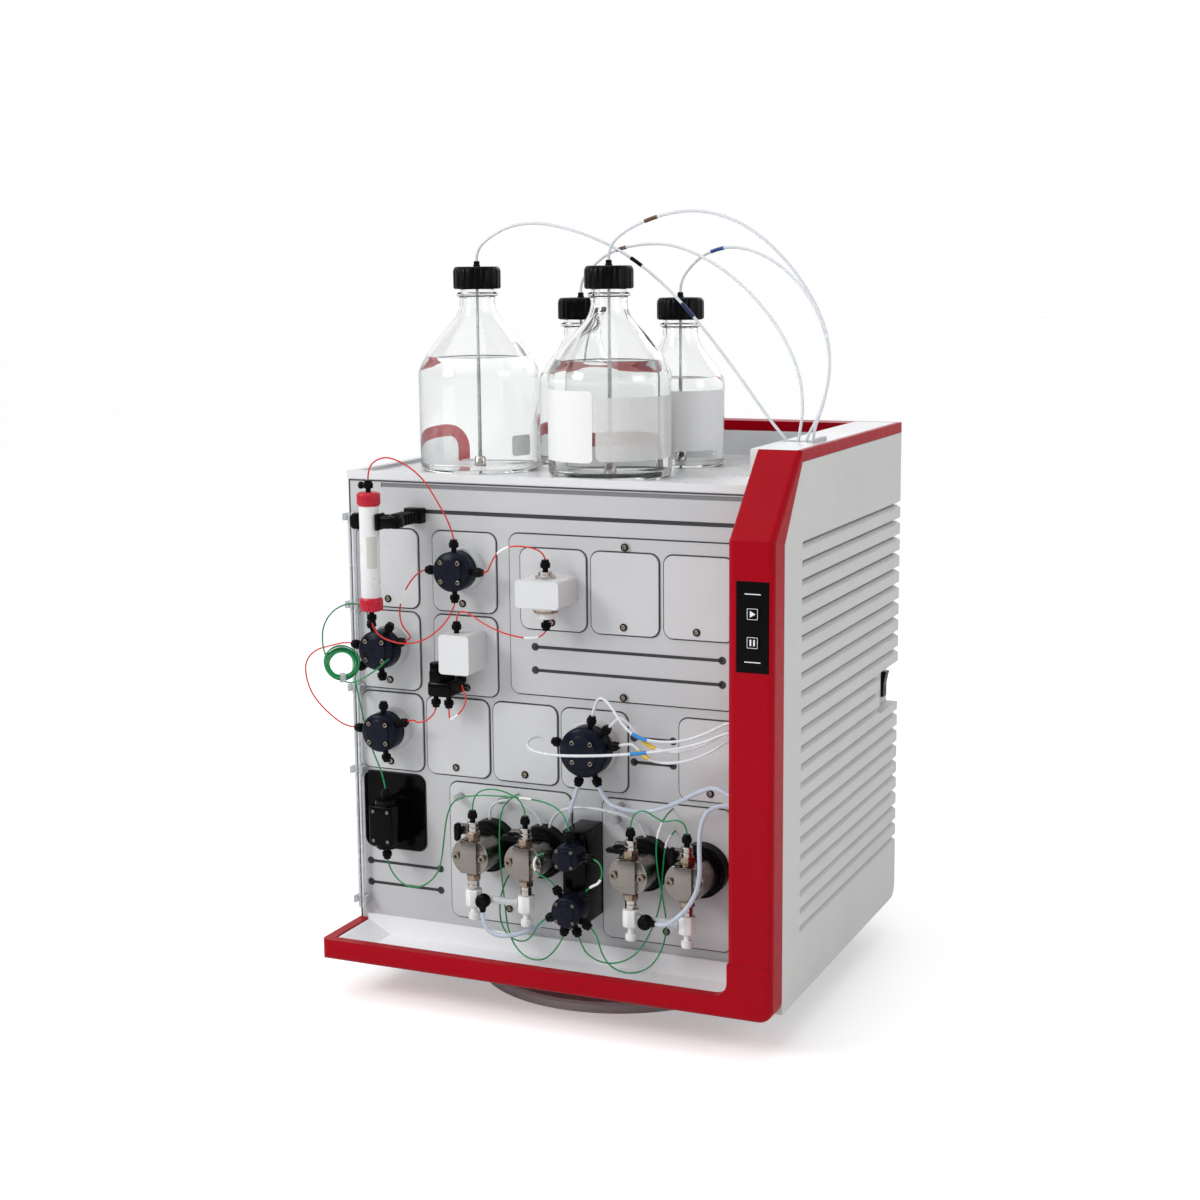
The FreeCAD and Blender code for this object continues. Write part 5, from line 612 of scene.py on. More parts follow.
def bottle_inside(kind, level=None):
    radius, wall, shoulder, rise, height = kind
    neck = height - NECK_DROP
    line = smooth_profile([
        (radius - 3, wall - 7), (radius * 0.985 - 3, wall + 5), (shoulder + 2, wall + rise - 2.6),
        (shoulder * 0.5 + 11.4, (wall + rise) * 0.42 + neck * 0.58 - 3), (22.2, neck - 1),
        (17.6, neck + 11), (16, neck + 18),
    ])
    inside = [(0, 4.2), (radius - 10, 4), (radius - 5, 5.6), (radius - 3, 10)] + line
    if level is None:
        return inside + [(16, height - MOUTH_DROP)]
    kept = [point for point in inside if point[1] < level - 1]
    below = kept[-1]
    above = inside[len(kept)]
    edge = below[0] + (above[0] - below[0]) * (level - below[1]) / (above[1] - below[1])
    return kept + [(edge, level), (edge - 1.2, level - 0.7), (edge - 4, level - 1.1), (0, level - 1.1)]


LEVELS = (128, 127, 104, 102)
for size_name, size_kind in (("large", LARGE), ("small", SMALL)):
    bottles = Piece(f"{size_name}_bottle_glassware", GLASS)
    for kind, x, y in BOTTLES:
        if kind == size_kind:
            profile = bottle_outside(kind) + bottle_inside(kind)[::-1]
            bottles.turned(GLASS, profile, (x, y, DECK_Z), UP, BOTTLE_SIDES)
    bottles.place("casing", f"{size_name}_buffer_bottles", slot="bottle_glass", sharp=50)

for number, ((kind, x, y), level) in enumerate(zip(BOTTLES, LEVELS), start=1):
    profile = [
        (radius + FILLING_OVERLAP[0] if radius else 0, height - FILLING_OVERLAP[1])
        for radius, height in bottle_inside(kind, level)
    ]
    filling = Piece(f"bottle_{number}_filling", LIQUID)
    filling.turned(LIQUID, profile, (x, y, DECK_Z), UP, BOTTLE_SIDES)
    filling.place("casing", sharp=50)


LABEL_THICKNESS = 0.15


def label_patch(name, finish, x, y, radius, low, high, start, end, corner=3.0, steps=24):
    """A paper label on a bottle, from one angle to another about the bottle's axis."""
    patch = bmesh.new()
    columns = []
    for number in range(steps + 1):
        angle = math.radians(start + (end - start) * number / steps)
        arc = abs(math.radians(end - start)) * radius
        from_end = min(number, steps - number) / steps * arc
        inset = corner - math.sqrt(max(0, corner ** 2 - max(0, corner - from_end) ** 2))
        out = Vector((math.cos(angle), math.sin(angle), 0))
        centre = Vector((x, y, DECK_Z))
        columns.append([
            patch.verts.new(metres(centre + out * reach + Vector((0, 0, level))))
            for reach, level in ((radius, low + inset), (radius, high - inset),
                                 (radius - LABEL_THICKNESS, high - inset),
                                 (radius - LABEL_THICKNESS, low + inset))
        ])
    for first, second in zip(columns, columns[1:]):
        for number in range(4):
            after = (number + 1) % 4
            patch.faces.new((first[number], second[number], second[after], first[after]))
    patch.faces.new(columns[0][::-1])
    patch.faces.new(columns[-1])
    bmesh.ops.recalc_face_normals(patch, faces=patch.faces)
    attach(mesh_object(name, patch, [finish], 40), "casing")


# Labels: bottle, radius, lower and upper edge, first and last angle

LABELS = (
    ("bottle_2_label", LABEL_WHITE, 2, 68.3, 20, 97, -152, -83),
    ("bottle_2_scale_field", SCALE_FIELD, 2, 68.2, 22, 90, -80, 12),
    ("bottle_4_label", LABEL_WHITE, 4, 50.8, 20, 88, -112, 6),
    ("bottle_1_scale_field", SCALE_FIELD, 1, 68.2, 19, 42, -31, -7),
    ("bottle_3_scale_field", SCALE_FIELD, 3, 50.7, 24, 82, -84, -48),
)
for name, finish, number, *sizes in LABELS:
    label_patch(name, finish, *BOTTLES[number - 1][1:], *sizes)

CAP_HEIGHT = 25
CAP_PROFILE = [
    (4.4, 22), (20.8, 22), (20.8, 0.4), (25, 0), (26.2, 0.6, "f"), (27, 1.8, "f"), (27, 19.5, "f"),
    (26.5, 21.6, "f"), (25.6, 23.4), (24.2, 24.7), (22.6, 25), (17.5, 25), (16.8, 24.3), (6.6, 24.3),
    (6, 24.9), (4.8, 24.9), (4.4, 24.4), (4.4, 22),
]
for number, (kind, x, y) in enumerate(BOTTLES, start=1):
    cap = Piece(f"bottle_cap_{number}_ribbed", BLACK)
    skirt = DECK_Z + kind[-1] - CAP_HEIGHT
    cap.turned(BLACK, CAP_PROFILE, (x, y, skirt), UP, 216, 0, 18, 0.9)
    cap.place(f"cap_{number}", f"bottle_cap_{number}", slot="black_plastic")

# Fittings, hose connectors and the bottles' inserts

FITTING = [
    (0, -0.5), (3.3, -0.5, 6), (3.3, 3.6, 6), (3, 4), (4.6, 4), (5.1, 4.5, "f"), (5.4, 5.2, "f"),
    (5.4, 9.4, "f"), (4.9, 9.9, "f"), (4.3, 10.1), (4.3, 10.8), (4.1, 12.4), (3.5, 13), (1.2, 13),
    (0, 12.6),
]
SIDE_KNOB = [(0, 0), (2.6, 0), (2.6, 3), (3.6, 3.4, "f"), (4, 4, "f"), (4, 6.6, "f"), (3.4, 7.2), (0, 7.2)]
CONNECTOR = [
    (0, 0), (6.5, 0), (8, 1.2, "f"), (8, 8.4, "f"), (7.2, 9.4), (6.4, 9.8), (6.4, 11.4), (5.8, 12),
    (2.4, 12), (2.2, 11.2), (0, 11.2),
]
BARB = [(0, 0), (3.8, 0), (3.8, 2), (3.2, 2.3), (3.2, 3), (3.5, 3.3), (3.2, 4.7), (2.9, 5), (0, 5)]
INSERT = [
    (0, -5.2), (19, -5.2), (19, -3.3), (4, -3.3), (4, 0.8), (3.9, 1.6), (3.4, 2.2), (3.4, 5.4),
    (2.9, 6), (0, 6),
]
INLET_FILTER = [(0, 5), (4.6, 5), (5, 5.6), (5, 16), (4.2, 17.4), (2.1, 18), (0, 18)]
fittings = Piece("tube_fittings_knurled", BLACK, TUBE_CLEAR, BARREL)
for base, towards in PORTS.values():
    fittings.turned(BLACK, FITTING, base, towards, 48, 0, 12, 0.8)
fittings.turned(BLACK, SIDE_KNOB, (RESIN[0] - 3.6, RESIN[1], 584), LEFT, 48, 0, 12, 0.6)
for x, towards in CONNECTORS:
    fittings.turned(BLACK, CONNECTOR, (x, PUMP_Y - 4, BAR_Z), FRONT, 64, 0, 16, 0.6)
    start = Vector((x, CONNECTOR_Y, BAR_Z)) + towards * 7
    fittings.turned(BLACK, BARB, start, towards, 32)
for kind, x, y in BOTTLES:
    insert_foot = kind[-1] - 5.2
    fittings.turned(BLACK, INSERT, (x, y, DECK_Z + kind[-1]), UP, 48)
    straw = [(0, 12), (1.1, 12), (1.6, 13.5), (1.6, insert_foot), (0, insert_foot)]
    fittings.turned(TUBE_CLEAR, straw, (x, y, DECK_Z), UP, 24)
    fittings.turned(BARREL, INLET_FILTER, (x, y, DECK_Z), UP, 32)
fittings.place("casing", "tube_fittings", slot="black_plastic")


# Screws


def socket_screw(piece, place, radius, height, cup=None):
    """Socket head with a hexagonal recess, in a dark cup where the screw sits in one."""
    if cup:
        seat = [
            (0, -0.3), (radius + 1.3, -0.3), (radius + 1.3, height * 0.5), (radius + 0.9, height * 0.75),
            (radius + 0.2, height * 0.75), (radius + 0.2, 0.1), (0, 0.1),
        ]
        piece.turned(cup, seat, place, FRONT, 32)
    recess = radius * 0.56
    head = [
        (0, 0), (radius, 0), (radius, height - 0.5), (radius - 0.5, height), (radius * 0.62, height),
        (recess, height, 6), (recess, height * 0.35, 6), (0, height * 0.3),
    ]
    piece.turned(SCREW, head, place, FRONT, 36)


RAISED_Y = -152
PANEL_SCREWS = (
    (-218, MODULE_Y, 449), (-123.5, MODULE_Y, 449), (72.6, RAISED_Y, 521.5), (70.8, RAISED_Y, 435),
    (154.3, RAISED_Y, 435), (-218, MODULE_Y, 356), (-120, MODULE_Y, 354), (-219.7, MODULE_Y, 261),
    (-136, MODULE_Y, 261), (-50, MODULE_Y, 261), (70, RAISED_Y, 358), (169, MODULE_Y, 261),
    (-14, RAISED_Y, 435), (-72, MODULE_Y, 103.6), (118, MODULE_Y, 101.3),
)
screws = Piece("panel_screws_socketed", SCREW, BLACK)
for place in PANEL_SCREWS:
    socket_screw(screws, place, 2.9, 1.6, BLACK)
screws.place("casing", "panel_screws", slot="screw_steel")

# Painted shade in the gaps round the modules: dark rings on the face behind each module, where there is
# only shade


def rounded_outline(width, height, corner, steps=6):
    points = []
    for turn, (sx, sz) in enumerate(((1, 1), (-1, 1), (-1, -1), (1, -1))):
        for step in range(steps + 1):
            angle = math.pi / 2 * (turn + step / steps)
            points.append((sx * (width / 2 - corner) + corner * math.cos(angle),
                           sz * (height / 2 - corner) + corner * math.sin(angle)))
    return points


MODULE_SIZE = (78, 88.5, 10)
ROWS = (484.3, 390.3, 296.3, 202.3)
GAP_SHADES = [((x, z), MODULE_SIZE, WET_Y) for x in (-218, -121) for z in ROWS[:2]]
GAP_SHADES += [((x, ROWS[2]), MODULE_SIZE, WET_Y) for x in (-216.5, -132.9, -49.3, 34.3, 172.6)]
GAP_SHADES += [((-216.5, ROWS[3]), MODULE_SIZE, WET_Y), ((74.6, 441.5), (278.8, 177, 10), WET_Y)]
GAP_SHADES += [((x, 471), MODULE_SIZE, MODULE_Y) for x in (-12, 72.2, 156.4)]
GAP_SHADES += [((x, 165.5), (150, 157, 10), WET_Y) for x in (-69.5, 118.5)]
GAP_SHADE_WIDTH = 1.5
GAP_SHADE_HEIGHT = 0.35


def gap_shade_ring(piece, middle, size, base_y):
    """A flat dark ring that follows a module's edge on the face behind it: painted shade in the gap."""
    width, height, corner = size
    inner = rounded_outline(width - 0.4, height - 0.4, corner)
    outer = rounded_outline(width + GAP_SHADE_WIDTH * 2, height + GAP_SHADE_WIDTH * 2, corner + GAP_SHADE_WIDTH)
    part = bmesh.new()
    loops = [
        [part.verts.new((u, v, level)) for u, v in outline]
        for outline, level in ((outer, -0.2), (outer, GAP_SHADE_HEIGHT), (inner, GAP_SHADE_HEIGHT), (inner, -0.2))
    ]
    for first, second in zip(loops, loops[1:] + loops[:1]):
        for number in range(len(first)):
            after = (number + 1) % len(first)
            part.faces.new((first[number], first[after], second[after], second[number]))
    piece.add(part, SEAM_SHADE, facing((middle[0], base_y, middle[1]), FRONT))


gap_shades = Piece("module_gap_shades", SEAM_SHADE)
for middle, size, base_y in GAP_SHADES:
    gap_shade_ring(gap_shades, middle, size, base_y)
# Painted shade: dark strips along the wet panel's left and top edges, in the gap to the covers
for low, high in (((-266, 66), (-264.4, 581)), ((-266, 581), (216, 582.6))):
    gap_shades.block(SEAM_SHADE, (low[0], WET_Y - GAP_SHADE_HEIGHT, low[1]), (high[0], WET_Y + 0.2, high[1]), 0)
gap_shades.place("casing")

# Painted shade in the rails and the holder slots: dark strips and round ends set inside them, where there
# is only shade

SLOTS = [(-35.2, 182.4, z, MODULE_Y) for z in (406.3, 380.3)]
SLOTS += [(80.4, 125.7, z, WET_Y) for z in (313.8, 287)]
SLOTS += [(-251.2, -160, z, WET_Y) for z in (139.2, 113.7)]
# Rails: left end, height and the colour of the painted shade along each
RAILS = ((-224, 577.3, RAIL_SHADE_GREY), (-190, 549.5, SEAM_SHADE))
slot_shades = Piece("slot_and_rail_shades", SEAM_SHADE, RAIL_SHADE_GREY)
for left, right, z, front_y in SLOTS:
    slot_shades.block(SEAM_SHADE, (left, front_y + 0.8, z - 1.75), (right, front_y + 2.9, z + 1.75), 0)
    for end in (left, right):
        slot_shades.turned(SEAM_SHADE, drum(4.3, 2.1), (end, front_y + 2.9, z), FRONT, 36)
for left, z, shade_colour in RAILS:
    slot_shades.block(shade_colour, (left + 0.2, WET_Y + 1, z - 2.2), (COLUMN_LEFT - 0.5, WET_Y + 2.9, z + 2.2), 0)
slot_shades.place("casing")

# Valve heads and their bezels

VALVES = (
    (VALVE_ONE, VALVE_RADIUS), (VALVE_TWO, VALVE_RADIUS), (VALVE_THREE, VALVE_RADIUS),
    (INLET_VALVE, INLET_RADIUS),
)
BOSS_SHARE = 0.66
heads = Piece("valve_heads_turned", NAVY, SCREW, BLACK)
bezels = Piece("valve_bezels_turned", BEZEL)
for (x, z), radius in VALVES:
    boss = radius * BOSS_SHARE
    head = [
        (0, 0), (radius, 0), (radius, 4), (radius - 0.7, 4.4), (radius - 0.7, 5.2), (radius, 5.6),
        (radius, 18.6), (radius - 1.2, 20.6), (radius - 3, 21.8), (boss + 0.6, 22), (boss, 22.4),
        (boss - 0.2, 23.6), (boss - 0.8, 24), (4.4, 24), (4, 23.4), (0, 23.4),
    ]
    heads.turned(NAVY, head, (x, VALVE_Y, z), FRONT, 72)
    for across, up in square(10.6):
        socket_screw(heads, (x + across, VALVE_Y - 21.6, z + up), 2.7, 3.0, BLACK)
    bezel = [(0, 0), (radius + 3, 0), (radius + 3, 9.4), (radius + 2.2, 11.2), (radius + 0.8, 12), (0, 12)]
    bezels.turned(BEZEL, bezel, (x, MODULE_Y, z), FRONT, 72)
for z, radius in ((SENSOR_Z, SENSOR_RADIUS), (PRESSURE_Z, PRESSURE_RADIUS)):
    boss = radius * BOSS_SHARE
    head = [
        (0, 0), (radius, 0), (radius, 23), (radius - 1, 25), (radius - 2.2, 25.8), (boss + 0.5, 26),
        (boss, 26.4), (boss - 0.4, 27.7), (boss - 0.9, 28), (3.4, 28), (3, 27.4), (0, 27.4),
    ]
    heads.turned(NAVY, head, (SENSOR_X, BLOCK_FRONT_Y, z), FRONT, 64)
    for across, up in square(radius * 0.56):
        socket_screw(heads, (SENSOR_X + across, BLOCK_FRONT_Y - 25.4, z + up), 1.9, 2.8)
heads.place("casing", "valve_heads", slot="navy_plastic")
bezels.place("casing", "valve_bezels")

# Pumps

RING = [
    (0, 0), (29.5, 0), (29.5, 3), (28.9, 3.4), (28.9, 4.2), (29.5, 4.6), (29.5, 9), (28.9, 9.4),
    (28.9, 10.2), (29.5, 10.6), (29.5, 14.4), (28.4, 16), (25.6, 16), (25, 16.5), (25, 20.8), (24, 22),
    (0, 22),
]
VALVE_NUT = [(0, 0), (7.6, 0), (8.3, 0.5, 6), (8.6, 1, 6), (8.6, 8.5, 6), (8.2, 9, 6), (7.4, 9.5), (0, 9.5)]
VALVE_BARREL = [
    (0, 0), (6.4, 0), (6.4, 4.4), (5.9, 4.8), (5.9, 5.4), (6.4, 5.8), (6.4, 10), (5.6, 11), (0, 11),
]
KNOB_FLANGE = [(0, 0), (5.2, 0), (5.2, 1.6), (4.6, 2.2), (0, 2.2)]
KNOB_SIDE = 12
KNOB_Z = PUMP_TOP + 11


def clipped_circle(radius, half_height, steps=48):
    """A circle with a straight cut above and below."""
    edge = math.sqrt(radius ** 2 - half_height ** 2)
    kept = []
    for number in range(steps):
        angle = 2 * math.pi * (number + 0.5) / steps
        u = radius * math.cos(angle)
        v = radius * math.sin(angle)
        if abs(v) > half_height:
            if abs(u) < edge * 0.6:
                continue
            u = math.copysign(edge, u)
            v = math.copysign(half_height, v)
        if not kept or abs(kept[-1][0] - u) > 1e-6 or abs(kept[-1][1] - v) > 1e-6:
            kept.append((u, v))
    return kept


def signed_power(value, power):
    return math.copysign(abs(value) ** power, value)


def wing_outline(upright, steps=48):
    """Outline of a knob's two wings, narrow at the waist."""
    outline = []
    for number in range(steps):
        angle = 2 * math.pi * number / steps
        along = signed_power(math.cos(angle), 0.8) * 10
        across = signed_power(math.sin(angle), 0.7) * (2.6 + 0.9 * abs(math.cos(angle)) ** 2)
        outline.append((across, along) if upright else (along, across))
    return outline[::-1] if upright else outline


pumps = Piece("pump_heads_machined", STEEL, SCREW)
rings = Piece("pump_rings_stepped", BLACK)
valves = Piece("check_valves_turned", NUT, BARREL, STEEL)
for x in PUMP_X:
    pumps.prism(STEEL, clipped_circle(22, 18), (x, PUMP_BASE_Y, PUMP_Z), FRONT, 36, 0.9)
    pumps.block(STEEL, (x - 10, PUMP_BASE_Y - 41, PUMP_BOTTOM), (x + 10, PUMP_BASE_Y - 35, PUMP_TOP), 0.9)
    for side in (-1, 1):
        socket_screw(pumps, (x + side * 15.6, PUMP_BASE_Y - 36, PUMP_Z), 4.2, 4.2)
    rings.turned(BLACK, RING, (x, MODULE_Y, PUMP_Z), FRONT, 72)
    for base, towards in (((x, PUMP_Y, PUMP_TOP), UP), ((x, PUMP_Y, PUMP_BOTTOM), DOWN)):
        valves.turned(NUT, VALVE_NUT, base, towards, 72)
        valves.turned(BARREL, VALVE_BARREL, Vector(base) + towards * 9, towards, 48)
    valves.block(STEEL, (x - KNOB_SIDE - 5, PUMP_Y - 5, KNOB_Z - 5), (x, PUMP_Y + 5, KNOB_Z + 5), 0.7)
pumps.place("casing", "pump_heads", slot="pump_steel")
rings.place("casing", "pump_mounting_rings")
valves.place("casing", "check_valves")

for number, (x, upright) in enumerate(zip(PUMP_X, (True, False, False, True)), start=1):
    knob_x = x - KNOB_SIDE
    knob = Piece(f"purge_knob_{number}_winged", BLACK, STEEL)
    knob.turned(STEEL, drum(3, 5), (knob_x, PUMP_Y - 5.2, KNOB_Z), FRONT, 32)
    knob.turned(BLACK, KNOB_FLANGE, (knob_x, PUMP_Y - 8.6, KNOB_Z), FRONT, 40)
    knob.prism(BLACK, wing_outline(upright), (knob_x, PUMP_Y - 9.6, KNOB_Z), FRONT, 7, 0.9)
    knob.place(f"purge_{number}", f"purge_knob_{number}", slot="black_plastic")

MANIFOLD = [
    (0, 0), (8.4, 0), (9.2, 0.6, 8), (9.6, 1.2, 8), (9.6, 17.6, 8), (9.2, 18.4, 8), (8, 19), (0, 19),
]
MANIFOLD_NUT = [
    (0, 0), (4.8, 0), (5.8, 0.5, "f"), (6.2, 1, "f"), (6.2, 7, "f"), (5.8, 7.5, "f"), (4.4, 8), (0, 8),
]
MANIFOLD_FOOT = MANIFOLD_TOP - 19
manifolds = Piece("inlet_manifolds_moulded", MANIFOLD_WHITE, CLIP_CLEAR)
for left, right in (PUMP_X[:2], PUMP_X[2:]):
    for x in (left, right):
        manifolds.turned(MANIFOLD_WHITE, MANIFOLD, (x, PUMP_Y, MANIFOLD_FOOT), UP, 64)
        manifolds.turned(MANIFOLD_WHITE, drum(3.6, 8), (x, PUMP_Y, MANIFOLD_FOOT - 8), UP, 32)
        manifolds.turned(MANIFOLD_WHITE, MANIFOLD_NUT, (x, PUMP_Y, MANIFOLD_FOOT - 16), UP, 72, 0, 18, 0.5)
    span = right - left
    bar = [
        (0, 9), (5.4, 9), (5.4, 12), (4, 12.4), (4, span - 12.4), (5.4, span - 12), (5.4, span - 9),
        (0, span - 9),
    ]
    manifolds.turned(CLIP_CLEAR, bar, (left, PUMP_Y, BAR_Z), RIGHT, 40)
manifolds.place("casing", "inlet_manifolds", slot="white_plastic")

# Column, its caps and label

COLUMN_BARREL = [(0, 461), (10.6, 461), (10.8, 461.4), (10.8, 561.6), (10.6, 562), (0, 562)]
COLUMN_CAP = [
    (0, 0), (9.6, 0), (11.6, 0.7), (12.4, 1.6, "f"), (12.9, 2.4, "f"), (12.9, 12.4, "f"),
    (12.5, 13.2, "f"), (12.1, 13.8), (11.5, 15), (0, 15),
]
column = Piece("column_barrel", COLUMN_WHITE)
column.turned(COLUMN_WHITE, COLUMN_BARREL, (*RESIN, 0), UP, 64)
column.place("casing", "column_tube")
column_caps = Piece("column_caps_ribbed", CAP_RED)
for end_z, axis in ((COLUMN_LOW, UP), (COLUMN_HIGH, DOWN)):
    column_caps.turned(CAP_RED, COLUMN_CAP, (*RESIN, end_z), axis, 128, 0, 32, 0.7)
column_caps.place("casing", "column_end_caps")
label_patch("column_label", LABEL_GREY, *RESIN, 10.95, -94, -59, -80, -14, 1.5)

# Clamp: two jaws at the column's sides, a grip and a ribbed arm that hooks into the rail, and its knob

CLAMP_Z = 545
JAW = [(0, -8.5), (6.4, -8.5), (6.4, 8.5), (0, 8.5), (-3.4, 4.6), (-3.4, -4.6)]
CLAMP_KNOB = [
    (0, 0), (6.4, 0), (7.6, 0.8, "f"), (8, 1.6, "f"), (8, 6.4), (7.2, 7), (7.2, 8.6), (8, 9.2, "f"),
    (8, 16.4, "f"), (7.6, 17.4, "f"), (6.2, 18), (6.2, 20.6), (5.6, 21.4), (0, 21.4),
]
resin_x, resin_y = RESIN

# Blocks of the clamp: left, right, front, back, lowest, highest, bevel and its segments

CLAMP_BLOCKS = [
    (resin_x + 10.9, resin_x + 15, resin_y - 8, resin_y + 9, -9, 9, 1.2, 3),
    (resin_x + 13, -170, resin_y - 5.5, resin_y + 9, -6.5, 6.5, 2.4, 3),
    (resin_x - 14, resin_x + 15, resin_y + 7.5, resin_y + 11.5, -7, 7, 1.2, 2),
    (-187.6, -170.4, resin_y + 4, WET_Y - 1, -4.8, 4.8, 1.4, 3),
]
for rib_y in [resin_y + 15 + number * 6.4 for number in range(5)]:
    CLAMP_BLOCKS.append((-188.8, -169.2, rib_y, rib_y + 3.2, -6.2, 6.2, 0.9, 2))
CLAMP_BLOCKS += [
    (-190, -168, WET_Y - 12, WET_Y - 0.4, -8, 9, 1.2, 2),
    (-187.6, -170.4, WET_Y - 2, WET_Y + 2.8, 2.4, 6.6, 0.4, 2),
]
clamp = Piece("column_clamp_ribbed", BLACK)
clamp.prism(BLACK, JAW, (resin_x - 17.2, resin_y + 9, CLAMP_Z), FRONT, 16, 1.0)
for left, right, front, back, low, high, bevel, segments in CLAMP_BLOCKS:
    clamp.block(BLACK, (left, front, CLAMP_Z + low), (right, back, CLAMP_Z + high), bevel, segments)
clamp.place("casing", "column_clamp")

knob_axis = (RIGHT + BACK * 0.25).normalized()
clamp_knob = Piece("clamp_knob_ribbed", BLACK)
clamp_knob.turned(BLACK, CLAMP_KNOB, (-186, resin_y + 2, CLAMP_Z), knob_axis, 96, 0, 20, 0.8)
clamp_knob.place("casing")

# Mixer, restrictor, flow cell and pressure sensor block

MIXER_COLLAR = [(0, 0), (11, 0), (11, 2.6), (10.4, 3), (8, 3), (7.6, 3.4), (7.6, 6.4), (7, 7), (0, 7)]
MIXER_PARTS = (
    (MANIFOLD_WHITE, [(0, 0), (15, 0), (15, 3.2), (14.4, 3.8), (0, 3.8)], 64),
    (NUT, [(0, 3.4), (13.4, 3.4), (13.4, 6.4), (12.8, 7), (0, 7)], 64),
    (MANIFOLD_WHITE, [(0, 6.8), (9, 6.8), (9, 13.2), (8.2, 14), (0, 14)], 48),
)
chamber = Piece("mixer_chamber_turned", NUT, MANIFOLD_WHITE, BARREL)
chamber.turned(BARREL, MIXER_COLLAR, (MIXER_X, DEVICE_Y, 488), UP, 56)
for finish, profile, sides in MIXER_PARTS:
    chamber.turned(finish, profile, (MIXER_X, DEVICE_Y, MIXER_DISC_Z), DOWN, sides)
chamber.place("casing", "mixer_chamber", slot="white_plastic")

RESTRICTOR_KNOB = [
    (0, 0), (8, 0), (8.8, 0.8, "f"), (9, 1.8, "f"), (9, 10.6, "f"), (8, 12.4), (6, 13), (0, 13),
]
restrictor = Piece("flow_restrictor_body", GLOSS_BLACK, BLACK)
restrictor.block(GLOSS_BLACK, (-151, -187, 349), (-122, MODULE_Y, 366), 3.6, 4)
restrictor.block(GLOSS_BLACK, (-150, -186, 356), (-134, MODULE_Y, 380), 4.5, 4)
restrictor.turned(GLOSS_BLACK, RESTRICTOR_KNOB, (-142, -177, 374), UP, 72, 0, 18, 0.5)
restrictor.place("casing", "flow_restrictor")

CELL_X = -212
CELL_FLANGE = [(0, 0), (12, 0), (12, 4.2), (11, 5.5), (0, 5.5)]
cell = Piece("flow_cell_body", BLACK, GLOSS_BLACK, SCREW)
cell.block(GLOSS_BLACK, (-226.5, -192, 172), (-197.5, MODULE_Y, 218), 1.6, 3)
for flange_z, axis in ((172.5, DOWN), (217.5, UP)):
    cell.turned(BLACK, CELL_FLANGE, (CELL_X, DEVICE_Y, flange_z), axis, 56)
for place in [(x, -191.8, z) for x in (-221, -203) for z in (178, 212)]:
    socket_screw(cell, place, 2, 1.2)
cell.place("casing", "uv_flow_cell")

sensor_block = Piece("sensor_block_body", GLOSS_BLACK)
sensor_block.block(GLOSS_BLACK, (16, BLOCK_FRONT_Y, 113), (43.2, WET_Y, 217), 1.6, 3)
sensor_block.place("casing", "pressure_sensor_block", slot="black_plastic")

# Routes of the tubes

CABLE_FLOOR = 610
RED_ROUTES = {
    "column_feed": [
        tip("column_top"), (-203, -212, 602), (-195, -210, 612), (-178, -206, 616), (-147, -197, 597),
        (-130, -186, 562), (-122, -176, 537), tip("valve_one_top"),
    ],
    "valve_link": [
        tip("valve_one_left"), (-165, -175, 486), (-175, -184, 470), (-180, -192, 450),
        (-178, -194, 430), (-172, -184, 416), *enter("valve_two_right"),
    ],
    "mixer_link": [
        tip("mixer_top"), (-10, -179, 515), (-20, -184, 521), (-43, -188, 523), (-60, -188, 515),
        (-70, -185, 502), (-78, -177, 490), tip("valve_one_right"),
    ],
    "column_return": [
        tip("valve_one_bottom"), (-122, -178, 444), (-128, -188, 430), (-144, -200, 415),
        (-165, -208, 410), (-188, -212, 415), (-201, -212, 424), tip("column_bottom"),
    ],
    "monitor_link": [
        tip("mixer_bottom"), (-12, -180, 424), (-30, -186, 422), (-59, -190, 428),
        (-83, -188, 438), (-104, -181, 447), (-116, -178, 444), tip("monitor_top"),
    ],
    "restrictor_link": [
        tip("monitor_bottom"), (-110, -179, 357), (-103, -184, 350), (-105, -189, 339),
        (-115, -190, 329), (-124, -185, 325), (-128, -179, 328), tip("restrictor_right"),
    ],
    "outlet_link": [
        tip("restrictor_left"), (-146, -180, 329), (-153, -184, 321), (-165, -184, 317),
        *enter("valve_three_right"),
    ],
    "waste_loop": [
        tip("valve_three_left"), (-262, -175, 303), (-281, -179, 316), (-304, -178, 336), (-313, -177, 358),
        (-313, -176, 376), (-301, -174, 389), (-284, -170, 394), *enter("valve_two_left"),
    ],
}
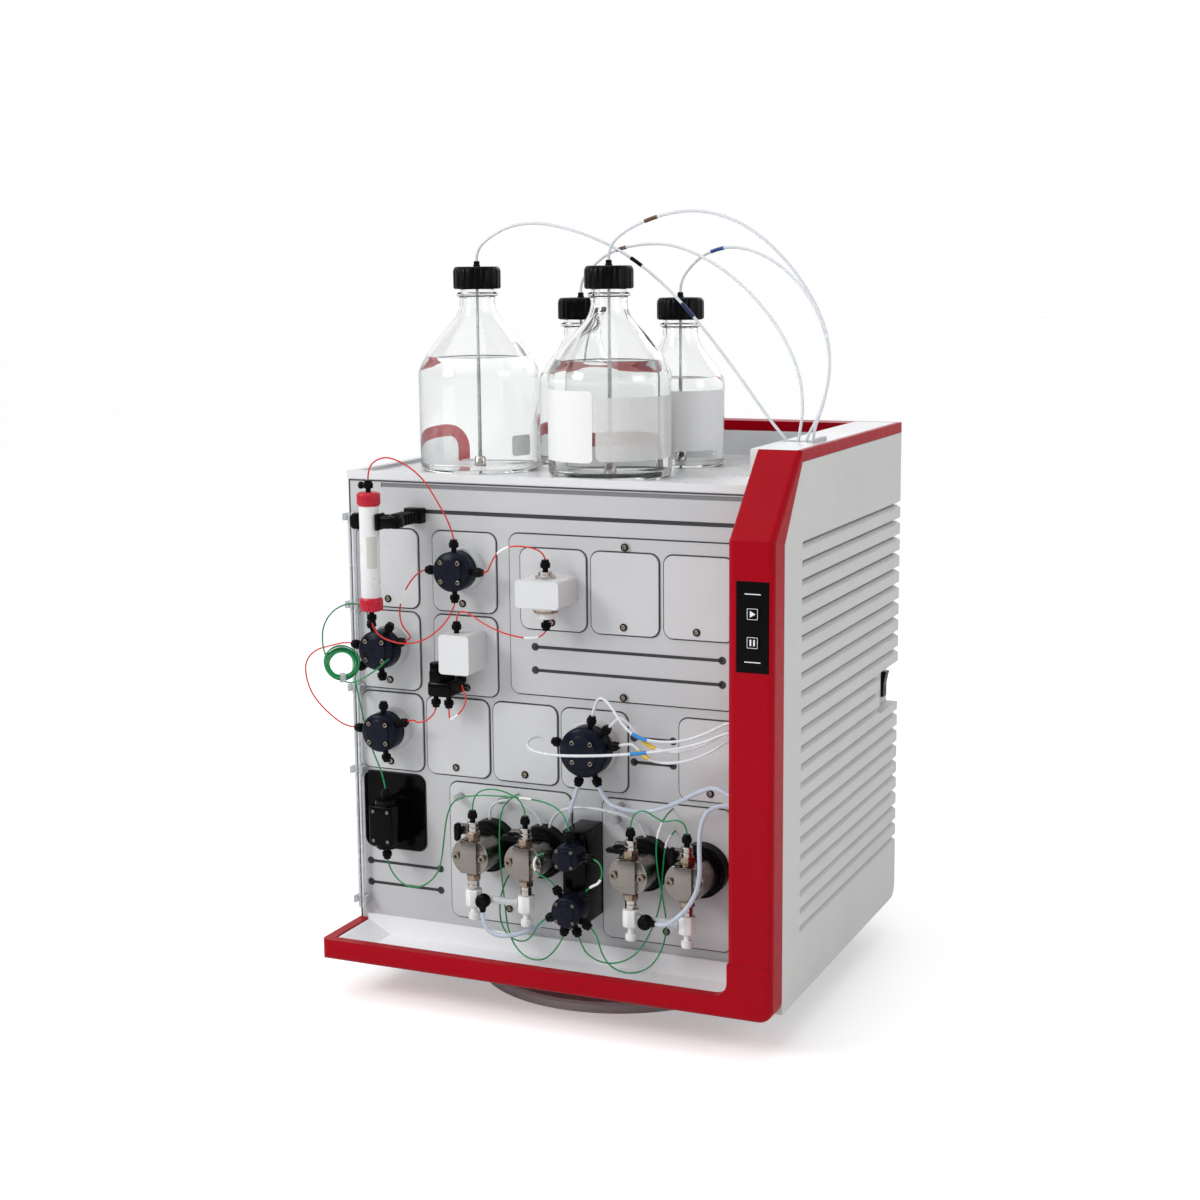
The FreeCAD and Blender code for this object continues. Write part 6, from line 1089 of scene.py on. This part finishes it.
GREEN_ROUTES = {
    "cell_feed": [
        *leave("valve_two_low"), (-252, -169, 352), (-249, -167, 332),
        (-243, -167, 306), (-232, -170, 276), (-216, -176, 252), tip("cell_top"),
    ],
    "cell_outlet": [
        tip("cell_bottom"), (-209, -179, 145), (-200, -182, 135), (-187, -185, 128), (-169, -187, 127),
        (-153, -187, 135), (-140, -185, 152), (-137, -181, 185), (-135, -177, 213), (-126, -174, 233),
        (-95, -173, 239), (-67, -175, 241), (-38, -180, 243), (-8, -191, 245), (16, -203, 242),
        (28, -210, 232), tip("sensor_top"),
    ],
    "left_pump_link": [
        tip("pump_1"), (-90, -200, 243), (-78, -200, 254), (-58, -200, 256), (-38, -200, 250),
        (-27, -200, 240), tip("pump_2"),
    ],
    "right_pump_link": [
        tip("pump_3"), (99, -200, 243), (112, -200, 251), (124, -199, 244), (136, -199, 239),
        (150, -200, 244), (161, -200, 239), tip("pump_4"),
    ],
    "left_pump_outlet": [
        (-58, MODULE_Y, 238), (-59, -165, 238), (-62, -183, 232), (-63, -190, 213), (-63, -190, 172),
        (-57, -192, 128), (-52, -196, 98), (-40, -202, 79), (-19, -209, 70), (3, -212, 74),
        *enter("pressure_four"),
    ],
    "left_pump_sensor": [
        (-66, MODULE_Y, 149), (-67, -163, 147), (-71, -176, 124), (-68, -182, 98), (-56, -186, 85),
        (-38, -194, 83), (-20, -204, 92), *enter("pressure_three", 9),
    ],
    "right_pump_outlet": [
        *leave("pressure_five"), (52, -213, 86), (72, -213, 79), (94, -208, 83),
        (109, -200, 96), (120, -191, 121), (127, -187, 148), (128, -185, 180), (128, -178, 206),
        (129, -164, 215), (129, MODULE_Y, 216),
    ],
    "right_pump_sensor": [
        *leave("pressure_six", 9), (68, -214, 92), (80, -214, 76),
        (101, -212, 71), (122, -207, 79), (133, -199, 98), (136, -192, 122), (131, -191, 150),
        (125, -193, 184), (123, -192, 214), (125, -180, 232), (126, -165, 239), (126, MODULE_Y, 240),
    ],
    "sensor_link": [
        tip("sensor_right"), (67, -213, 192), (72, -216, 181), (68, -217, 169),
        *enter("pressure_two"),
    ],
    "mixer_outlet": [
        tip("sensor_left"), (-6, -211, 192), (-12, -212, 181), (-7, -213, 170),
        *enter("pressure_one"),
    ],
    "loop_arch": [
        (-266.5, -209.2, 392.3), (-270, -209, 407), (-269, -207, 425), (-260, -202, 441),
        (-246, -193, 449), (-233, -181, 446), *enter("valve_two_loop"),
    ],
    "loop_tail": [
        (-242, -209.3, 363), (-229, -212, 363), (-214, -211, 371), (-202, -204, 380), (-199, -193, 386),
        (-200, VALVE_Y - 22, 387),
    ],
}
CLEAR_ROUTES = {
    "buffer_tube_1": [
        nipple_tip(1), (-152, -45, 836), (-134, -46, 850), (-108, -47, 862), (-71, -48, 865),
        (-22, -49, 854), (28, -49, 833), (73, -49, 801), (116, -49, 758), (159, -48, 705), (196, -47, 655),
        (214, -46, 634), (221, -46, 626), (221, -46, CABLE_FLOOR),
    ],
    "buffer_tube_2": [
        nipple_tip(2), (21, -69, 834), (32, -70, 848), (56, -70, 861), (87, -69, 871), (126, -68, 875),
        (171, -66, 862), (209, -64, 834), (240, -62, 798), (262, -59, 757), (269, -56, 717),
        (262, -53, 675), (250, -50, 646), (247, -49, 629), (247, -49, CABLE_FLOOR),
    ],
    "buffer_tube_3": [
        nipple_tip(3), (-75, 70, 797), (-64, 68, 812), (-33, 60, 833), (9, 50, 841), (56, 38, 840),
        (109, 25, 819), (155, 10, 788), (196, -8, 748), (224, -25, 704), (233, -37, 665),
        (231, -44, 638), (230, -46, 628), (230, -46, CABLE_FLOOR),
    ],
    "buffer_tube_4": [
        nipple_tip(4), (50, 70, 798), (64, 68, 816), (87, 60, 831), (123, 50, 838), (167, 35, 826),
        (208, 18, 799), (239, 0, 762), (256, -15, 721), (257, -28, 684), (248, -38, 652),
        (240, -43, 636), (238, -45, 626), (238, -45, CABLE_FLOOR),
    ],
    "inlet_tube_1": [
        *leave("inlet_one", 9), (52, -177, 363), (65, -183, 360), (78, -190, 348),
        (92, -196, 334), (112, -199, 325), (152, -199, 326), (186, -199, 340), (207, -197, 353),
        (COLUMN_LEFT, -197, 353),
    ],
    "inlet_tube_2": [
        *leave("inlet_two", 7), (-22, -178, 314), (-27, -189, 311), (-22, -201, 307),
        (-9, -209, 304), (18, -212, 303),
        (66, -211, 307), (111, -208, 313), (155, -204, 321), (187, -202, 332), (207, -201, 343),
        (COLUMN_LEFT, -201, 343),
    ],
    "inlet_tube_3": [
        *leave("inlet_three", 7), (77, -177, 343), (90, -184, 338),
        (103, -190, 326), (120, -194, 316), (154, -198, 315), (187, -194, 329), (207, -190, 345),
        (COLUMN_LEFT, -190, 345),
    ],
    "inlet_tube_4": [
        *leave("inlet_four"), (92, -178, 315), (105, -187, 308), (121, -196, 302),
        (153, -199, 304), (187, -196, 318), (207, -195, 335), (COLUMN_LEFT, -195, 335),
    ],
    "waste_tube_left": [(-262, -156.9, 546), (-262, -156.9, 84)],
    "waste_tube_right": [(-257, -156.9, 546), (-257, -156.9, 84)],
    "rinse_tube_left": [
        (-90.5, -158, 207.8), (-90.2, -159, 219), (-82, -163, 229), (-66, -166, 235), (-46, -164, 231),
        (-31, -159, 220), (-27, -158, 207.8),
    ],
    "rinse_tube_right": [
        (-17, -158, 206.2), (-14, -159, 217), (0, -163, 230), (26, -166, 236), (56, -166, 235),
        (80, -162, 229), (95, -158, 219), (97, -158, 207.8),
    ],
}
HOSE_ROUTES = {
    "left_inlet_hose": [
        *leave("inlet_out_left", 10), (18, -181, 234), (11, -172, 212),
        (10, -168, 180), (8, -169, 146), (-2, -178, 114), (-22, -191, 98), (-46, -205, 92),
        (-64, -209, 93), (-75, -210, 104), connector_tip(*CONNECTORS[0]),
    ],
    "right_inlet_hose": [
        *leave("inlet_out_right", 10), (66, -178, 244), (88, -176, 240),
        (112, -176, 242), (142, -178, 255), (168, -182, 271), (188, -186, 280), (205, -190, 272),
        (COLUMN_LEFT, -190, 272),
    ],
    "degasser_hose": [
        (COLUMN_LEFT, -203, 266), (205, -203, 266), (192, -205, 262), (184, -209, 254), (181, -214, 238),
        (182.5, -219, 218), (184.5, -221, 196), (180, -221, 172), (167, -220, 152), (152, -215.5, 138),
        (141, -210, 130), connector_tip(*CONNECTORS[1]),
    ],
}


# Cords

STRAIGHT_STEPS = 40


def spline_line(points, steps=8):
    """Points along the tube's curve, a quadratic spline with the route's points as its corners."""
    corners = [Vector(point) for point in points]
    if len(corners) == 2:
        return [corners[0].lerp(corners[1], step / STRAIGHT_STEPS) for step in range(STRAIGHT_STEPS + 1)]
    line = [corners[0]]
    start = corners[0]
    for number in range(1, len(corners) - 1):
        last = number == len(corners) - 2
        end = corners[-1] if last else (corners[number] + corners[number + 1]) / 2
        for step in range(1, steps + 1):
            t = step / steps
            line.append(start * (1 - t) ** 2 + corners[number] * 2 * t * (1 - t) + end * t ** 2)
        start = end
    return line


def curve_object(name, points, radius, finish, order, resolution=8, sides=5):
    curve = bpy.data.curves.new(name, "CURVE")
    curve.dimensions = "3D"
    curve.bevel_depth = radius * MM
    curve.bevel_resolution = sides
    curve.use_fill_caps = True
    curve.resolution_u = resolution
    spline = curve.splines.new("NURBS")
    spline.points.add(len(points) - 1)
    for target, point in zip(spline.points, points):
        target.co = (*metres(point), 1)
    spline.order_u = order
    spline.use_endpoint_u = True
    curve.materials.append(finish)
    return scene_object(name, curve)


def sleeve(name, line, start, end, radius, finish):
    """A marker sleeve on a tube, from one distance along it to another."""
    kept = []
    travelled = 0.0
    for a, b in zip(line, line[1:]):
        step = (b - a).length
        for limit in (start, end):
            if travelled <= limit < travelled + step:
                kept.append(a.lerp(b, (limit - travelled) / step))
        travelled += step
        if start < travelled < end:
            kept.append(b)
    item = curve_object(name, kept, radius, finish, 2, 2, 6)
    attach(item, "casing")
    return item


# Sleeves by tube: distance along the tube, length, colour

SLEEVES = {
    "valve_link": [(33, 16, SLEEVE_WHITE)],
    "mixer_link": [(46, 16, SLEEVE_WHITE)],
    "monitor_link": [(11, 16, SLEEVE_WHITE)],
    "restrictor_link": [(38, 14, SLEEVE_WHITE)],
    "buffer_tube_1": [(217, 15, BLACK), (294, 20, SLEEVE_NAVY)],
    "buffer_tube_2": [(63, 15, SLEEVE_BROWN)],
    "buffer_tube_3": [(76, 14, SLEEVE_BROWN)],
    "buffer_tube_4": [(67, 18, SLEEVE_DEEP_BLUE)],
    "inlet_tube_1": [(85, 18, SLEEVE_BLUE)],
    "inlet_tube_2": [(169, 18, SLEEVE_BLUE)],
    "inlet_tube_3": [(59, 18, SLEEVE_YELLOW)],
    "inlet_tube_4": [(32, 18, SLEEVE_YELLOW)],
    "right_pump_outlet": [(200, 18, SLEEVE_WHITE)],
    "right_pump_sensor": [(235, 18, SLEEVE_WHITE)],
    "cell_outlet": [(260, 18, SLEEVE_WHITE)],
    "sensor_link": [(28, 20, SLEEVE_WHITE)],
    "mixer_outlet": [(11, 16, SLEEVE_WHITE)],
}


def free_tube(kind, name, points, radius, finish, node):
    item = curve_object(f"{kind}_{name}", points, radius, finish, 3 if len(points) > 2 else 2)
    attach(item, "casing")
    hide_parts(node)
    line = spline_line(points)
    marks = [
        sleeve(f"{name}_sleeve_{number}", line, start, start + length, radius + SLEEVE_WALL, colour)
        for number, (start, length, colour) in enumerate(SLEEVES.get(name, ()), start=1)
    ]


loop_arch = GREEN_ROUTES.pop("loop_arch")
loop_tail = GREEN_ROUTES.pop("loop_tail")
TUBE_KINDS = (
    ("red", RED_ROUTES, CAPILLARY_RADIUS, TUBE_RED, "red_capillaries"),
    ("green", GREEN_ROUTES, CAPILLARY_RADIUS, TUBE_GREEN, "green_capillaries"),
    ("clear", CLEAR_ROUTES, TUBE_RADIUS, TUBE_CLEAR, "clear_tubes"),
    ("hose", HOSE_ROUTES, HOSE_RADIUS, HOSE_CLEAR, "clear_tubes"),
)
for tube_kind, routes, *look in TUBE_KINDS:
    for name, points in routes.items():
        free_tube(tube_kind, name, points, *look)

# Sample loop: one capillary from the valve through the turns of the coil and back

LOOP_CENTRE = Vector((-249, -203, 382))
LOOP_NORMAL = Vector((0.55, -0.75, 0.45)).normalized()
LOOP_RADIUS = 16
LOOP_TURNS = 12
LOOP_STEPS = 16
LOOP_FAN = 0.75
LOOP_FAN_FROM = math.radians(120)
LOOP_CHANGE = 0.35
LOOP_PLACES = (
    (0, 0), (2.5, -0.2), (2.3, 2.3), (-0.2, 2.5), (-2.5, 2.2), (-2.5, -0.3), (-2.2, -2.5),
    (0.2, -2.6), (2.4, -2.4), (4, 0.2), (1.4, 4), (-4, 0.4), (0, 0),
)
FULL_TURN = 2 * math.pi


def across_normal(vector):
    """The direction of the part of a vector that lies in the coil's plane."""
    return (vector - LOOP_NORMAL * vector.dot(LOOP_NORMAL)).normalized()


def loop_turns(start, towards, end):
    """Corners of the coil's turns, from where one tail joins it to where the other leaves it."""
    side = across_normal(start - LOOP_CENTRE)
    other = LOOP_NORMAL.cross(side)
    sense = 1 if other.dot(towards) > 0 else -1
    finish = end - LOOP_CENTRE
    last = math.atan2(finish.dot(other) * sense, finish.dot(side)) % FULL_TURN
    last += FULL_TURN * (LOOP_TURNS - 1)
    count = round(last / FULL_TURN * LOOP_STEPS)
    points = []
    for number in range(1, count):
        angle = last * number / count
        turn = angle / FULL_TURN
        whole = int(turn)
        blend = min(1, (turn - whole) / LOOP_CHANGE)
        blend = blend * blend * (3 - 2 * blend)
        before = LOOP_PLACES[whole]
        after = LOOP_PLACES[whole + 1]
        out = before[0] + (after[0] - before[0]) * blend
        rise = before[1] + (after[1] - before[1]) * blend
        fan = (turn - LOOP_TURNS / 2) * (0.5 - 0.5 * math.cos(angle - LOOP_FAN_FROM)) * LOOP_FAN
        reach = LOOP_RADIUS * 1.03 + out * 0.6 + fan + 0.35 * math.sin(3 * angle + 1.7 * whole)
        points.append(LOOP_CENTRE + (side * math.cos(angle) + other * (math.sin(angle) * sense)) * reach
                      + LOOP_NORMAL * (rise + 0.3 * math.sin(2 * angle + whole)))
    return points


arch = [Vector(point) for point in loop_arch][::-1]
tail = [Vector(point) for point in loop_tail]
loop_points = arch + loop_turns(arch[-1], arch[-1] - arch[-2], tail[0]) + tail
loop = curve_object("green_sample_loop", loop_points, CAPILLARY_RADIUS, TUBE_GREEN, 3)
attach(loop, "casing")
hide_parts("sample_loop_coil", "green_capillaries")
BINDING = [(5, -3), (5.5, -2.6), (5.5, 2.6), (5, 3), (4.7, 2.6), (4.7, -2.6), (5, -3)]
binding = Piece("sample_loop_binding", CLIP_CLEAR)
binding_out = across_normal(DOWN)
binding_place = LOOP_CENTRE + binding_out * LOOP_RADIUS
binding.turned(CLIP_CLEAR, BINDING, binding_place, LOOP_NORMAL.cross(binding_out), 32)
binding_item = binding.place("casing")

# Markings of the control panel

BUTTON_X = 245.5
MARK_HALF = 8.5
ICON_HALF = 5.4


def front_face(node_name):
    return float(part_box(node_name)[0][1]) / MM


marks_y = front_face("control_panel")
markings = Piece("panel_markings", MARK_WHITE)
for z in (494, 425):
    markings.block(MARK_WHITE, (BUTTON_X - MARK_HALF, marks_y - 0.12, z - 0.5),
                   (BUTTON_X + MARK_HALF, marks_y + 0.2, z + 0.5), 0)
markings.place("casing")

PLAY = [(-2.6, -3.4), (3.4, 0), (-2.6, 3.4)]
for node_name, body, z in (("start_button", "start_key", 474), ("pause_button", "pause_key", 445)):
    front = front_face(node_name)
    back = front + 0.1
    icon = Piece(f"{node_name}_icon", MARK_WHITE)
    for side in (-1, 1):
        level = z + side * ICON_HALF
        icon.block(MARK_WHITE, (BUTTON_X - ICON_HALF, front - 0.12, level - 0.25),
                   (BUTTON_X + ICON_HALF, back, level + 0.25), 0)
        x = BUTTON_X + side * ICON_HALF
        icon.block(MARK_WHITE, (x - 0.25, front - 0.12, z - ICON_HALF), (x + 0.25, back, z + ICON_HALF), 0)
    if body == "start_key":
        icon.prism(MARK_WHITE, PLAY, (BUTTON_X, back, z), FRONT, 0.25, 0)
    else:
        for x in (BUTTON_X - 1.9, BUTTON_X + 1.9):
            icon.block(MARK_WHITE, (x - 0.9, front - 0.15, z - 3.2), (x + 0.9, back, z + 3.2), 0)
    icon.place(body)

# Camera, light and backdrop

scene = bpy.context.scene
camera_data = bpy.data.cameras.new("camera")
camera_data.lens = CAMERA_LENS
camera_data.sensor_width = CAMERA_SENSOR
camera_data.clip_end = 100
camera = scene_object("camera", camera_data)
camera.matrix_world = (
    Matrix.Translation(metres(CAMERA_PLACE))
    @ Matrix.Rotation(math.radians(CAMERA_YAW), 4, "Z")
    @ Matrix.Rotation(math.radians(CAMERA_PITCH), 4, "X")
    @ Matrix.Rotation(math.radians(CAMERA_ROLL), 4, "Y")
    @ Matrix.Rotation(math.radians(90), 4, "X")
)
scene.camera = camera
scene.view_settings.view_transform = "Standard"


sun_data = bpy.data.lights.new("soft_sun", "SUN")
sun_data.energy = 1.0
sun_data.angle = math.radians(70)
sun = scene_object("soft_sun", sun_data)
sun.rotation_euler = (math.radians(24), math.radians(-14), 0)

# Area lights: place and target in metres, width, height, power

LIGHTS = (
    ("left_front_light", (-1.8, -2.1, 1.9), (0, 0, 0.35), 1.0, 1.0, 40),
    ("right_fill_light", (2.9, -0.6, 1.5), (0, 0, 0.4), 1.2, 1.6, 20),
    ("rear_light", (0.2, 2.6, 1.9), (0, 0, 0.6), 2.0, 1.2, 12),
)
for name, place, target, width, height, power in LIGHTS:
    light_data = bpy.data.lights.new(name, "AREA")
    light_data.shape = "RECTANGLE"
    light_data.size = width
    light_data.size_y = height
    light_data.energy = power
    light = scene_object(name, light_data)
    light.location = place
    light.rotation_euler = (Vector(place) - Vector(target)).to_track_quat("Z", "Y").to_euler()

world = bpy.data.worlds.new("studio")
scene.world = world
world.use_nodes = True
tree = world.node_tree


def sky(colour, strength=1.0, brightness=None):
    """A plain background, or one whose strength follows a value."""
    node = tree.nodes.new("ShaderNodeBackground")
    node.inputs["Color"].default_value = colour
    node.inputs["Strength"].default_value = strength
    if brightness:
        tree.links.new(brightness, node.inputs["Strength"])
    return node.outputs["Background"]


def choose(ray, otherwise, chosen):
    """One background for a kind of ray, and another for the rest."""
    mix = tree.nodes.new("ShaderNodeMixShader")
    tree.links.new(ray, mix.inputs["Fac"])
    tree.links.new(otherwise, mix.inputs[1])
    tree.links.new(chosen, mix.inputs[2])
    return mix.outputs["Shader"]


def studio(low, high, dim):
    """How bright the studio is by direction: the white backdrop behind, a dim room in front."""
    place = tree.nodes.new("ShaderNodeTexCoord").outputs["Generated"]
    parts = tree.nodes.new("ShaderNodeSeparateXYZ")
    tree.links.new(place, parts.inputs["Vector"])
    return range_node(tree, parts.outputs["Y"], (low, high), (dim, 1.0))


WHITE = (1, 1, 1, 1)
rays = tree.nodes.new("ShaderNodeLightPath").outputs
surround = sky((0.9, 0.91, 0.93, 1), 0.4)
surround = choose(rays["Is Glossy Ray"], surround, sky(WHITE, brightness=studio(-0.5, 0.25, 0.2)))
surround = choose(rays["Is Transmission Ray"], surround, sky(WHITE, brightness=studio(0.1, 0.62, 0.6)))
surround = choose(rays["Is Camera Ray"], surround, sky(WHITE))
tree.nodes.remove(tree.nodes["Background"])
tree.links.new(surround, tree.nodes["World Output"].inputs["Surface"])

FLOOR_LIFT = 0.36
FLOOR_REACH = 30
floor_finish = Finish("pale_floor").set(Roughness=0.6, Specular_IOR_Level=0.1, Emission_Color=WHITE)
floor_finish.vary_colour((0.93, 0.93, 0.93, 1), (0.915, 0.915, 0.92, 1), floor_finish.noise(3, 2))
floor_nodes = floor_finish.tree.nodes
floor_rays = floor_nodes.new("ShaderNodeLightPath").outputs
floor_seen = floor_nodes.new("ShaderNodeMath")
floor_seen.operation = "MAXIMUM"
floor_finish.link(floor_rays["Is Camera Ray"], floor_seen.inputs[0])
floor_finish.link(floor_rays["Is Transmission Ray"], floor_seen.inputs[1])
floor_lift = floor_nodes.new("ShaderNodeMath")
floor_lift.operation = "MULTIPLY"
floor_lift.inputs[1].default_value = FLOOR_LIFT
floor_finish.link(floor_seen.outputs["Value"], floor_lift.inputs[0])
floor_finish.link(floor_lift.outputs["Value"], floor_finish.shader.inputs["Emission Strength"])
floor_mesh = bpy.data.meshes.new("floor")
floor_corners = [(x * FLOOR_REACH, y * FLOOR_REACH, 0) for x, y in ((-1, -1), (1, -1), (1, 1), (-1, 1))]
floor_mesh.from_pydata(floor_corners, [], [(0, 1, 2, 3)])
floor_mesh.materials.append(floor_finish.material)
scene_object("floor", floor_mesh)
